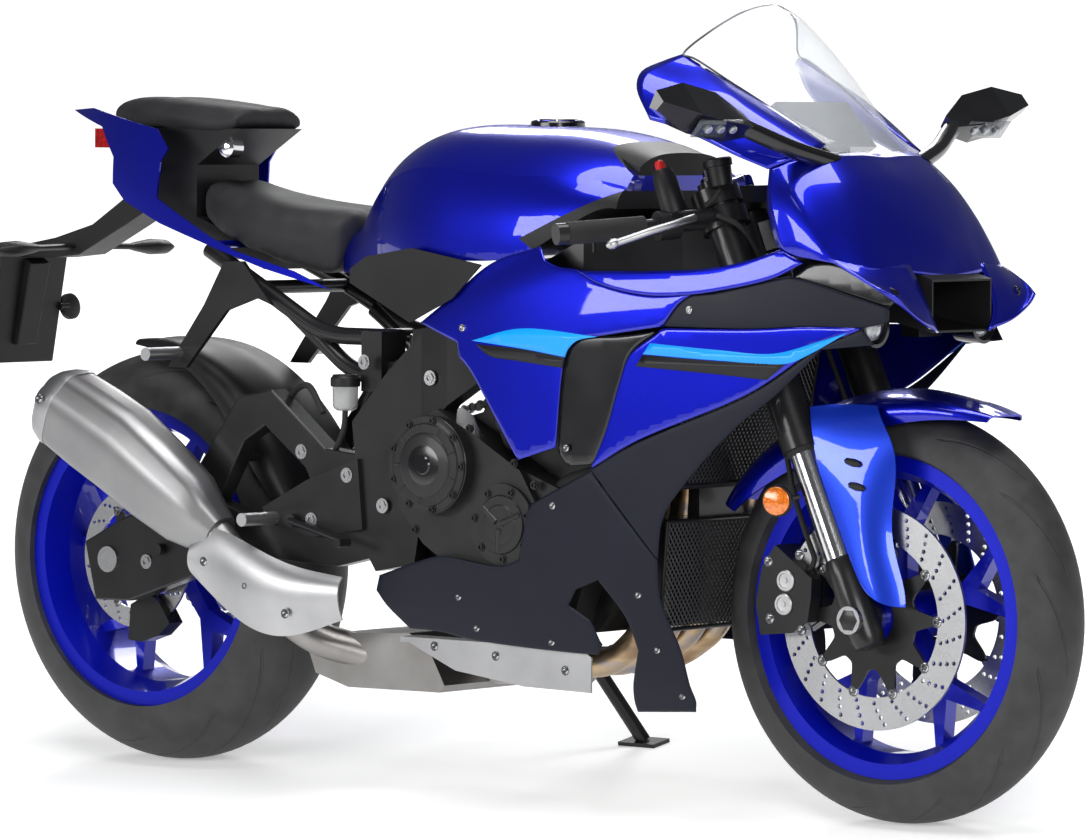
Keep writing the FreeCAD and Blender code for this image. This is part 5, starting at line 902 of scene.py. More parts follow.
class RepeatKit:
    """A Geometry Nodes group with named inputs that repeats a form over seed points.

    Seeds and sizes are upright millimetres. Each seed carries the fields that place its form.
    """

    def __init__(self, name: str) -> None:
        """Start a group that takes seeds and gives a finished mesh."""
        self.name = name
        self.group = bpy.data.node_groups.new(name, "GeometryNodeTree")
        self.identifiers: dict[str, str] = {}
        face = self.group.interface
        face.new_socket("Seeds", in_out="INPUT", socket_type="NodeSocketGeometry")
        face.new_socket("Mesh", in_out="OUTPUT", socket_type="NodeSocketGeometry")
        self.entry = self.node("NodeGroupInput")
        self.exit = self.node("NodeGroupOutput")

    def node(self, kind: str, settings: dict[str, Any] | None = None,
             **inputs: Any) -> bpy.types.Node:
        """Add a node, with its settings and the inputs that stay constant or are linked."""
        node = self.group.nodes.new(kind)
        for key, value in (settings or {}).items():
            setattr(node, key, value)
        for key, value in inputs.items():
            entry = int(key[1:]) if key[0] == "_" else key.replace("_", " ")
            socket = node.inputs[entry]
            if isinstance(value, bpy.types.NodeSocket):
                self.group.links.new(value, socket)
            else:
                socket.default_value = value
        return node

    def value(self, label: str, kind: str = "NodeSocketFloat") -> bpy.types.NodeSocket:
        """Add a named input to the group."""
        socket = self.group.interface.new_socket(label, in_out="INPUT", socket_type=kind)
        self.identifiers[label] = socket.identifier
        return self.entry.outputs[label]

    def times(self, source: bpy.types.NodeSocket, factor: float) -> bpy.types.NodeSocket:
        """Multiply a number."""
        product = self.node("ShaderNodeMath", {"operation": "MULTIPLY"}, _0=source, _1=factor)
        return product.outputs[0]

    def seed_field(self, label: str, kind: str = "FLOAT_VECTOR") -> bpy.types.NodeSocket:
        """Read a field that the seeds carry."""
        return self.node("GeometryNodeInputNamedAttribute", {"data_type": kind},
                         Name=label).outputs["Attribute"]

    def moved(self, geometry: bpy.types.NodeSocket, place: Place = (0, 0, 0),
              turn: Place = (0, 0, 0), size: Place = (1, 1, 1)) -> bpy.types.NodeSocket:
        """Move, turn and scale a form."""
        return self.node("GeometryNodeTransform", Geometry=geometry, Translation=place,
                         Rotation=turn, Scale=size).outputs[0]

    def merged(self, *forms: bpy.types.NodeSocket) -> bpy.types.NodeSocket:
        """Join forms into one."""
        join = self.node("GeometryNodeJoinGeometry")
        for form in forms:
            self.group.links.new(form, join.inputs[0])
        return join.outputs[0]

    def finish(self, geometry: bpy.types.NodeSocket) -> None:
        """Realize the instances, set the finish and end the group."""
        real = self.node("GeometryNodeRealizeInstances", Geometry=geometry)
        look = self.value("Finish", "NodeSocketMaterial")
        done = self.node("GeometryNodeSetMaterial", Geometry=real.outputs[0], Material=look)
        self.group.links.new(done.outputs[0], self.exit.inputs[0])

    def grow(self, seeds: np.ndarray, material: bpy.types.Material,
             fields: dict[str, np.ndarray] | None = None, **sizes: Any) -> bpy.types.Mesh:
        """Run the group over seeds.

        Args:
            seeds: Rows of x, y, z in upright millimetres.
            material: The finish.
            fields: A row or number for each seed, by field name.
            sizes: The group's named inputs.

        Returns:
            The grown mesh in leaned metres.
        """
        points = bpy.data.meshes.new(self.name + "_seeds")
        points.from_pydata(np.asarray(seeds, float).tolist(), [], [])
        for label, rows in (fields or {}).items():
            vector = rows.ndim == 2
            kind = "FLOAT_VECTOR" if vector else "FLOAT"
            field_data = points.attributes.new(label, kind, "POINT")
            field_data.data.foreach_set("vector" if vector else "value", rows.astype(float).ravel())
        carrier = bpy.data.objects.new(self.name + "_carrier", points)
        bpy.context.scene.collection.objects.link(carrier)
        modifier = carrier.modifiers.new("repeat", "NODES")
        modifier.node_group = self.group
        modifier[self.identifiers["Finish"]] = material
        for label, size in sizes.items():
            modifier[self.identifiers[label.replace("_", " ")]] = size
        bpy.context.view_layer.update()
        graph = bpy.context.evaluated_depsgraph_get()
        grown = bpy.data.meshes.new_from_object(carrier.evaluated_get(graph))
        bpy.data.objects.remove(carrier)
        bpy.data.meshes.remove(points)
        grown.transform(UPRIGHT.matrix())
        return grown


class BoltKit(RepeatKit):
    """Flanged bolts with a sunk socket, each standing on its seed along the seed's way."""

    socket_share = 0.6
    socket_depth = -0.55
    flange_share = 1.4
    flange_height = 0.5
    flange_sides = 20

    def __init__(self) -> None:
        """Build the group."""
        super().__init__("flanged_bolts")
        radius, height = self.value("Radius"), self.value("Height")
        sides = self.value("Sides", "NodeSocketInt")
        head = self.node("GeometryNodeMeshCylinder", Vertices=sides, Radius=radius, Depth=height)
        rim = self.node("GeometryNodeExtrudeMesh", Mesh=head.outputs["Mesh"],
                        Selection=head.outputs["Top"], Offset_Scale=0.0)
        narrow = self.node("GeometryNodeScaleElements", Geometry=rim.outputs["Mesh"],
                           Selection=rim.outputs["Top"], Scale=self.socket_share)
        sunk = self.node("GeometryNodeExtrudeMesh", Mesh=narrow.outputs[0],
                         Selection=rim.outputs["Top"],
                         Offset_Scale=self.times(height, self.socket_depth))
        flange = self.node("GeometryNodeMeshCylinder", Vertices=self.flange_sides,
                           Radius=self.times(radius, self.flange_share),
                           Depth=self.times(height, self.flange_height))
        form = self.merged(sunk.outputs["Mesh"], self.moved(flange.outputs["Mesh"], (0, 0, -1)))
        turn = self.node("FunctionNodeAlignRotationToVector", {"axis": "Z"},
                         Vector=self.seed_field("way"))
        copies = self.node("GeometryNodeInstanceOnPoints", Points=self.entry.outputs[0],
                           Instance=form, Rotation=turn.outputs[0])
        self.finish(copies.outputs[0])


class RotorKit(RepeatKit):
    """A brake rotor's ring round the Y axis, bored through at its seeds."""

    ring_sides = 120
    bore_sides = 96
    hole_sides = 12
    cut_depth = 3.0

    def __init__(self) -> None:
        """Build the group."""
        super().__init__("drilled_rotor")
        outer, inner = self.value("Outer Radius"), self.value("Inner Radius")
        hole, depth = self.value("Hole Radius"), self.value("Thickness")
        disc = self.node("GeometryNodeMeshCylinder", Vertices=self.ring_sides, Radius=outer,
                         Depth=depth)
        bore = self.node("GeometryNodeMeshCylinder", Vertices=self.bore_sides, Radius=inner,
                         Depth=self.times(depth, self.cut_depth))
        drill = self.node("GeometryNodeMeshCylinder", Vertices=self.hole_sides, Radius=hole,
                          Depth=self.times(depth, self.cut_depth))
        holes = self.node("GeometryNodeInstanceOnPoints", Points=self.entry.outputs[0],
                          Instance=drill.outputs["Mesh"])
        cut = self.node("GeometryNodeMeshBoolean", {"operation": "DIFFERENCE"})
        self.group.links.new(disc.outputs["Mesh"], cut.inputs[0])
        real = self.node("GeometryNodeRealizeInstances", Geometry=holes.outputs[0])
        self.group.links.new(bore.outputs["Mesh"], cut.inputs[1])
        self.group.links.new(real.outputs[0], cut.inputs[1])
        stood = self.moved(cut.outputs[0], turn=(math.pi / 2, 0, 0))
        centre = self.value("Centre", "NodeSocketVector")
        placed = self.node("GeometryNodeTransform", Geometry=stood, Translation=centre)
        self.finish(placed.outputs[0])


class ChainKit(RepeatKit):
    """A chain's links, each laid along its seed's way in the plane of X and Z."""

    plate_thickness = 2.0
    waist_share = 0.62
    plate_place = 0.42
    pin_share = 0.2
    roller_share = 0.33
    roller_width = 0.6
    eye_sides = 14
    pin_sides = 12

    def __init__(self) -> None:
        """Build the group."""
        super().__init__("chain_links")
        pitch, width, height = self.value("Pitch"), self.value("Width"), self.value("Height")
        flat = (math.pi / 2, 0, 0)
        web = self.node("GeometryNodeMeshCube", Size=(1, 1, 1)).outputs["Mesh"]
        size = self.node("ShaderNodeCombineXYZ", X=pitch, Y=self.plate_thickness,
                         Z=self.times(height, self.waist_share))
        web = self.node("GeometryNodeTransform", Geometry=web, Scale=size.outputs[0]).outputs[0]
        eye = self.node("GeometryNodeMeshCylinder", Vertices=self.eye_sides,
                        Radius=self.times(height, 0.5), Depth=self.plate_thickness)
        eye_form = self.moved(eye.outputs["Mesh"], turn=flat)
        half = self.node("ShaderNodeCombineXYZ", X=self.times(pitch, 0.5)).outputs[0]
        back = self.node("ShaderNodeCombineXYZ", X=self.times(pitch, -0.5)).outputs[0]
        plate = self.merged(
            web, self.node("GeometryNodeTransform", Geometry=eye_form, Translation=half).outputs[0],
            self.node("GeometryNodeTransform", Geometry=eye_form, Translation=back).outputs[0])
        near = self.node("ShaderNodeCombineXYZ", Y=self.times(width, self.plate_place)).outputs[0]
        far = self.node("ShaderNodeCombineXYZ", Y=self.times(width, -self.plate_place)).outputs[0]
        pin = self.node("GeometryNodeMeshCylinder", Vertices=self.pin_sides,
                        Radius=self.times(height, self.pin_share), Depth=width)
        roller = self.node("GeometryNodeMeshCylinder", Vertices=self.eye_sides,
                           Radius=self.times(height, self.roller_share),
                           Depth=self.times(width, self.roller_width))
        rod = self.merged(self.moved(pin.outputs["Mesh"], turn=flat),
                          self.moved(roller.outputs["Mesh"], turn=flat))
        link = self.merged(
            self.node("GeometryNodeTransform", Geometry=plate, Translation=near).outputs[0],
            self.node("GeometryNodeTransform", Geometry=plate, Translation=far).outputs[0],
            self.node("GeometryNodeTransform", Geometry=rod, Translation=half).outputs[0])
        turn = self.node("FunctionNodeAlignRotationToVector", {"axis": "X", "pivot_axis": "Y"},
                         Vector=self.seed_field("way"))
        copies = self.node("GeometryNodeInstanceOnPoints", Points=self.entry.outputs[0],
                           Instance=link, Rotation=turn.outputs[0],
                           Scale=self.seed_field("spread"))
        self.finish(copies.outputs[0])


class GuardKit(RepeatKit):
    """Thin bars, each centred on its seed along the seed's way and as long as its reach."""

    def __init__(self) -> None:
        """Build the group."""
        super().__init__("guard_bars")
        radius = self.value("Radius")
        bar = self.node("GeometryNodeMeshCylinder", Vertices=5, Radius=radius, Depth=1.0)
        turn = self.node("FunctionNodeAlignRotationToVector", {"axis": "Z"},
                         Vector=self.seed_field("way"))
        copies = self.node("GeometryNodeInstanceOnPoints", Points=self.entry.outputs[0],
                           Instance=bar.outputs["Mesh"], Rotation=turn.outputs[0],
                           Scale=self.seed_field("reach"))
        self.finish(copies.outputs[0])


# ---------------------------------------------------------------- side bodywork


@dataclass(frozen=True)
class SideSkin:
    """How far out the side bodywork lies, by station and waterline."""

    stations: tuple[float, ...] = (5.2, 7.2, 9.2, 11.2, 13.2, 15.4)
    waterlines: tuple[float, ...] = (1.2, 1.9, 2.8, 4.0, 5.2, 6.4, 7.5, 8.6)
    out: tuple[tuple[float, ...], ...] = (
        (1.20, 1.34, 1.40, 1.32, 1.10, 0.80), (1.54, 1.66, 1.72, 1.64, 1.42, 1.05),
        (1.74, 1.86, 1.90, 1.82, 1.56, 1.20), (1.88, 2.00, 2.05, 1.96, 1.70, 1.30),
        (1.94, 2.06, 2.12, 2.04, 1.80, 1.36), (1.95, 2.08, 2.16, 2.10, 1.86, 1.42),
        (1.95, 2.05, 2.14, 2.12, 1.92, 1.48), (1.86, 1.94, 1.98, 1.98, 1.86, 1.50))

    @staticmethod
    def _weights(knots: tuple[float, ...], value: float) -> list[tuple[int, float]]:
        """Return the knots round a value with their Catmull-Rom weights."""
        span = max(0, min(len(knots) - 2, sum(k <= value for k in knots) - 1))
        t = (value - knots[span]) / (knots[span + 1] - knots[span])
        t = max(0.0, min(1.0, t))
        basis = ((-t**3 + 2 * t**2 - t) / 2, (3 * t**3 - 5 * t**2 + 2) / 2,
                 (-3 * t**3 + 4 * t**2 + t) / 2, (t**3 - t**2) / 2)
        last = len(knots) - 1
        return [(max(0, min(last, span - 1 + i)), weight) for i, weight in enumerate(basis)]

    def reach(self, x: float, z: float) -> float:
        """Return the skin's distance from the middle in millimetres."""
        total = 0.0
        for i, wz in self._weights(self.waterlines, z / 100):
            for j, wx in self._weights(self.stations, x / 100):
                total += wz * wx * self.out[i][j]
        return total * 100


def smooth_outline(corners: Sequence[Flat], step: float, turn_degrees: float = 32.0) -> np.ndarray:
    """Round an outline's gentle corners and keep its sharp ones.

    Args:
        corners: The outline's corners in order.
        step: The spacing of the returned places.
        turn_degrees: A corner that turns less than this is part of a curve.

    Returns:
        Places round the outline.
    """
    points = np.array(corners, float)
    count = len(points)
    before = points - np.roll(points, 1, axis=0)
    after = np.roll(points, -1, axis=0) - points
    turns = np.degrees(np.abs(np.arctan2(before[:, 0] * after[:, 1] - before[:, 1] * after[:, 0],
                                         (before * after).sum(axis=1))))
    sharp = [i for i in range(count) if turns[i] > turn_degrees]
    if not sharp:
        return spline(points, max(12, int(count * 4)), closed=True)
    rows = []
    for a, b in zip(sharp, sharp[1:] + [sharp[0] + count]):
        run = np.array([points[i % count] for i in range(a, b + 1)])
        length = np.linalg.norm(np.diff(run, axis=0), axis=1).sum()
        rows.append(spline(run, max(2, int(length / step) + 1))[:-1])
    return np.vstack(rows)


def inside(points: np.ndarray, outline: np.ndarray) -> np.ndarray:
    """Tell which points lie inside an outline."""
    x, z = points[:, 0], points[:, 1]
    result = np.zeros(len(points), bool)
    for a, b in zip(outline, np.roll(outline, -1, axis=0)):
        crosses = (a[1] > z) != (b[1] > z)
        slope = (b[0] - a[0]) / (b[1] - a[1] if b[1] != a[1] else 1e-9)
        result ^= crosses & (x < a[0] + (z - a[1]) * slope)
    return result


def edge_distance(points: np.ndarray, outline: np.ndarray) -> np.ndarray:
    """Return each point's distance to an outline."""
    least = np.full(len(points), 1e9)
    for a, b in zip(outline, np.roll(outline, -1, axis=0)):
        way = b - a
        length = max(float(way @ way), 1e-9)
        t = np.clip(((points - a) @ way) / length, 0, 1)
        least = np.minimum(least, np.linalg.norm(points - (a + t[:, None] * way), axis=1))
    return least


@dataclass
class PanelMaker:
    """Makes panels whose outlines are drawn on the side view."""

    skin: SideSkin = field(default_factory=SideSkin)
    spacing: float = 9.0
    edge_round: float = 5.0
    edge_drop: float = 2.0
    ring_shares: Place = (0.16, 0.5, 1.0)

    def mesh(self, outline: Sequence[Flat], lift: float,
             relief: Callable[[np.ndarray], np.ndarray] | None, drop: float | None) -> MeshData:
        """Mesh a panel's right half.

        Args:
            outline: Corners in hundreds of millimetres, station and waterline.
            lift: How far the panel stands out from the skin.
            relief: More height by place, for creases and scoops.
            drop: How far the panel's rim rounds inwards, if not as usual.

        Returns:
            The panel's points and faces.
        """
        step = self.spacing
        rim = smooth_outline([(x * 100, z * 100) for x, z in outline], step * 0.7)
        low, high = rim.min(axis=0), rim.max(axis=0)
        xs, zs = np.meshgrid(np.arange(low[0], high[0], step), np.arange(low[1], high[1], step))
        xs = xs + (np.arange(xs.shape[0]) % 2)[:, None] * step / 2
        inner = np.column_stack([xs.ravel(), zs.ravel()])
        inner = inner[inside(inner, rim)]
        clear = step * 0.45 if drop == 0.0 else self.edge_round + step * 0.5
        inner = inner[edge_distance(inner, rim) > clear]
        ring = len(rim)
        rings = [self._inset(rim, self.edge_round * share) for share in self.ring_shares]
        inner_all = np.vstack([*rings, inner]) if drop != 0.0 else inner
        flat = np.vstack([rim, inner_all])
        edges = [(i, (i + 1) % ring) for i in range(ring)]
        verts, _, faces, *_ = delaunay_2d_cdt([Vector(p) for p in flat], edges, [], 0, 1e-4)
        flat = np.array([tuple(v) for v in verts])
        centres = np.array([flat[list(face)].mean(axis=0) for face in faces])
        keep = inside(centres, rim)
        faces = [tuple(face) for face, kept in zip(faces, keep) if kept]
        fall = self.edge_drop if drop is None else drop
        near_rim = np.clip(edge_distance(flat, rim) / self.edge_round, 0, 1)
        sunk = fall * (1 - np.sqrt(np.clip(1 - (1 - near_rim) ** 2, 0, 1)))
        out = np.array([self.skin.reach(x, z) for x, z in flat]) + lift - sunk
        if relief is not None:
            out = out + relief(flat)
        points = np.column_stack([flat[:, 0], -out, flat[:, 1]])
        return points, self._facing_out(points, faces)

    @staticmethod
    def _inset(rim: np.ndarray, depth: float) -> np.ndarray:
        """Return a ring of places just inside an outline."""
        way = np.roll(rim, -1, axis=0) - np.roll(rim, 1, axis=0)
        way /= np.maximum(np.linalg.norm(way, axis=1), 1e-9)[:, None]
        normal = np.column_stack([-way[:, 1], way[:, 0]])
        ring = rim + normal * depth
        if not inside(ring, rim).mean() > 0.5:
            ring = rim - normal * depth
        good = inside(ring, rim) & (edge_distance(ring, rim) > depth * 0.93)
        return ring[good]

    @staticmethod
    def _facing_out(points: np.ndarray, faces: list[tuple[int, ...]]) -> list[tuple[int, ...]]:
        """Turn each face to look out to the right."""
        turned_faces = []
        for face in faces:
            a, b, c = (points[i] for i in face[:3])
            normal = np.cross(b - a, c - a)
            turned_faces.append(face if normal[1] < 0 else tuple(reversed(face)))
        return turned_faces

    def pair(self, outline: Sequence[Flat], lift: float = 0.0,
             relief: Callable[[np.ndarray], np.ndarray] | None = None,
             drop: float | None = None) -> MeshData:
        """Mesh a panel on both sides."""
        right = self.mesh(outline, lift, relief, drop)
        return joined([right, mirrored(*right)])


@dataclass(frozen=True)
class PanelRow:
    """A side panel: its outline on the side view, and how it lies on the skin."""

    name: str
    finish: str
    outline: tuple[Flat, ...]
    stands_for: tuple[str, ...] = ()
    lift: float = 0.0
    wall: float = 3.0
    creased: bool = False
    drop: float | None = None


PANEL_ROWS = (
    PanelRow("upper_cowl", "paint_blue", (
        (6.56, 7.02), (7.20, 7.42), (7.97, 7.93), (8.89, 8.19), (9.03, 7.99), (9.31, 7.90),
        (9.69, 7.86), (10.14, 7.68), (10.99, 7.53), (11.79, 7.57), (11.54, 7.41), (11.26, 7.08),
        (10.16, 6.92), (9.74, 6.85), (9.56, 6.70), (9.48, 6.51), (9.31, 5.28), (8.58, 5.07),
        (7.64, 6.36), (7.42, 6.54), (7.38, 6.75), (6.66, 6.99)), ("side_fairings",), creased=True),
    PanelRow("front_cowl", "paint_blue", (
        (11.26, 7.06), (12.77, 7.08), (13.62, 7.13), (14.45, 7.13), (14.37, 7.08), (13.83, 6.86),
        (12.70, 6.17), (10.72, 5.40), (9.94, 4.99), (9.98, 5.08), (10.23, 5.56), (10.48, 6.24),
        (10.68, 6.66), (11.14, 6.97))),
    PanelRow("front_band", "matte_navy", (
        (14.45, 7.11), (14.62, 6.89), (13.83, 6.81), (13.14, 6.18), (12.42, 5.64), (11.68, 4.94),
        (11.20, 4.35), (11.06, 3.72), (9.94, 4.99), (10.72, 5.38), (12.70, 6.15), (13.83, 6.84)),
        lift=-0.3),
    PanelRow("side_blade", "paint_blue", (
        (9.75, 7.85), (10.45, 7.86), (12.00, 7.92), (12.64, 8.03), (13.25, 8.21), (13.63, 8.03),
        (13.14, 7.80), (12.14, 7.59), (11.69, 7.54), (10.99, 7.53), (10.14, 7.68)),
        lift=9.0, wall=7.0),
    PanelRow("duct_panel", "matte_navy", (
        (11.26, 7.08), (11.54, 7.41), (11.74, 7.54), (12.14, 7.59), (13.14, 7.80), (13.40, 7.83),
        (14.31, 7.58), (14.86, 7.42), (14.84, 7.22), (14.45, 7.13), (13.62, 7.13), (12.77, 7.08)),
        lift=-1.0),
    PanelRow("duct_slot", "gloss_black", (
        (13.36, 7.80), (13.63, 8.02), (14.00, 8.03), (14.96, 7.66), (14.98, 7.55), (14.80, 7.40),
        (14.31, 7.56)), lift=-5.0),
    PanelRow("cowl_arm", "gloss_black", (
        (9.53, 6.72), (9.74, 6.87), (10.47, 6.93), (11.14, 7.01), (10.66, 6.68), (10.46, 6.24),
        (10.21, 5.56), (9.96, 5.06), (9.49, 5.02), (9.31, 5.22), (9.46, 6.51)),
        ("cowl_inserts",), lift=-5.0),
    PanelRow("lower_cowl", "matte_navy", (
        (5.69, 3.24), (5.60, 3.01), (5.78, 2.80), (6.21, 2.47), (6.86, 2.45), (7.45, 2.37),
        (9.17, 2.29), (9.86, 2.28), (9.95, 2.43), (9.79, 2.79), (9.41, 2.99), (9.56, 3.22),
        (9.98, 3.38), (10.43, 2.85), (10.59, 2.39), (10.35, 1.64), (10.34, 1.46), (11.38, 1.52),
        (11.45, 1.69), (11.42, 1.92), (11.34, 2.43), (11.07, 3.15), (11.06, 3.72), (9.94, 4.97),
        (8.77, 4.42), (8.53, 3.61), (8.17, 3.50), (6.99, 3.59), (6.48, 3.48)), ("lower_cowls",)),
    PanelRow("cowl_stripe", "stripe_cyan", (
        (7.70, 6.79), (8.66, 6.99), (10.12, 6.91), (9.74, 6.84), (9.58, 6.72), (9.52, 6.60),
        (8.70, 6.70)), lift=0.8, wall=0.8, creased=True, drop=0.0),
    PanelRow("cowl_stripe_low", "stripe_black", (
        (7.78, 6.74), (8.70, 6.69), (9.51, 6.59), (9.47, 6.44), (8.60, 6.52), (8.05, 6.58)),
        lift=0.8, wall=0.8, creased=True, drop=0.0),
    PanelRow("front_stripe", "stripe_cyan", (
        (11.06, 6.84), (12.20, 6.77), (13.11, 6.74), (13.83, 6.93), (14.25, 7.06), (13.62, 6.72),
        (13.30, 6.60), (12.20, 6.62), (10.93, 6.68)), lift=0.8, wall=0.8, drop=0.0),
    PanelRow("front_stripe_low", "stripe_black", (
        (10.93, 6.67), (12.20, 6.61), (13.28, 6.59), (12.98, 6.36), (12.20, 6.42), (10.80, 6.50)),
        lift=0.8, wall=0.8, drop=0.0),
)


@dataclass
class SideBodywork(Assembly):
    """The fairing's side panels, their stripes and inserts."""

    maker: PanelMaker = field(default_factory=PanelMaker)

    @staticmethod
    def creases(flat: np.ndarray) -> np.ndarray:
        """Give the upper cowl its two creases."""
        x, z = flat[:, 0], flat[:, 1]
        top = np.clip((z - (700 + (x - 760) * 0.42)) / 60, 0, 1)
        return -5.0 * top ** 2 - 6.0 * np.clip((860 - x) / 200, 0, 1) ** 2

    def build(self) -> None:
        """Make every side panel, on both sides."""
        for row in PANEL_ROWS:
            mesh = self.maker.pair(row.outline, row.lift, self.creases if row.creased else None,
                                   row.drop)
            self.add(row.name, mesh, row.finish, Body.CHASSIS, row.stands_for, wall=row.wall)


@dataclass
class NoseBodywork(Assembly):
    """The nose cowl, the ears beside the screen and the screen."""

    wall: float = 3.0
    nose: tuple[tuple[Place, ...], ...] = (
        ((1291, -178, 936), (1316, -160, 948), (1334, -135, 953), (1350, -105, 956),
         (1358, -52, 958), (1360, 0, 956)),
        ((1296, -189, 890), (1345, -182, 902), (1378, -150, 910), (1396, -108, 915),
         (1405, -52, 917), (1410, 0, 915)),
        ((1308, -193, 850), (1375, -191, 860), (1412, -158, 866), (1432, -100, 870),
         (1440, -48, 872), (1444, 0, 870)),
        ((1322, -194, 822), (1395, -193, 822), (1436, -163, 826), (1456, -90, 828),
         (1463, -44, 829), (1467, 0, 827)),
        ((1340, -190, 812), (1397, -192, 806), (1452, -166, 796), (1476, -88, 790),
         (1480, -44, 784), (1480, 0, 780)))
    blade: tuple[tuple[Place, ...], ...] = (
        ((1390, -190.5, 817), (1423, -180, 811), (1455, -142, 805), (1471.5, -86, 801)),
        ((1443, -188, 793), (1467, -172, 782), (1487, -135, 770), (1491, -82, 764)),
        ((1484, -181, 772), (1497, -166, 758), (1503, -128, 742), (1501, -76, 734)),
        ((1510, -165, 759), (1512, -148, 744), (1512, -110, 722), (1504, -60, 706)))
    ear: tuple[tuple[Place, ...], ...] = (
        ((1104, -139, 1098), (1083, -158, 1088), (1068, -190, 1072), (1070, -203, 1050),
         (1105, -217, 1004)),
        ((1142, -134, 1078), (1150, -160, 1062), (1150, -186, 1044), (1142, -203, 1022),
         (1134, -212, 996)),
        ((1181, -130, 1058), (1200, -156, 1040), (1205, -180, 1022), (1196, -198, 1000),
         (1185, -205, 978)),
        ((1251, -112, 1018), (1272, -140, 1000), (1274, -165, 984), (1262, -188, 966),
         (1250, -198, 952)),
        ((1334, -102, 970), (1336, -122, 962), (1324, -150, 953), (1306, -172, 942),
         (1290, -180, 934)))
    screen: tuple[tuple[Place, ...], ...] = (
        ((1342, -98, 956), (1356, -54, 957), (1362, 0, 955.5)),
        ((1251, -110, 1016), (1278, -60, 1045), (1292, 0, 1052)),
        ((1181, -127, 1058), (1218, -64, 1104), (1232, 0, 1116)),
        ((1120, -135, 1092), (1162, -70, 1146), (1172, 0, 1160)),
        ((1104, -138, 1097), (1144, -72, 1152), (1154, 0, 1170)))

    def screen_edge(self) -> None:
        """Run the dark trim round the screen's free edge."""
        side = [row[0] for row in self.screen[1:]]
        path = side + [self.screen[-1][1], self.screen[-1][2]]
        far = [(x, -y, z) for x, y, z in reversed(path[:-1])]
        self.add("screen_trim", tube(path + far, 1.7, 8, 90), "gloss_black", Body.CHASSIS)

    def build(self) -> None:
        """Make the nose, its blades, the ears and the screen."""
        self.screen_edge()
        rows = [mirror_row(row) for row in self.nose]
        self.add("nose_shell", grid_skin(rows, 60, 28, flip=True), "paint_blue", Body.CHASSIS,
                 ["nose_cowl"], wall=self.wall)
        blade = grid_skin(self.blade, 14, 14, flip=True)
        self.add("nose_blade", joined([blade, mirrored(*blade)]), "paint_blue", Body.CHASSIS,
                 wall=4.0)
        ear = grid_skin(self.ear, 18, 26)
        self.add("screen_ear", joined([ear, mirrored(*ear)]), "paint_blue", Body.CHASSIS,
                 ["cowl_ears"], wall=self.wall)
        rows = [mirror_row(row) for row in self.screen]
        self.add("clear_screen", grid_skin(rows, 40, 40, flip=True), "clear", Body.CHASSIS,
                 ["windscreen"], wall=2.0)


# ---------------------------------------------------------------- wheels, brakes and chain


def prism(outline: Sequence[Flat], low: float, high: float) -> MeshData:
    """Draw a side outline out across the bike.

    Args:
        outline: Corners, station and waterline.
        low: The first side's place across the bike.
        high: The second side's place.

    Returns:
        The closed form's points and faces.
    """
    count = len(outline)
    points = [(x, y, z) for y in (low, high) for x, z in outline]
    faces: list[tuple[int, ...]] = [(i, (i + 1) % count, count + (i + 1) % count, count + i)
                                    for i in range(count)]
    faces += [tuple(reversed(range(count))), tuple(range(count, 2 * count))]
    area = sum(a[0] * b[1] - b[0] * a[1] for a, b in zip(outline, list(outline[1:]) + [outline[0]]))
    if area > 0:
        faces = [tuple(reversed(face)) for face in faces]
    return np.array(points, float), faces


def ring_plate(axle: Place, place: float, bore: float, rim: Callable[[float], float],
               thickness: float, sides: int = 160) -> MeshData:
    """Make a flat closed plate with a round bore, square to the axle.

    Args:
        axle: The axle's centre.
        place: The plate's middle, across the bike.
        bore: The bore's radius.
        rim: The plate's radius at each angle.
        thickness: The plate's thickness.
        sides: How many steps go round it.

    Returns:
        The plate's points and faces.
    """
    turns = [2 * math.pi * k / sides for k in range(sides)]
    edges = ([bore] * sides, [rim(turn) for turn in turns])
    points = [(axle[0] + reach * math.cos(turn), y, axle[2] + reach * math.sin(turn))
              for y in (place - thickness / 2, place + thickness / 2)
              for edge in edges for turn, reach in zip(turns, edge)]
    faces = []
    for k in range(sides):
        n = (k + 1) % sides
        low_in, low_out, high_in, high_out = k, sides + k, 2 * sides + k, 3 * sides + k
        m_in, m_out, h_in, h_out = n, sides + n, 2 * sides + n, 3 * sides + n
        faces += [(low_in, low_out, m_out, m_in), (high_in, h_in, h_out, high_out),
                  (low_out, high_out, h_out, m_out), (low_in, m_in, h_in, high_in)]
    return np.array(points), faces


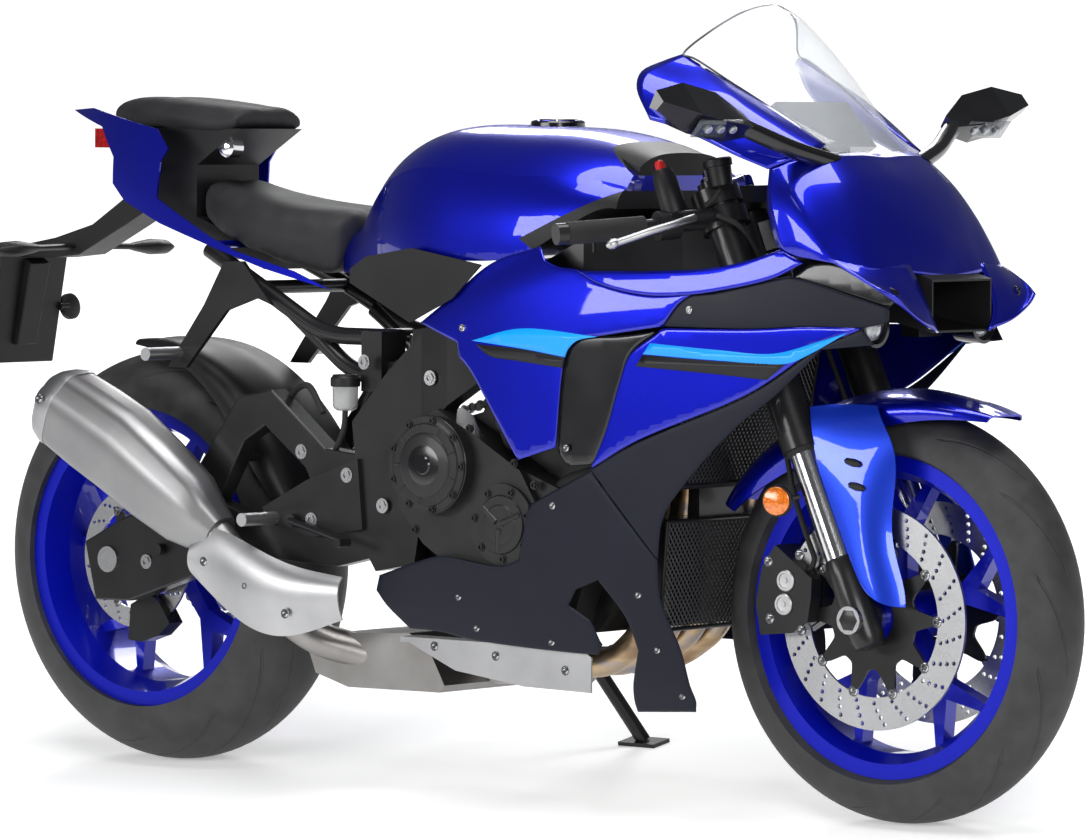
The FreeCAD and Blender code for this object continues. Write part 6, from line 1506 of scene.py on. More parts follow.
@dataclass(frozen=True)
class RotorRow:
    """One axle's rotors, with their carriers and buttons."""

    rotor_piece: str
    carrier_piece: str
    button_piece: str
    node: str
    body: Body
    axle: Place
    places: tuple[float, ...]
    ring: Flat
    hole_radius: float
    hole_band: Flat
    hole_groups: int
    hole_rows: int
    bore: float
    arms: int
    arm_band: Flat
    thickness: float = 4.6
    carrier_thickness: float = 5.4
    button_lift: float = 2.6

    def centre(self, place: float) -> Place:
        """Return the middle of one rotor."""
        return (self.axle[0], place, self.axle[2])

    def holes(self) -> np.ndarray:
        """Place a rotor's holes in slanted rows."""
        inner, outer = self.hole_band
        places = []
        for group in range(self.hole_groups):
            for row in range(self.hole_rows):
                share = (row + 0.5) / self.hole_rows
                turn = 2 * math.pi * (group + 0.62 * share) / self.hole_groups
                reach = inner + (outer - inner) * share
                places.append((reach * math.cos(turn), reach * math.sin(turn), 0.0))
        return np.array(places)

    def rim(self, turn: float) -> float:
        """Return the radius of a carrier with arms, at an angle."""
        low, high = self.arm_band
        wave = 0.5 + 0.5 * math.cos(self.arms * turn)
        return low + (high - low) * wave ** 2.2

    def buttons(self) -> BoltRow:
        """Give the buttons at the ends of the carriers' arms."""
        places, ways = [], []
        for place in self.places:
            side = math.copysign(1.0, place)
            face = side * (abs(place) + self.button_lift)
            ring = ring_places(self.centre(face), self.arm_band[1], self.arms)
            places += ring
            ways += [(0.0, side, 0.0)] * len(ring)
        return BoltRow(self.button_piece, "chrome", self.body, tuple(places), tuple(ways),
                       radius=6.0, height=3.0, sides=20)


ROTOR_ROWS = (
    RotorRow("front_rotors", "front_carriers", "front_buttons", "front_discs", Body.FRONT_WHEEL,
             FRONT_AXLE, (-74.0, 74.0), (113.0, 160.0), 3.3, (116.0, 157.0), 24, 4, 35.0, 10,
             (74.0, 111.0)),
    RotorRow("rear_rotor", "rear_carrier", "rear_buttons", "rear_disc", Body.REAR_WHEEL,
             REAR_AXLE, (-96.0,), (81.0, 110.0), 3.0, (84.0, 107.0), 18, 3, 22.0, 6,
             (52.0, 80.0)),
)


def on_leg(rise: float) -> Place:
    """Return a place on the left fork leg's axis, by its rise from the axle."""
    return (FRONT_AXLE[0] - rise * math.sin(RAKE), LEG_REACH, FRONT_AXLE[2] + rise * math.cos(RAKE))


def piston_cap(x: float, z: float) -> Turning:
    """Turn one caliper piston's cap on both sides."""
    return Turning((x, 100.6, z), (x, 104.5, z),
                   ((0, 15.5), (0.7, 15.5), (1, 14.0), (1, 11.0), (0.6, 10.5), (0.55, 4.0),
                    (0.9, 3.6), (0.9, 0.5)), 28, paired=True)


FORK_ROWS = (
    PieceRow("fork_feet", "black_metal", Body.STEERING, (
        Turning(on_leg(-44), on_leg(92),
                ((0, 12), (0.03, 21), (0.12, 24.6), (0.62, 25.2), (0.80, 24.2), (0.97, 23.6),
                 (1, 22)), 40, paired=True),)),
    PieceRow("fork_tops", "chrome", Body.STEERING, (
        Turning(on_leg(656), on_leg(692), ((0, 15), (0.7, 15), (0.75, 9.5), (1, 8.5)), 6,
                paired=True),
        Turning((1107, 0, 902), (1098.5, 0, 921), ((0, 19), (0.7, 19), (0.9, 17), (1, 12)), 6)),
        bevel=0.8),
    PieceRow("fork_seals", "rubber", Body.STEERING, (
        Turning(on_leg(252), on_leg(262), ((0, 23), (0.1, 25.5), (0.9, 25.5), (1, 23)), 40,
                paired=True),)),
    PieceRow("axle_nuts", "black_metal", Body.STEERING, (
        Turning((1405, 128, 298), (1405, 137, 298),
                ((0, 21), (0.5, 21), (0.55, 17), (0.95, 16.5), (1, 15)), 6, paired=True),),
        bevel=0.8),
    PieceRow("piston_caps", "cast_silver", Body.STEERING,
             (piston_cap(1264.6, 312.0), piston_cap(1268.0, 346.0))),
)


@dataclass
class RunningGear(Assembly):
    """Rotors, carriers, fork feet, piston caps and the chain's links."""

    sprocket: Place = (655.0, 0.0, 430.0)
    teeth: tuple[int, int] = (41, 16)
    pitch: float = 15.875
    line: float = 110.0

    def rotors(self) -> None:
        """Make the drilled rotors, their carriers and buttons."""
        kit, steel = RotorKit(), self.finishes["rotor_steel"]
        for row in ROTOR_ROWS:
            inner, outer = row.ring
            grown = [kit.grow(row.holes(), steel, Outer_Radius=outer, Inner_Radius=inner,
                              Hole_Radius=row.hole_radius, Thickness=row.thickness,
                              Centre=row.centre(place)) for place in row.places]
            self.add_grown(row.rotor_piece, grown, "rotor_steel", row.body, [row.node])
        for row in ROTOR_ROWS:
            plates = [ring_plate(row.axle, place, row.bore, row.rim, row.carrier_thickness)
                      for place in row.places]
            self.add(row.carrier_piece, joined(plates), "black_metal", row.body, bevel=0.8)
        for row in ROTOR_ROWS:
            self.bolt(row.buttons())

    def chain(self) -> None:
        """Lay the chain's links round both sprockets."""
        radii = [self.pitch / (2 * math.sin(math.pi / t)) for t in self.teeth]
        ends = (np.array(REAR_AXLE), np.array(self.sprocket))
        way = ends[1] - ends[0]
        gap, base = math.hypot(way[0], way[2]), math.atan2(way[2], way[0])
        spread = math.asin((radii[0] - radii[1]) / gap)
        run = gap * math.cos(spread)
        lengths = [run, radii[1] * (math.pi - 2 * spread), run, radii[0] * (math.pi + 2 * spread)]
        turns = (base + math.pi / 2 + spread, base - math.pi / 2 - spread)
        count = int(round(sum(lengths) / self.pitch))
        count += count % 2
        laid = [self._on_loop(sum(lengths) * k / count, lengths, radii, ends, turns)
                for k in range(count)]
        scales = np.array([(1.0, 1.0 if k % 2 else 0.72, 1.0) for k in range(count)])
        mesh = ChainKit().grow(np.array([place for place, _ in laid]), self.finishes["steel"],
                               {"way": np.array([out for _, out in laid]), "spread": scales},
                               Pitch=sum(lengths) / count, Width=19.0, Height=14.0)
        self.add_grown("chain_links", [mesh], "steel", Body.CHASSIS, ["chain"])

    def _on_loop(self, along: float, lengths: list[float], radii: list[float],
                 ends: tuple[np.ndarray, np.ndarray], turns: Flat) -> tuple[Place, Place]:
        """Find a place and a way on the chain's loop, from the upper run's rear end."""
        (rear, front), (top, low) = ends, turns
        upper, front_arc, lower, _ = lengths
        if along < upper:
            turn, centre, radius, slid = top, rear, radii[0], along
        elif along < upper + front_arc:
            turn, centre, radius, slid = top - (along - upper) / radii[1], front, radii[1], 0.0
        elif along < upper + front_arc + lower:
            turn, centre, radius, slid = low, front, radii[1], along - upper - front_arc
        else:
            turn = low - (along - upper - front_arc - lower) / radii[0]
            centre, radius, slid = rear, radii[0], 0.0
        out = np.array((math.cos(turn), 0.0, math.sin(turn)))
        way = np.array((out[2], 0.0, -out[0]))
        place = centre + out * radius + way * slid
        return (place[0], self.line, place[2]), tuple(way)

    def build(self) -> None:
        """Make the running gear's details."""
        self.rotors()
        self.lay(FORK_ROWS)
        self.chain()


# ---------------------------------------------------------------- engine bay and exhaust


OUT_RIGHT: Place = (0.0, -1.0, 0.0)
COVER_ROWS = (
    PieceRow("clutch_rings", "engine_metal", Body.CHASSIS, (
        Turning((680, -196, 493), (680, -211.5, 493),
                ((0.0, 73.0), (0.25, 73.5), (0.5, 70.0), (0.55, 62.0), (0.75, 60.5), (0.78, 48.0),
                 (0.9, 47.0), (1.0, 43.0)), 72),), bevel=0.5),
    PieceRow("clutch_hub", "gloss_black", Body.CHASSIS, (
        Turning((680, -209, 493), (680, -215.0, 493),
                ((0, 30), (0.4, 30), (0.6, 24), (0.65, 14), (1, 12)), 48),)),
    PieceRow("pickup_rings", "engine_metal", Body.CHASSIS, (
        Turning((810, -182, 410), (810, -193.0, 410),
                ((0.0, 60.5), (0.35, 60.0), (0.5, 55.0), (0.52, 44.0), (0.8, 42.0), (0.84, 30.0),
                 (1.0, 28.0)), 64),), bevel=0.5),
    PieceRow("oil_cap", "black_plastic", Body.CHASSIS, (
        Turning((806, -150, 560), (806, -176, 566),
                ((0, 18), (0.5, 18), (0.55, 22), (0.92, 22), (1, 19)), 12),), bevel=0.8),
    PieceRow("cover_ribs", "engine_metal", Body.CHASSIS, (
        *spokes(((680, -206.5, 493), 49.0), ((680, -206.5, 493), 60.0), 9, 0.5, 2.4, 8),
        *spokes(((810, -192.0, 410), 6.0), ((810, -188.0, 410), 40.0), 3, 0.2, 5.0, 10))),
)
BAY_ROWS = (
    PieceRow("rear_reservoir", "smoked_cup", Body.CHASSIS, (
        Turning((487, -165, 566), (487, -165, 604),
                ((0, 12), (0.08, 17), (0.2, 19), (0.95, 19.5), (1, 17))),)),
    PieceRow("reservoir_lid", "black_plastic", Body.CHASSIS, (
        Turning((487, -165, 602), (487, -165, 620),
                ((0, 22), (0.15, 22.5), (0.7, 22.5), (0.85, 20), (1, 19)), 24),), bevel=0.6),
    PieceRow("bay_hoses", "rubber", Body.CHASSIS, (
        Piping(((487, -165, 568), (480, -160, 540), (452, -150, 500), (430, -160, 440)), 4.5),
        Piping(((560, -128, 640), (520, -140, 600), (505, -150, 545), (540, -150, 480)), 5.0),
        Piping(((600, -120, 600), (640, -150, 560), (620, -172, 520), (600, -176, 470)), 6.5),
        Piping(((870, -150, 560), (835, -160, 545), (800, -150, 525), (770, -140, 560)), 9.0),
        Piping(((1040, -120, 560), (980, -140, 500), (900, -150, 470), (880, -150, 440)), 12.0),
        Piping(((430, -150, 560), (390, -140, 600), (350, -130, 585), (330, -128, 545)), 5.0))),
)


def right_bolts(name: str, finish: str, places: Sequence[Place], radius: float,
                height: float) -> BoltRow:
    """Give a row of six-sided bolts that all look to the right."""
    return BoltRow(name, finish, Body.CHASSIS, tuple(places), (OUT_RIGHT,) * len(places), radius,
                   height)


BAY_BOLTS = (
    right_bolts("cover_bolts", "black_metal", (
        *ring_places((680, -205.5, 493), 66.5, 9), *ring_places((810, -189.0, 410), 51.0, 7, 0.3),
        *((x, -183.5, z) for x, z in ((620, 440), (640, 395), (700, 345), (760, 338), (850, 345),
                                      (868, 470), (830, 500), (745, 548), (640, 555)))), 5.0, 5.0),
    right_bolts("shield_bolts", "chrome", (
        (268, -238.5, 333), (352, -238.0, 300), (430, -236.0, 262), (662, -163.0, 222),
        (780, -163.0, 214), (912, -163.0, 200), (-40, -277.0, 570)), 5.2, 4.0),
    right_bolts("frame_bolts", "steel", (
        (568, -174, 427), (635, -173, 302), (530, -173, 640), (660, -174, 620),
        (397, -163, 501), (80, -163, 320), (430, -177, 400), (500, -177, 470)), 8.0, 5.0),
)


@dataclass
class EngineBay(Assembly):
    """Radiator guards, cover rings, reservoirs, hoses and fasteners."""

    side_bolts: tuple[Flat, ...] = (
        (7.51, 6.97), (11.73, 7.33), (9.51, 5.28), (9.23, 4.43), (10.69, 3.20), (10.94, 2.41),
        (11.25, 1.75), (7.30, 3.00), (7.60, 2.55), (9.03, 2.42))
    radiators: tuple[tuple[Flat, Flat, float], ...] = (
        ((1071, 266), (1084, 424), 140.0), ((1099, 476), (1134, 668), 150.0))
    guard_step: float = 9.0
    guard_slant: float = 1.25
    shortest_share: float = 0.02

    def lattice(self, low: Flat, wide: float,
                high: Flat) -> tuple[np.ndarray, dict[str, np.ndarray]]:
        """Lay crossed bars over a rectangle.

        Args:
            low: The middle of its lower edge, as X and Z.
            wide: Its half width, across the bike.
            high: The middle of its upper edge, as X and Z.

        Returns:
            The bars' middles, with the way and reach of each.
        """
        foot, top = np.array((low[0], 0.0, low[1])), np.array((high[0], 0.0, high[1]))
        rise = np.linalg.norm(top - foot)
        run = rise / self.guard_slant
        seeds, ways, reaches = [], [], []
        for sign in Side:
            for offset in np.arange(-wide - run, wide + run, self.guard_step):
                across = sign * run
                shares = sorted(((-wide - offset) / across, (wide - offset) / across))
                start, end = max(0.0, shares[0]), min(1.0, shares[1])
                if end - start < self.shortest_share:
                    continue
                a, b = (foot + (top - foot) * t + np.array((0, offset + across * t, 0))
                        for t in (start, end))
                seeds.append((a + b) / 2)
                ways.append((b - a) / np.linalg.norm(b - a))
                reaches.append((1.0, 1.0, np.linalg.norm(b - a)))
        return np.array(seeds), {"way": np.array(ways), "reach": np.array(reaches)}

    def guards(self) -> None:
        """Lay the diamond guards in front of both radiators."""
        kit, look = GuardKit(), self.finishes["black_metal"]
        meshes, frames = [], []
        for low, high, wide in self.radiators:
            seeds, fields = self.lattice(low, wide, high)
            meshes.append(kit.grow(seeds, look, fields, Radius=0.9))
            reach = wide + 2.0
            corners = [(low[0], -reach, low[1]), (low[0], reach, low[1]),
                       (high[0], reach, high[1]), (high[0], -reach, high[1])]
            for a, b in zip(corners, corners[1:] + corners[:1]):
                frames.append(tube([a, b], 3.2, 10, 2, smooth=False))
        self.add_grown("radiator_guards", meshes, "guard_steel", Body.CHASSIS)
        self.add("guard_frames", joined(frames), "black_metal", Body.CHASSIS)

    def panel_bolts(self) -> BoltRow:
        """Give the bolts that stand on the side panels."""
        skin = SideSkin()
        places, ways = [], []
        for x, z in self.side_bolts:
            for side in Side:
                places.append((x * 100, side * (skin.reach(x * 100, z * 100) + 0.6), z * 100))
                ways.append((0.0, float(side), 0.0))
        return BoltRow("panel_bolts", "chrome", Body.CHASSIS, tuple(places), tuple(ways), 4.0, 2.6,
                       16)

    def build(self) -> None:
        """Make the engine bay's details."""
        self.guards()
        self.lay(COVER_ROWS)
        self.bolt(self.panel_bolts())
        for row in BAY_BOLTS:
            self.bolt(row)
        self.lay(BAY_ROWS)


@dataclass
class ExhaustParts(Assembly):
    """The muffler's can, its end cap and its outlet."""

    tilt: float = -0.62
    corners: tuple[Flat, ...] = ((-1, 0.15), (-0.62, 0.9), (0.55, 1.0), (1, 0.3), (0.8, -0.8),
                                 (-0.5, -1.0))
    sections: tuple[tuple[float, ...], ...] = (
        (272, -208, 372, 30, 32), (246, -214, 388, 40, 47), (220, -220, 410, 46, 61),
        (155, -224, 453, 49, 70), (90, -226, 495, 50, 74), (30, -226, 525, 50, 72.5),
        (-30, -226, 555, 49.5, 68))
    cap_sections: tuple[tuple[float, ...], ...] = (
        (-26, -226, 553, 50.5, 69.5), (-34, -226, 557, 50.5, 69.5), (-52, -226, 564.5, 46, 61),
        (-62, -226, 568, 38, 50))

    def ring(self, x: float, y: float, z: float, wide: float, high: float,
             count: int = 60) -> np.ndarray:
        """Outline one rounded section, square to the axis."""
        length = math.hypot(1.0, self.tilt)
        along = np.array((1.0, 0.0, self.tilt)) / length
        up = np.array((-along[2], 0.0, along[0]))
        flat = np.array(self.corners)
        dense = []
        for before, corner, after in zip(np.roll(flat, 1, axis=0), flat, np.roll(flat, -1, axis=0)):
            first, last = corner + (before - corner) * 0.34, corner + (after - corner) * 0.34
            for t in np.linspace(0, 1, count // 6):
                dense.append((1 - t) ** 2 * first + 2 * t * (1 - t) * corner + t * t * last)
        centre = np.array((x, y, z))
        return np.array([centre + np.array((0.0, a * wide, 0.0)) + up * b * high for a, b in dense])

    @staticmethod
    def loft(rings: Sequence[np.ndarray]) -> MeshData:
        """Join closed rings into a capped form."""
        sides = len(rings[0])
        faces: list[tuple[int, ...]] = []
        for i in range(len(rings) - 1):
            for k in range(sides):
                a, b = i * sides + k, i * sides + (k + 1) % sides
                faces.append((a, a + sides, b + sides, b))
        faces.append(tuple(range(sides)))
        last = (len(rings) - 1) * sides
        faces.append(tuple(reversed(range(last, last + sides))))
        return np.vstack(rings), faces

    def build(self) -> None:
        """Make the can, the cap and the outlet."""
        body = self.loft([self.ring(*row) for row in self.sections])
        self.add("muffler_can", body, "silver_metal", Body.CHASSIS, ["muffler"], sharp_degrees=50)
        cap = self.loft([self.ring(*row) for row in self.cap_sections])
        self.add("muffler_cap", cap, "cast_silver", Body.CHASSIS, sharp_degrees=30, bevel=1.0)
        outlet = turned((-50, -226, 562), (-70, -226, 572),
                        [(0, 20), (0, 27), (0.9, 27), (1, 25.5), (1, 23), (0.2, 21),
                         (0.15, 0.5)], 40)
        self.add("muffler_outlet", outlet, "black_metal", Body.CHASSIS)


# ---------------------------------------------------------------- lamps, mirrors and trim


SIGNAL_LEVEL = 797.0
REFLECTOR: Place = (1278.0, 136.0, 462.0)
REFLECTOR_WAY: Place = (0.25, 1.0, 0.0)
UP: Place = (0.0, 0.0, 1.0)


def guard_slot(x: float, z: float) -> Turning:
    """Turn one slot of the fork guards on both sides."""
    return Turning((x - 14, 111.5, z + 3), (x + 14, 109.5, z - 3),
                   ((0, 1), (0.12, 4.5), (0.5, 6.0), (0.88, 4.5), (1, 1)), 20, paired=True)


LAMP_ROWS = (
    PieceRow("lamp_rings", "gloss_black", Body.CHASSIS, (
        Turning((1405, 130, 714), (1447, 130, 714),
                ((0, 27), (0.8, 30), (1, 30), (1, 25), (0.86, 24), (0.8, 20), (0.78, 0.5)), 48,
                paired=True),), ("headlights",)),
    PieceRow("lamp_lenses", "lens", Body.CHASSIS, (
        Turning((1432, 130, 714), (1449, 130, 714),
                ((0, 22.5), (0.3, 22), (0.6, 18.5), (0.85, 11), (1, 1)), 40, paired=True),),
        sharp_degrees=60),
)
CELL_ROWS = (
    PieceRow("mirror_cells", "lens", Body.CHASSIS, tuple(
        Turning((1309, y, 993), (1314.5, y, 987.5), ((0, 6.5), (0.8, 6.5), (1, 5)), 20,
                paired=True) for y in (290, 318, 346))),
    PieceRow("filler_cap", "gloss_black", Body.CHASSIS, (
        Turning((760, 0, 990), (760, 0, 1003.5),
                ((0, 41), (0.6, 41), (0.8, 39), (0.85, 30), (1, 28.5)), 56),)),
)
FORK_TRIM_ROWS = (
    PieceRow("reflector_cups", "black_plastic", Body.STEERING, (
        Turning(off(REFLECTOR, REFLECTOR_WAY, -5.0), off(REFLECTOR, REFLECTOR_WAY, 4.0),
                ((0, 20), (0.3, 23), (0.9, 23), (1, 21.5)), 36, paired=True),)),
    PieceRow("fork_reflectors", "amber", Body.STEERING, (
        Turning(off(REFLECTOR, REFLECTOR_WAY, 3.2), off(REFLECTOR, REFLECTOR_WAY, 6.5),
                ((0, 20.5), (0.7, 20.0), (1, 18.5)), 36, paired=True),)),
    PieceRow("reflector_arms", "black_metal", Body.STEERING, (
        Piping((off(REFLECTOR, REFLECTOR_WAY, -4.0), (1300, 112, 468)), 4.0, 10, 4,
               paired=True),)),
    PieceRow("guard_slots", "black_plastic", Body.STEERING,
             (guard_slot(1392, 520), guard_slot(1399, 486))),
)
CAP_TURNS = np.linspace(0, 2 * math.pi, 8)[:-1]
CAP_SCREWS = BoltRow(
    "cap_screws", "chrome", Body.CHASSIS,
    tuple((760 + 35.5 * math.cos(t), 35.5 * math.sin(t), 1001.5) for t in CAP_TURNS),
    (UP,) * len(CAP_TURNS), 2.4, 2.0, 12)
CALIPER_SPOTS: tuple[Flat, ...] = ((1240, 290), (1296, 276), (1236, 372), (1292, 384))
CALIPER_BOLTS = BoltRow(
    "caliper_bolts", "chrome", Body.STEERING,
    tuple((x, side * 101.5, z) for side in Side for x, z in CALIPER_SPOTS),
    tuple((0.0, float(side), 0.0) for side in Side for _ in CALIPER_SPOTS), 5.5, 5.0)
BAR_ROWS = (
    PieceRow("bent_levers", "cast_silver", Body.STEERING, (
        Piping(((1166, 190, 864), (1172, 214, 861), (1168, 240, 855), (1153, 268, 846),
                (1135, 292, 836), (1121, 312, 828)), 5.4, 16, 30, paired=True),
        Turning((1124, 308, 830), (1112, 322, 824),
                ((0, 4), (0.2, 6.4), (0.5, 7.6), (0.8, 6.0), (1, 2.0)), 24, paired=True)),
        ("levers",)),
    PieceRow("switch_housing", "black_plastic", Body.STEERING, (
        Turning((1124, -172, 852), (1092, -170, 930),
                ((0, 12), (0.25, 19), (0.85, 17.5), (1, 14)), 20),)),
    PieceRow("kill_switch", "switch_red", Body.STEERING, (
        Turning((1093, -170, 926), (1085, -170, 944),
                ((0, 8), (0.7, 7.5), (0.9, 6.5), (1, 4.5)), 16),), bevel=0.5),
    PieceRow("brake_cup", "black_plastic", Body.STEERING, (
        Turning((1168, -128, 905), (1160, -130, 948),
                ((0, 11), (0.1, 17), (0.72, 18.5), (0.74, 21), (0.96, 21), (1, 19))),)),
    PieceRow("bar_hoses", "rubber", Body.STEERING, (
        Piping(((1165, -128, 906), (1160, -134, 892), (1150, -142, 880)), 4.5, 10, 10),
        Piping(((1176, -150, 868), (1205, -130, 850), (1215, -95, 800), (1205, -70, 730)),
               4.0, 10, 24))),
)
TAIL_ROWS = (
    PieceRow("seat_lock", "chrome", Body.CHASSIS, (
        Turning((152, -40, 958), (152, -69, 959), ((0, 17), (0.8, 17), (0.93, 13), (1, 7))),)),
    PieceRow("plate_carrier", "black_plastic", Body.CHASSIS, (
        Prism(((-12, 880), (-40, 897), (-62, 894), (-160, 834), (-240, 812), (-316, 799),
               (-329, 780), (-250, 780), (-188, 786), (-90, 834), (-12, 874)), 31.0),
        Prism(((-310, 797), (-323, 797), (-357, 611), (-345, 611)), 75.0),
        Prism(((-316, 780), (-300, 770), (-330, 640), (-346, 640)), 22.0)),
        ("plate_bracket",), bevel=1.6),
    PieceRow("signal_pods", "black_plastic", Body.CHASSIS, (
        Turning((-205, 24, 800), (-205, 204, 794),
                ((0, 9), (0.45, 9), (0.55, 15), (0.72, 23), (0.88, 21), (1, 6)),
                paired=True, squash=(SIGNAL_LEVEL, 0.55)),)),
    PieceRow("signal_lenses", "amber", Body.CHASSIS, (
        Turning((-214, 165, 797), (-231, 165, 796), ((0, 19), (0.6, 18), (1, 12)),
                paired=True, squash=(SIGNAL_LEVEL, 0.42)),)),
    PieceRow("tail_reflectors", "black_plastic", Body.CHASSIS, (
        Turning((-322, 96, 700), (-334, 96, 698), ((0, 16), (0.2, 21), (0.8, 21), (1, 18)), 28,
                paired=True),
        Piping(((-326, 70, 700), (-326, 90, 700)), 6.0, 10, 3, paired=True))),
)


@dataclass
class Trim(Assembly):
    """Lamps, mirror lenses, the filler cap, reflectors, the kill switch and the tail's lock."""

    lens_lifts: tuple[Flat, ...] = ((272, 2.0), (300, 2.5), (335, 2.5), (372, 2.0))

    def mirror_lenses(self) -> None:
        """Lay the turn lamps' lenses into the mirrors' lower fronts."""
        lenses = []
        for side in Side:
            rows = [[(1299 + lift, side * y, 981 - lift), (1318 + lift, side * y, 1001 - lift + 4)]
                    for y, lift in self.lens_lifts]
            lenses.append(grid_skin(rows, 4, 8, flip=side is Side.LEFT))
        self.add("mirror_lenses", joined(lenses), "smoked", Body.CHASSIS, wall=1.5)

    def build(self) -> None:
        """Make the trim."""
        self.lay(LAMP_ROWS)
        self.mirror_lenses()
        self.lay(CELL_ROWS)
        self.bolt(CAP_SCREWS)
        self.lay(FORK_TRIM_ROWS)
        self.bolt(CALIPER_BOLTS)
        self.lay(BAR_ROWS)
        self.lay(TAIL_ROWS)


# ---------------------------------------------------------------- soft seats


@dataclass
class SeatPads(Assembly):
    """The rider's and the passenger's pads, padded by a short cloth run."""

    voxel: float = 6.0
    pressure: float = 3.5
    frames: int = 16
    cap: float = 6.0

    def build(self) -> None:
        """Pad both seats."""
        self._pad("rider_pad", "rider_seat")
        self._pad("passenger_pad", "passenger_seat")

    def _pad(self, name: str, node: str) -> None:
        """Make one padded cushion from its CAD node.

        Args:
            name: The cushion's name.
            node: The CAD node it stands for.
        """
        source = bpy.data.objects[node]
        piece = bpy.data.objects.new(name, source.data.copy())
        bpy.context.scene.collection.objects.link(piece)
        piece.data.materials.clear()
        piece.data.materials.append(self.finishes["seat"])
        self._weld(piece)
        remesh = piece.modifiers.new("voxels", "REMESH")
        remesh.mode = "VOXEL"
        remesh.voxel_size = self.voxel * UPRIGHT.unit
        self._settle(piece)
        self._swell(piece)
        smooth = piece.modifiers.new("smooth", "CORRECTIVE_SMOOTH")
        smooth.iterations = 6
        smooth.use_only_smooth = True
        self._settle(piece)
        piece.data.polygons.foreach_set("use_smooth", [True] * len(piece.data.polygons))
        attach(piece, "chassis")
        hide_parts(node)
        self.made.append(piece)
        LOG.info("padded %s with %d faces", name, len(piece.data.polygons))

    @staticmethod
    def _weld(piece: bpy.types.Object) -> None:
        """Merge a copied node's loose triangles."""
        weld = piece.modifiers.new("weld", "WELD")
        weld.merge_threshold = 0.0002
        SeatPads._settle(piece)

    @staticmethod
    def _settle(piece: bpy.types.Object) -> None:
        """Apply a piece's modifiers."""
        bpy.context.view_layer.update()
        graph = bpy.context.evaluated_depsgraph_get()
        mesh = bpy.data.meshes.new_from_object(piece.evaluated_get(graph))
        piece.modifiers.clear()
        piece.data = mesh

    def _swell(self, piece: bpy.types.Object) -> None:
        """Blow the pad up a little as cloth, with each point's move capped."""
        rest = np.array([v.co for v in piece.data.vertices])
        cloth = piece.modifiers.new("cloth", "CLOTH")
        settings = cloth.settings
        settings.use_pressure = True
        settings.uniform_pressure_force = self.pressure
        settings.effector_weights.gravity = 0.0
        cloth.collision_settings.use_collision = False
        cloth.point_cache.frame_start, cloth.point_cache.frame_end = 1, self.frames
        for frame_number in range(1, self.frames + 1):
            bpy.context.scene.frame_set(frame_number)
        self._settle(piece)
        moved = np.array([v.co for v in piece.data.vertices])
        shift = moved - rest
        length = np.linalg.norm(shift, axis=1)[:, None]
        limit = self.cap * UPRIGHT.unit
        capped = rest + shift * np.minimum(1.0, limit / np.maximum(length, 1e-9))
        piece.data.vertices.foreach_set("co", capped.ravel())
        bpy.context.scene.frame_set(1)


# ---------------------------------------------------------------- dressing of the CAD nodes


FINISH_NODES: dict[str, tuple[str, ...]] = {
    "black_metal": ("main_frame", "subframe", "swingarm", "radiators", "rear_brake", "cowl_stay",
        "peg_brackets", "pedals", "fork_outers", "triple_clamps", "handlebars", "front_calipers",
        "side_stand"),
    "steel": ("rear_axle", "rear_shock", "chain", "front_sprocket", "front_axle", "front_discs",
        "rear_disc", "rear_sprocket"),
    "engine_metal": ("engine_block", "engine_covers_right", "engine_covers_left"),
    "heated_steel": ("exhaust_headers",),
    "box_steel": ("exhaust_chamber",),
    "silver_metal": ("muffler",),
    "cast_silver": ("heat_shields", "footpegs", "levers"),
    "black_plastic": ("rear_hugger", "cowl_inserts", "side_covers", "nose_duct", "tail_core",
        "plate_bracket", "controls", "tank_shroud"),
    "paint_blue": ("fuel_tank", "side_fairings", "nose_cowl", "cowl_ears", "tail_cowl",
        "front_fender"),
    "matte_navy": ("lower_cowls",),
    "clear": ("windscreen",),
    "gloss_black": ("mirrors", "instrument_panel"),
    "lens": ("headlights",),
    "seat": ("rider_seat", "passenger_seat"),
    "red_lens": ("tail_light",),
    "chrome": ("fork_inners",),
    "rubber": ("grips", "front_hoses"),
    "front_tyre": ("front_tyre",),
    "wheel_blue": ("front_rim", "rear_rim"),
    "rear_tyre": ("rear_tyre",),
    "guard_blue": ("fork_guards",),
}
NODE_FINISH = {node: finish for finish, nodes in FINISH_NODES.items() for node in nodes}


def dress_nodes(nodes: dict[str, bpy.types.Object], finishes: Finishes) -> None:
    """Give every CAD node its finish.

    Args:
        nodes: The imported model's nodes by name.
        finishes: The finishes.
    """
    for name, node in nodes.items():
        material = finishes[NODE_FINISH[name]]
        if not node.material_slots:
            node.data.materials.append(material)
        for slot in node.material_slots:
            slot.material = material
        LOG.info("dressed %s with %s", name, material.name)


# ---------------------------------------------------------------- studio and camera


@dataclass(frozen=True)
class SoftLight:
    """A soft rectangular light that looks at a target."""

    name: str
    place: Place
    target: Place
    size: Flat
    power: float

    def hang(self) -> None:
        """Put the light in the scene."""
        data = bpy.data.lights.new(self.name, "AREA")
        data.shape = "RECTANGLE"
        data.size, data.size_y = self.size
        data.energy = self.power
        lamp = bpy.data.objects.new(self.name, data)
        bpy.context.scene.collection.objects.link(lamp)
        lamp.location = self.place
        lamp.rotation_mode = "QUATERNION"
        way = Vector(self.target) - Vector(self.place)
        lamp.rotation_quaternion = way.to_track_quat("-Z", "Y")


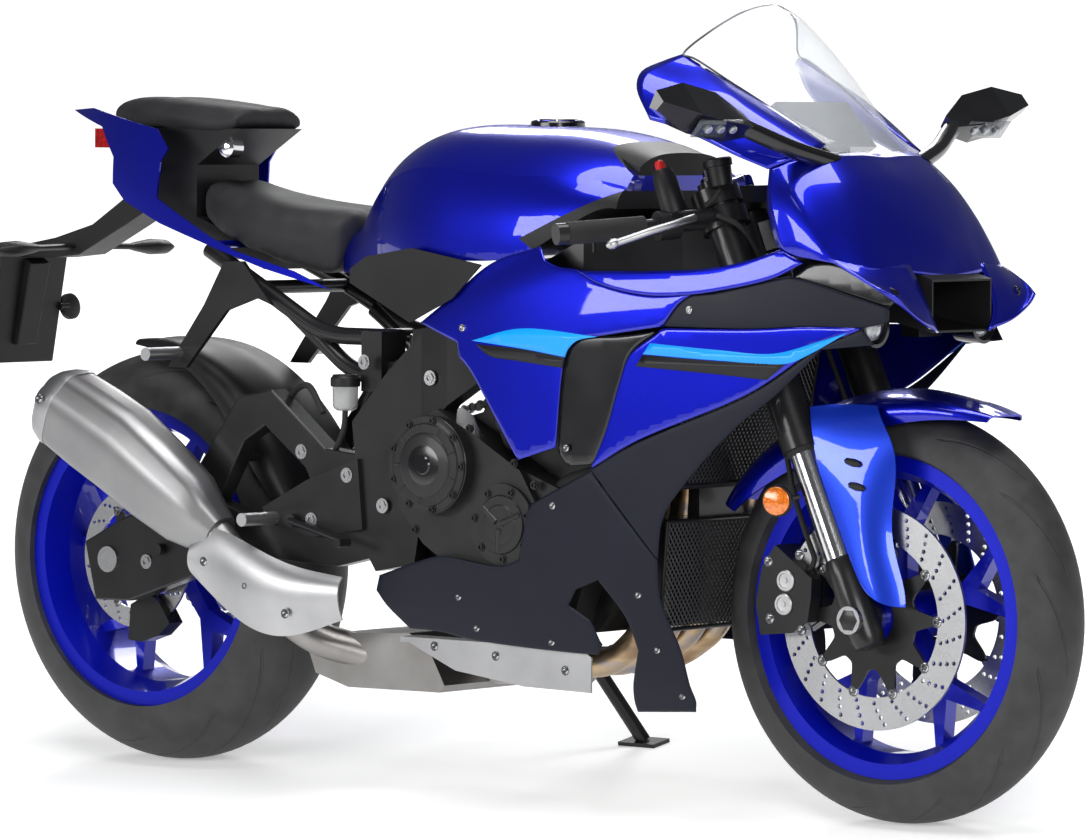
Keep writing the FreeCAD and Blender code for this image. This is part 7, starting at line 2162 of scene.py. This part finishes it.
@dataclass
class Studio:
    """A pale floor that glows with painted light, more towards its edges, a pale backdrop and soft
    lights.
    """

    floor_half: float = 30.0
    floor_colours: tuple[Colour, Colour] = ((0.86, 0.86, 0.865), (0.90, 0.90, 0.90))
    # Painted light: the distances from the middle over which the floor's glow rises, and the glow's
    # strength at each.
    glow_reach: Flat = (1.8, 5.5)
    glow: Flat = (0.35, 0.95)
    room: tuple[Colour, float] = ((0.60, 0.62, 0.66), 0.17)
    backdrop: tuple[Colour, float] = ((1.0, 1.0, 1.0), 1.0)
    lights: tuple[SoftLight, ...] = (
        SoftLight("overhead", (0.3, -0.2, 4.2), (0.0, -0.1, 0.4), (4.2, 1.6), 165.0),
        SoftLight("front_right", (4.6, -3.2, 2.4), (0.4, -0.1, 0.6), (2.4, 1.8), 130.0),
        SoftLight("right_side", (-1.6, -5.0, 2.2), (-0.2, -0.1, 0.5), (3.6, 1.2), 130.0),
        SoftLight("left_back", (-2.5, 4.2, 2.8), (0.0, 0.0, 0.6), (2.6, 1.4), 90.0))

    def build(self) -> None:
        """Make the floor, the world and the lights."""
        mesh = bpy.data.meshes.new("studio_floor")
        half = self.floor_half
        mesh.from_pydata([(-half, -half, 0), (half, -half, 0), (half, half, 0), (-half, half, 0)],
                         [], [(0, 1, 2, 3)])
        floor = bpy.data.objects.new("studio_floor", mesh)
        bpy.context.scene.collection.objects.link(floor)
        graph = NodeGraph("floor_white")
        cloud = graph.noise(1.5, 3.0)
        shade = graph.between(cloud, "Fac", *self.floor_colours)
        graph.join(shade, "Color", graph.shader, "Base Color")
        # Painted light: the floor glows, weakly near the middle under the bike and brightly towards
        # its edges, so it fades into the backdrop.
        reach = graph.new("ShaderNodeVectorMath", operation="LENGTH")
        graph.join(graph.space, "Object", reach, 0)
        glow = graph.new("ShaderNodeMapRange")
        graph.join(reach, "Value", glow, "Value")
        for socket, value in zip(("From Min", "From Max", "To Min", "To Max"),
                                 self.glow_reach + self.glow):
            glow.inputs[socket].default_value = value
        graph.join(glow, "Result", graph.shader, "Emission Strength")
        graph.set(Roughness=0.6, Emission_Color=(1.0, 1.0, 1.0, 1.0))
        mesh.materials.append(graph.material)
        floor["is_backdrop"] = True
        bpy.context.scene.view_settings.view_transform = "Standard"
        self._world()
        for light in self.lights:
            light.hang()

    def _world(self) -> None:
        """Light the room softly, with a pale backdrop."""
        world = bpy.data.worlds.new("studio_world")
        bpy.context.scene.world = world
        world.use_nodes = True
        tree = world.node_tree
        tree.nodes.clear()
        output = tree.nodes.new("ShaderNodeOutputWorld")
        mix = tree.nodes.new("ShaderNodeMixShader")
        path = tree.nodes.new("ShaderNodeLightPath")
        tree.links.new(path.outputs["Is Camera Ray"], mix.inputs[0])
        for entry, (colour, strength) in enumerate((self.room, self.backdrop), start=1):
            shade = tree.nodes.new("ShaderNodeBackground")
            shade.inputs["Color"].default_value = (*colour, 1.0)
            shade.inputs["Strength"].default_value = strength
            tree.links.new(shade.outputs[0], mix.inputs[entry])
        tree.links.new(mix.outputs[0], output.inputs["Surface"])


@dataclass
class PhotoCamera:
    """The camera at the photograph's angle, carried through the bike's lean."""

    place: Place = (6873.38, -7495.71, 999.66)
    azimuth: float = 39.30
    elevation: float = 2.629
    roll: float = 0.323
    lens: float = 214.67
    sensor: float = 36.0

    def build(self) -> bpy.types.Object:
        """Make the camera and set it as the scene's own."""
        a, e, r = (math.radians(v) for v in (self.azimuth, self.elevation, self.roll))
        back = Vector((math.sin(a) * math.cos(e), -math.cos(a) * math.cos(e), math.sin(e)))
        right = Vector((math.cos(a), math.sin(a), 0.0))
        up = back.cross(right)
        rolled = right * math.cos(r) + up * math.sin(r)
        up = up * math.cos(r) - right * math.sin(r)
        whole = UPRIGHT.matrix()
        turn = whole.to_quaternion().to_matrix()
        axes = Matrix((turn @ rolled, turn @ up, turn @ back)).transposed()
        data = bpy.data.cameras.new("photo_camera")
        data.lens, data.sensor_width, data.sensor_fit = self.lens, self.sensor, "HORIZONTAL"
        data.clip_start, data.clip_end = 0.1, 200.0
        camera = bpy.data.objects.new("photo_camera", data)
        bpy.context.scene.collection.objects.link(camera)
        camera.matrix_world = Matrix.Translation(whole @ Vector(self.place)) @ axes.to_4x4()
        bpy.context.scene.camera = camera
        return camera


def corners(box: tuple[Vector, Vector]) -> list[list[float]]:
    """Turn a pair of corners into plain lists."""
    return [list(corner) for corner in box]


def main() -> None:
    """Load the frame, dress it, add the pieces and measure the sizes."""
    logging.basicConfig(level=logging.INFO, format="%(name)s: %(message)s")
    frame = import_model()
    cad_box = corners(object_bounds())
    slots = {material["slot"] for material in frame["record"]["materials"]}
    finishes = Finishes()
    PhotoCamera().build()
    Studio().build()
    dress_nodes(frame["nodes"], finishes)
    for assembly in (SideBodywork(finishes, slots), NoseBodywork(finishes, slots),
                     RunningGear(finishes, slots), EngineBay(finishes, slots),
                     ExhaustParts(finishes, slots), Trim(finishes, slots),
                     SeatPads(finishes, slots)):
        assembly.build()
        LOG.info("%s has %d pieces", type(assembly).__name__, len(assembly.made))
    {"cad": cad_box, "visual": corners(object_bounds())}


if __name__ == "__main__":
    main()
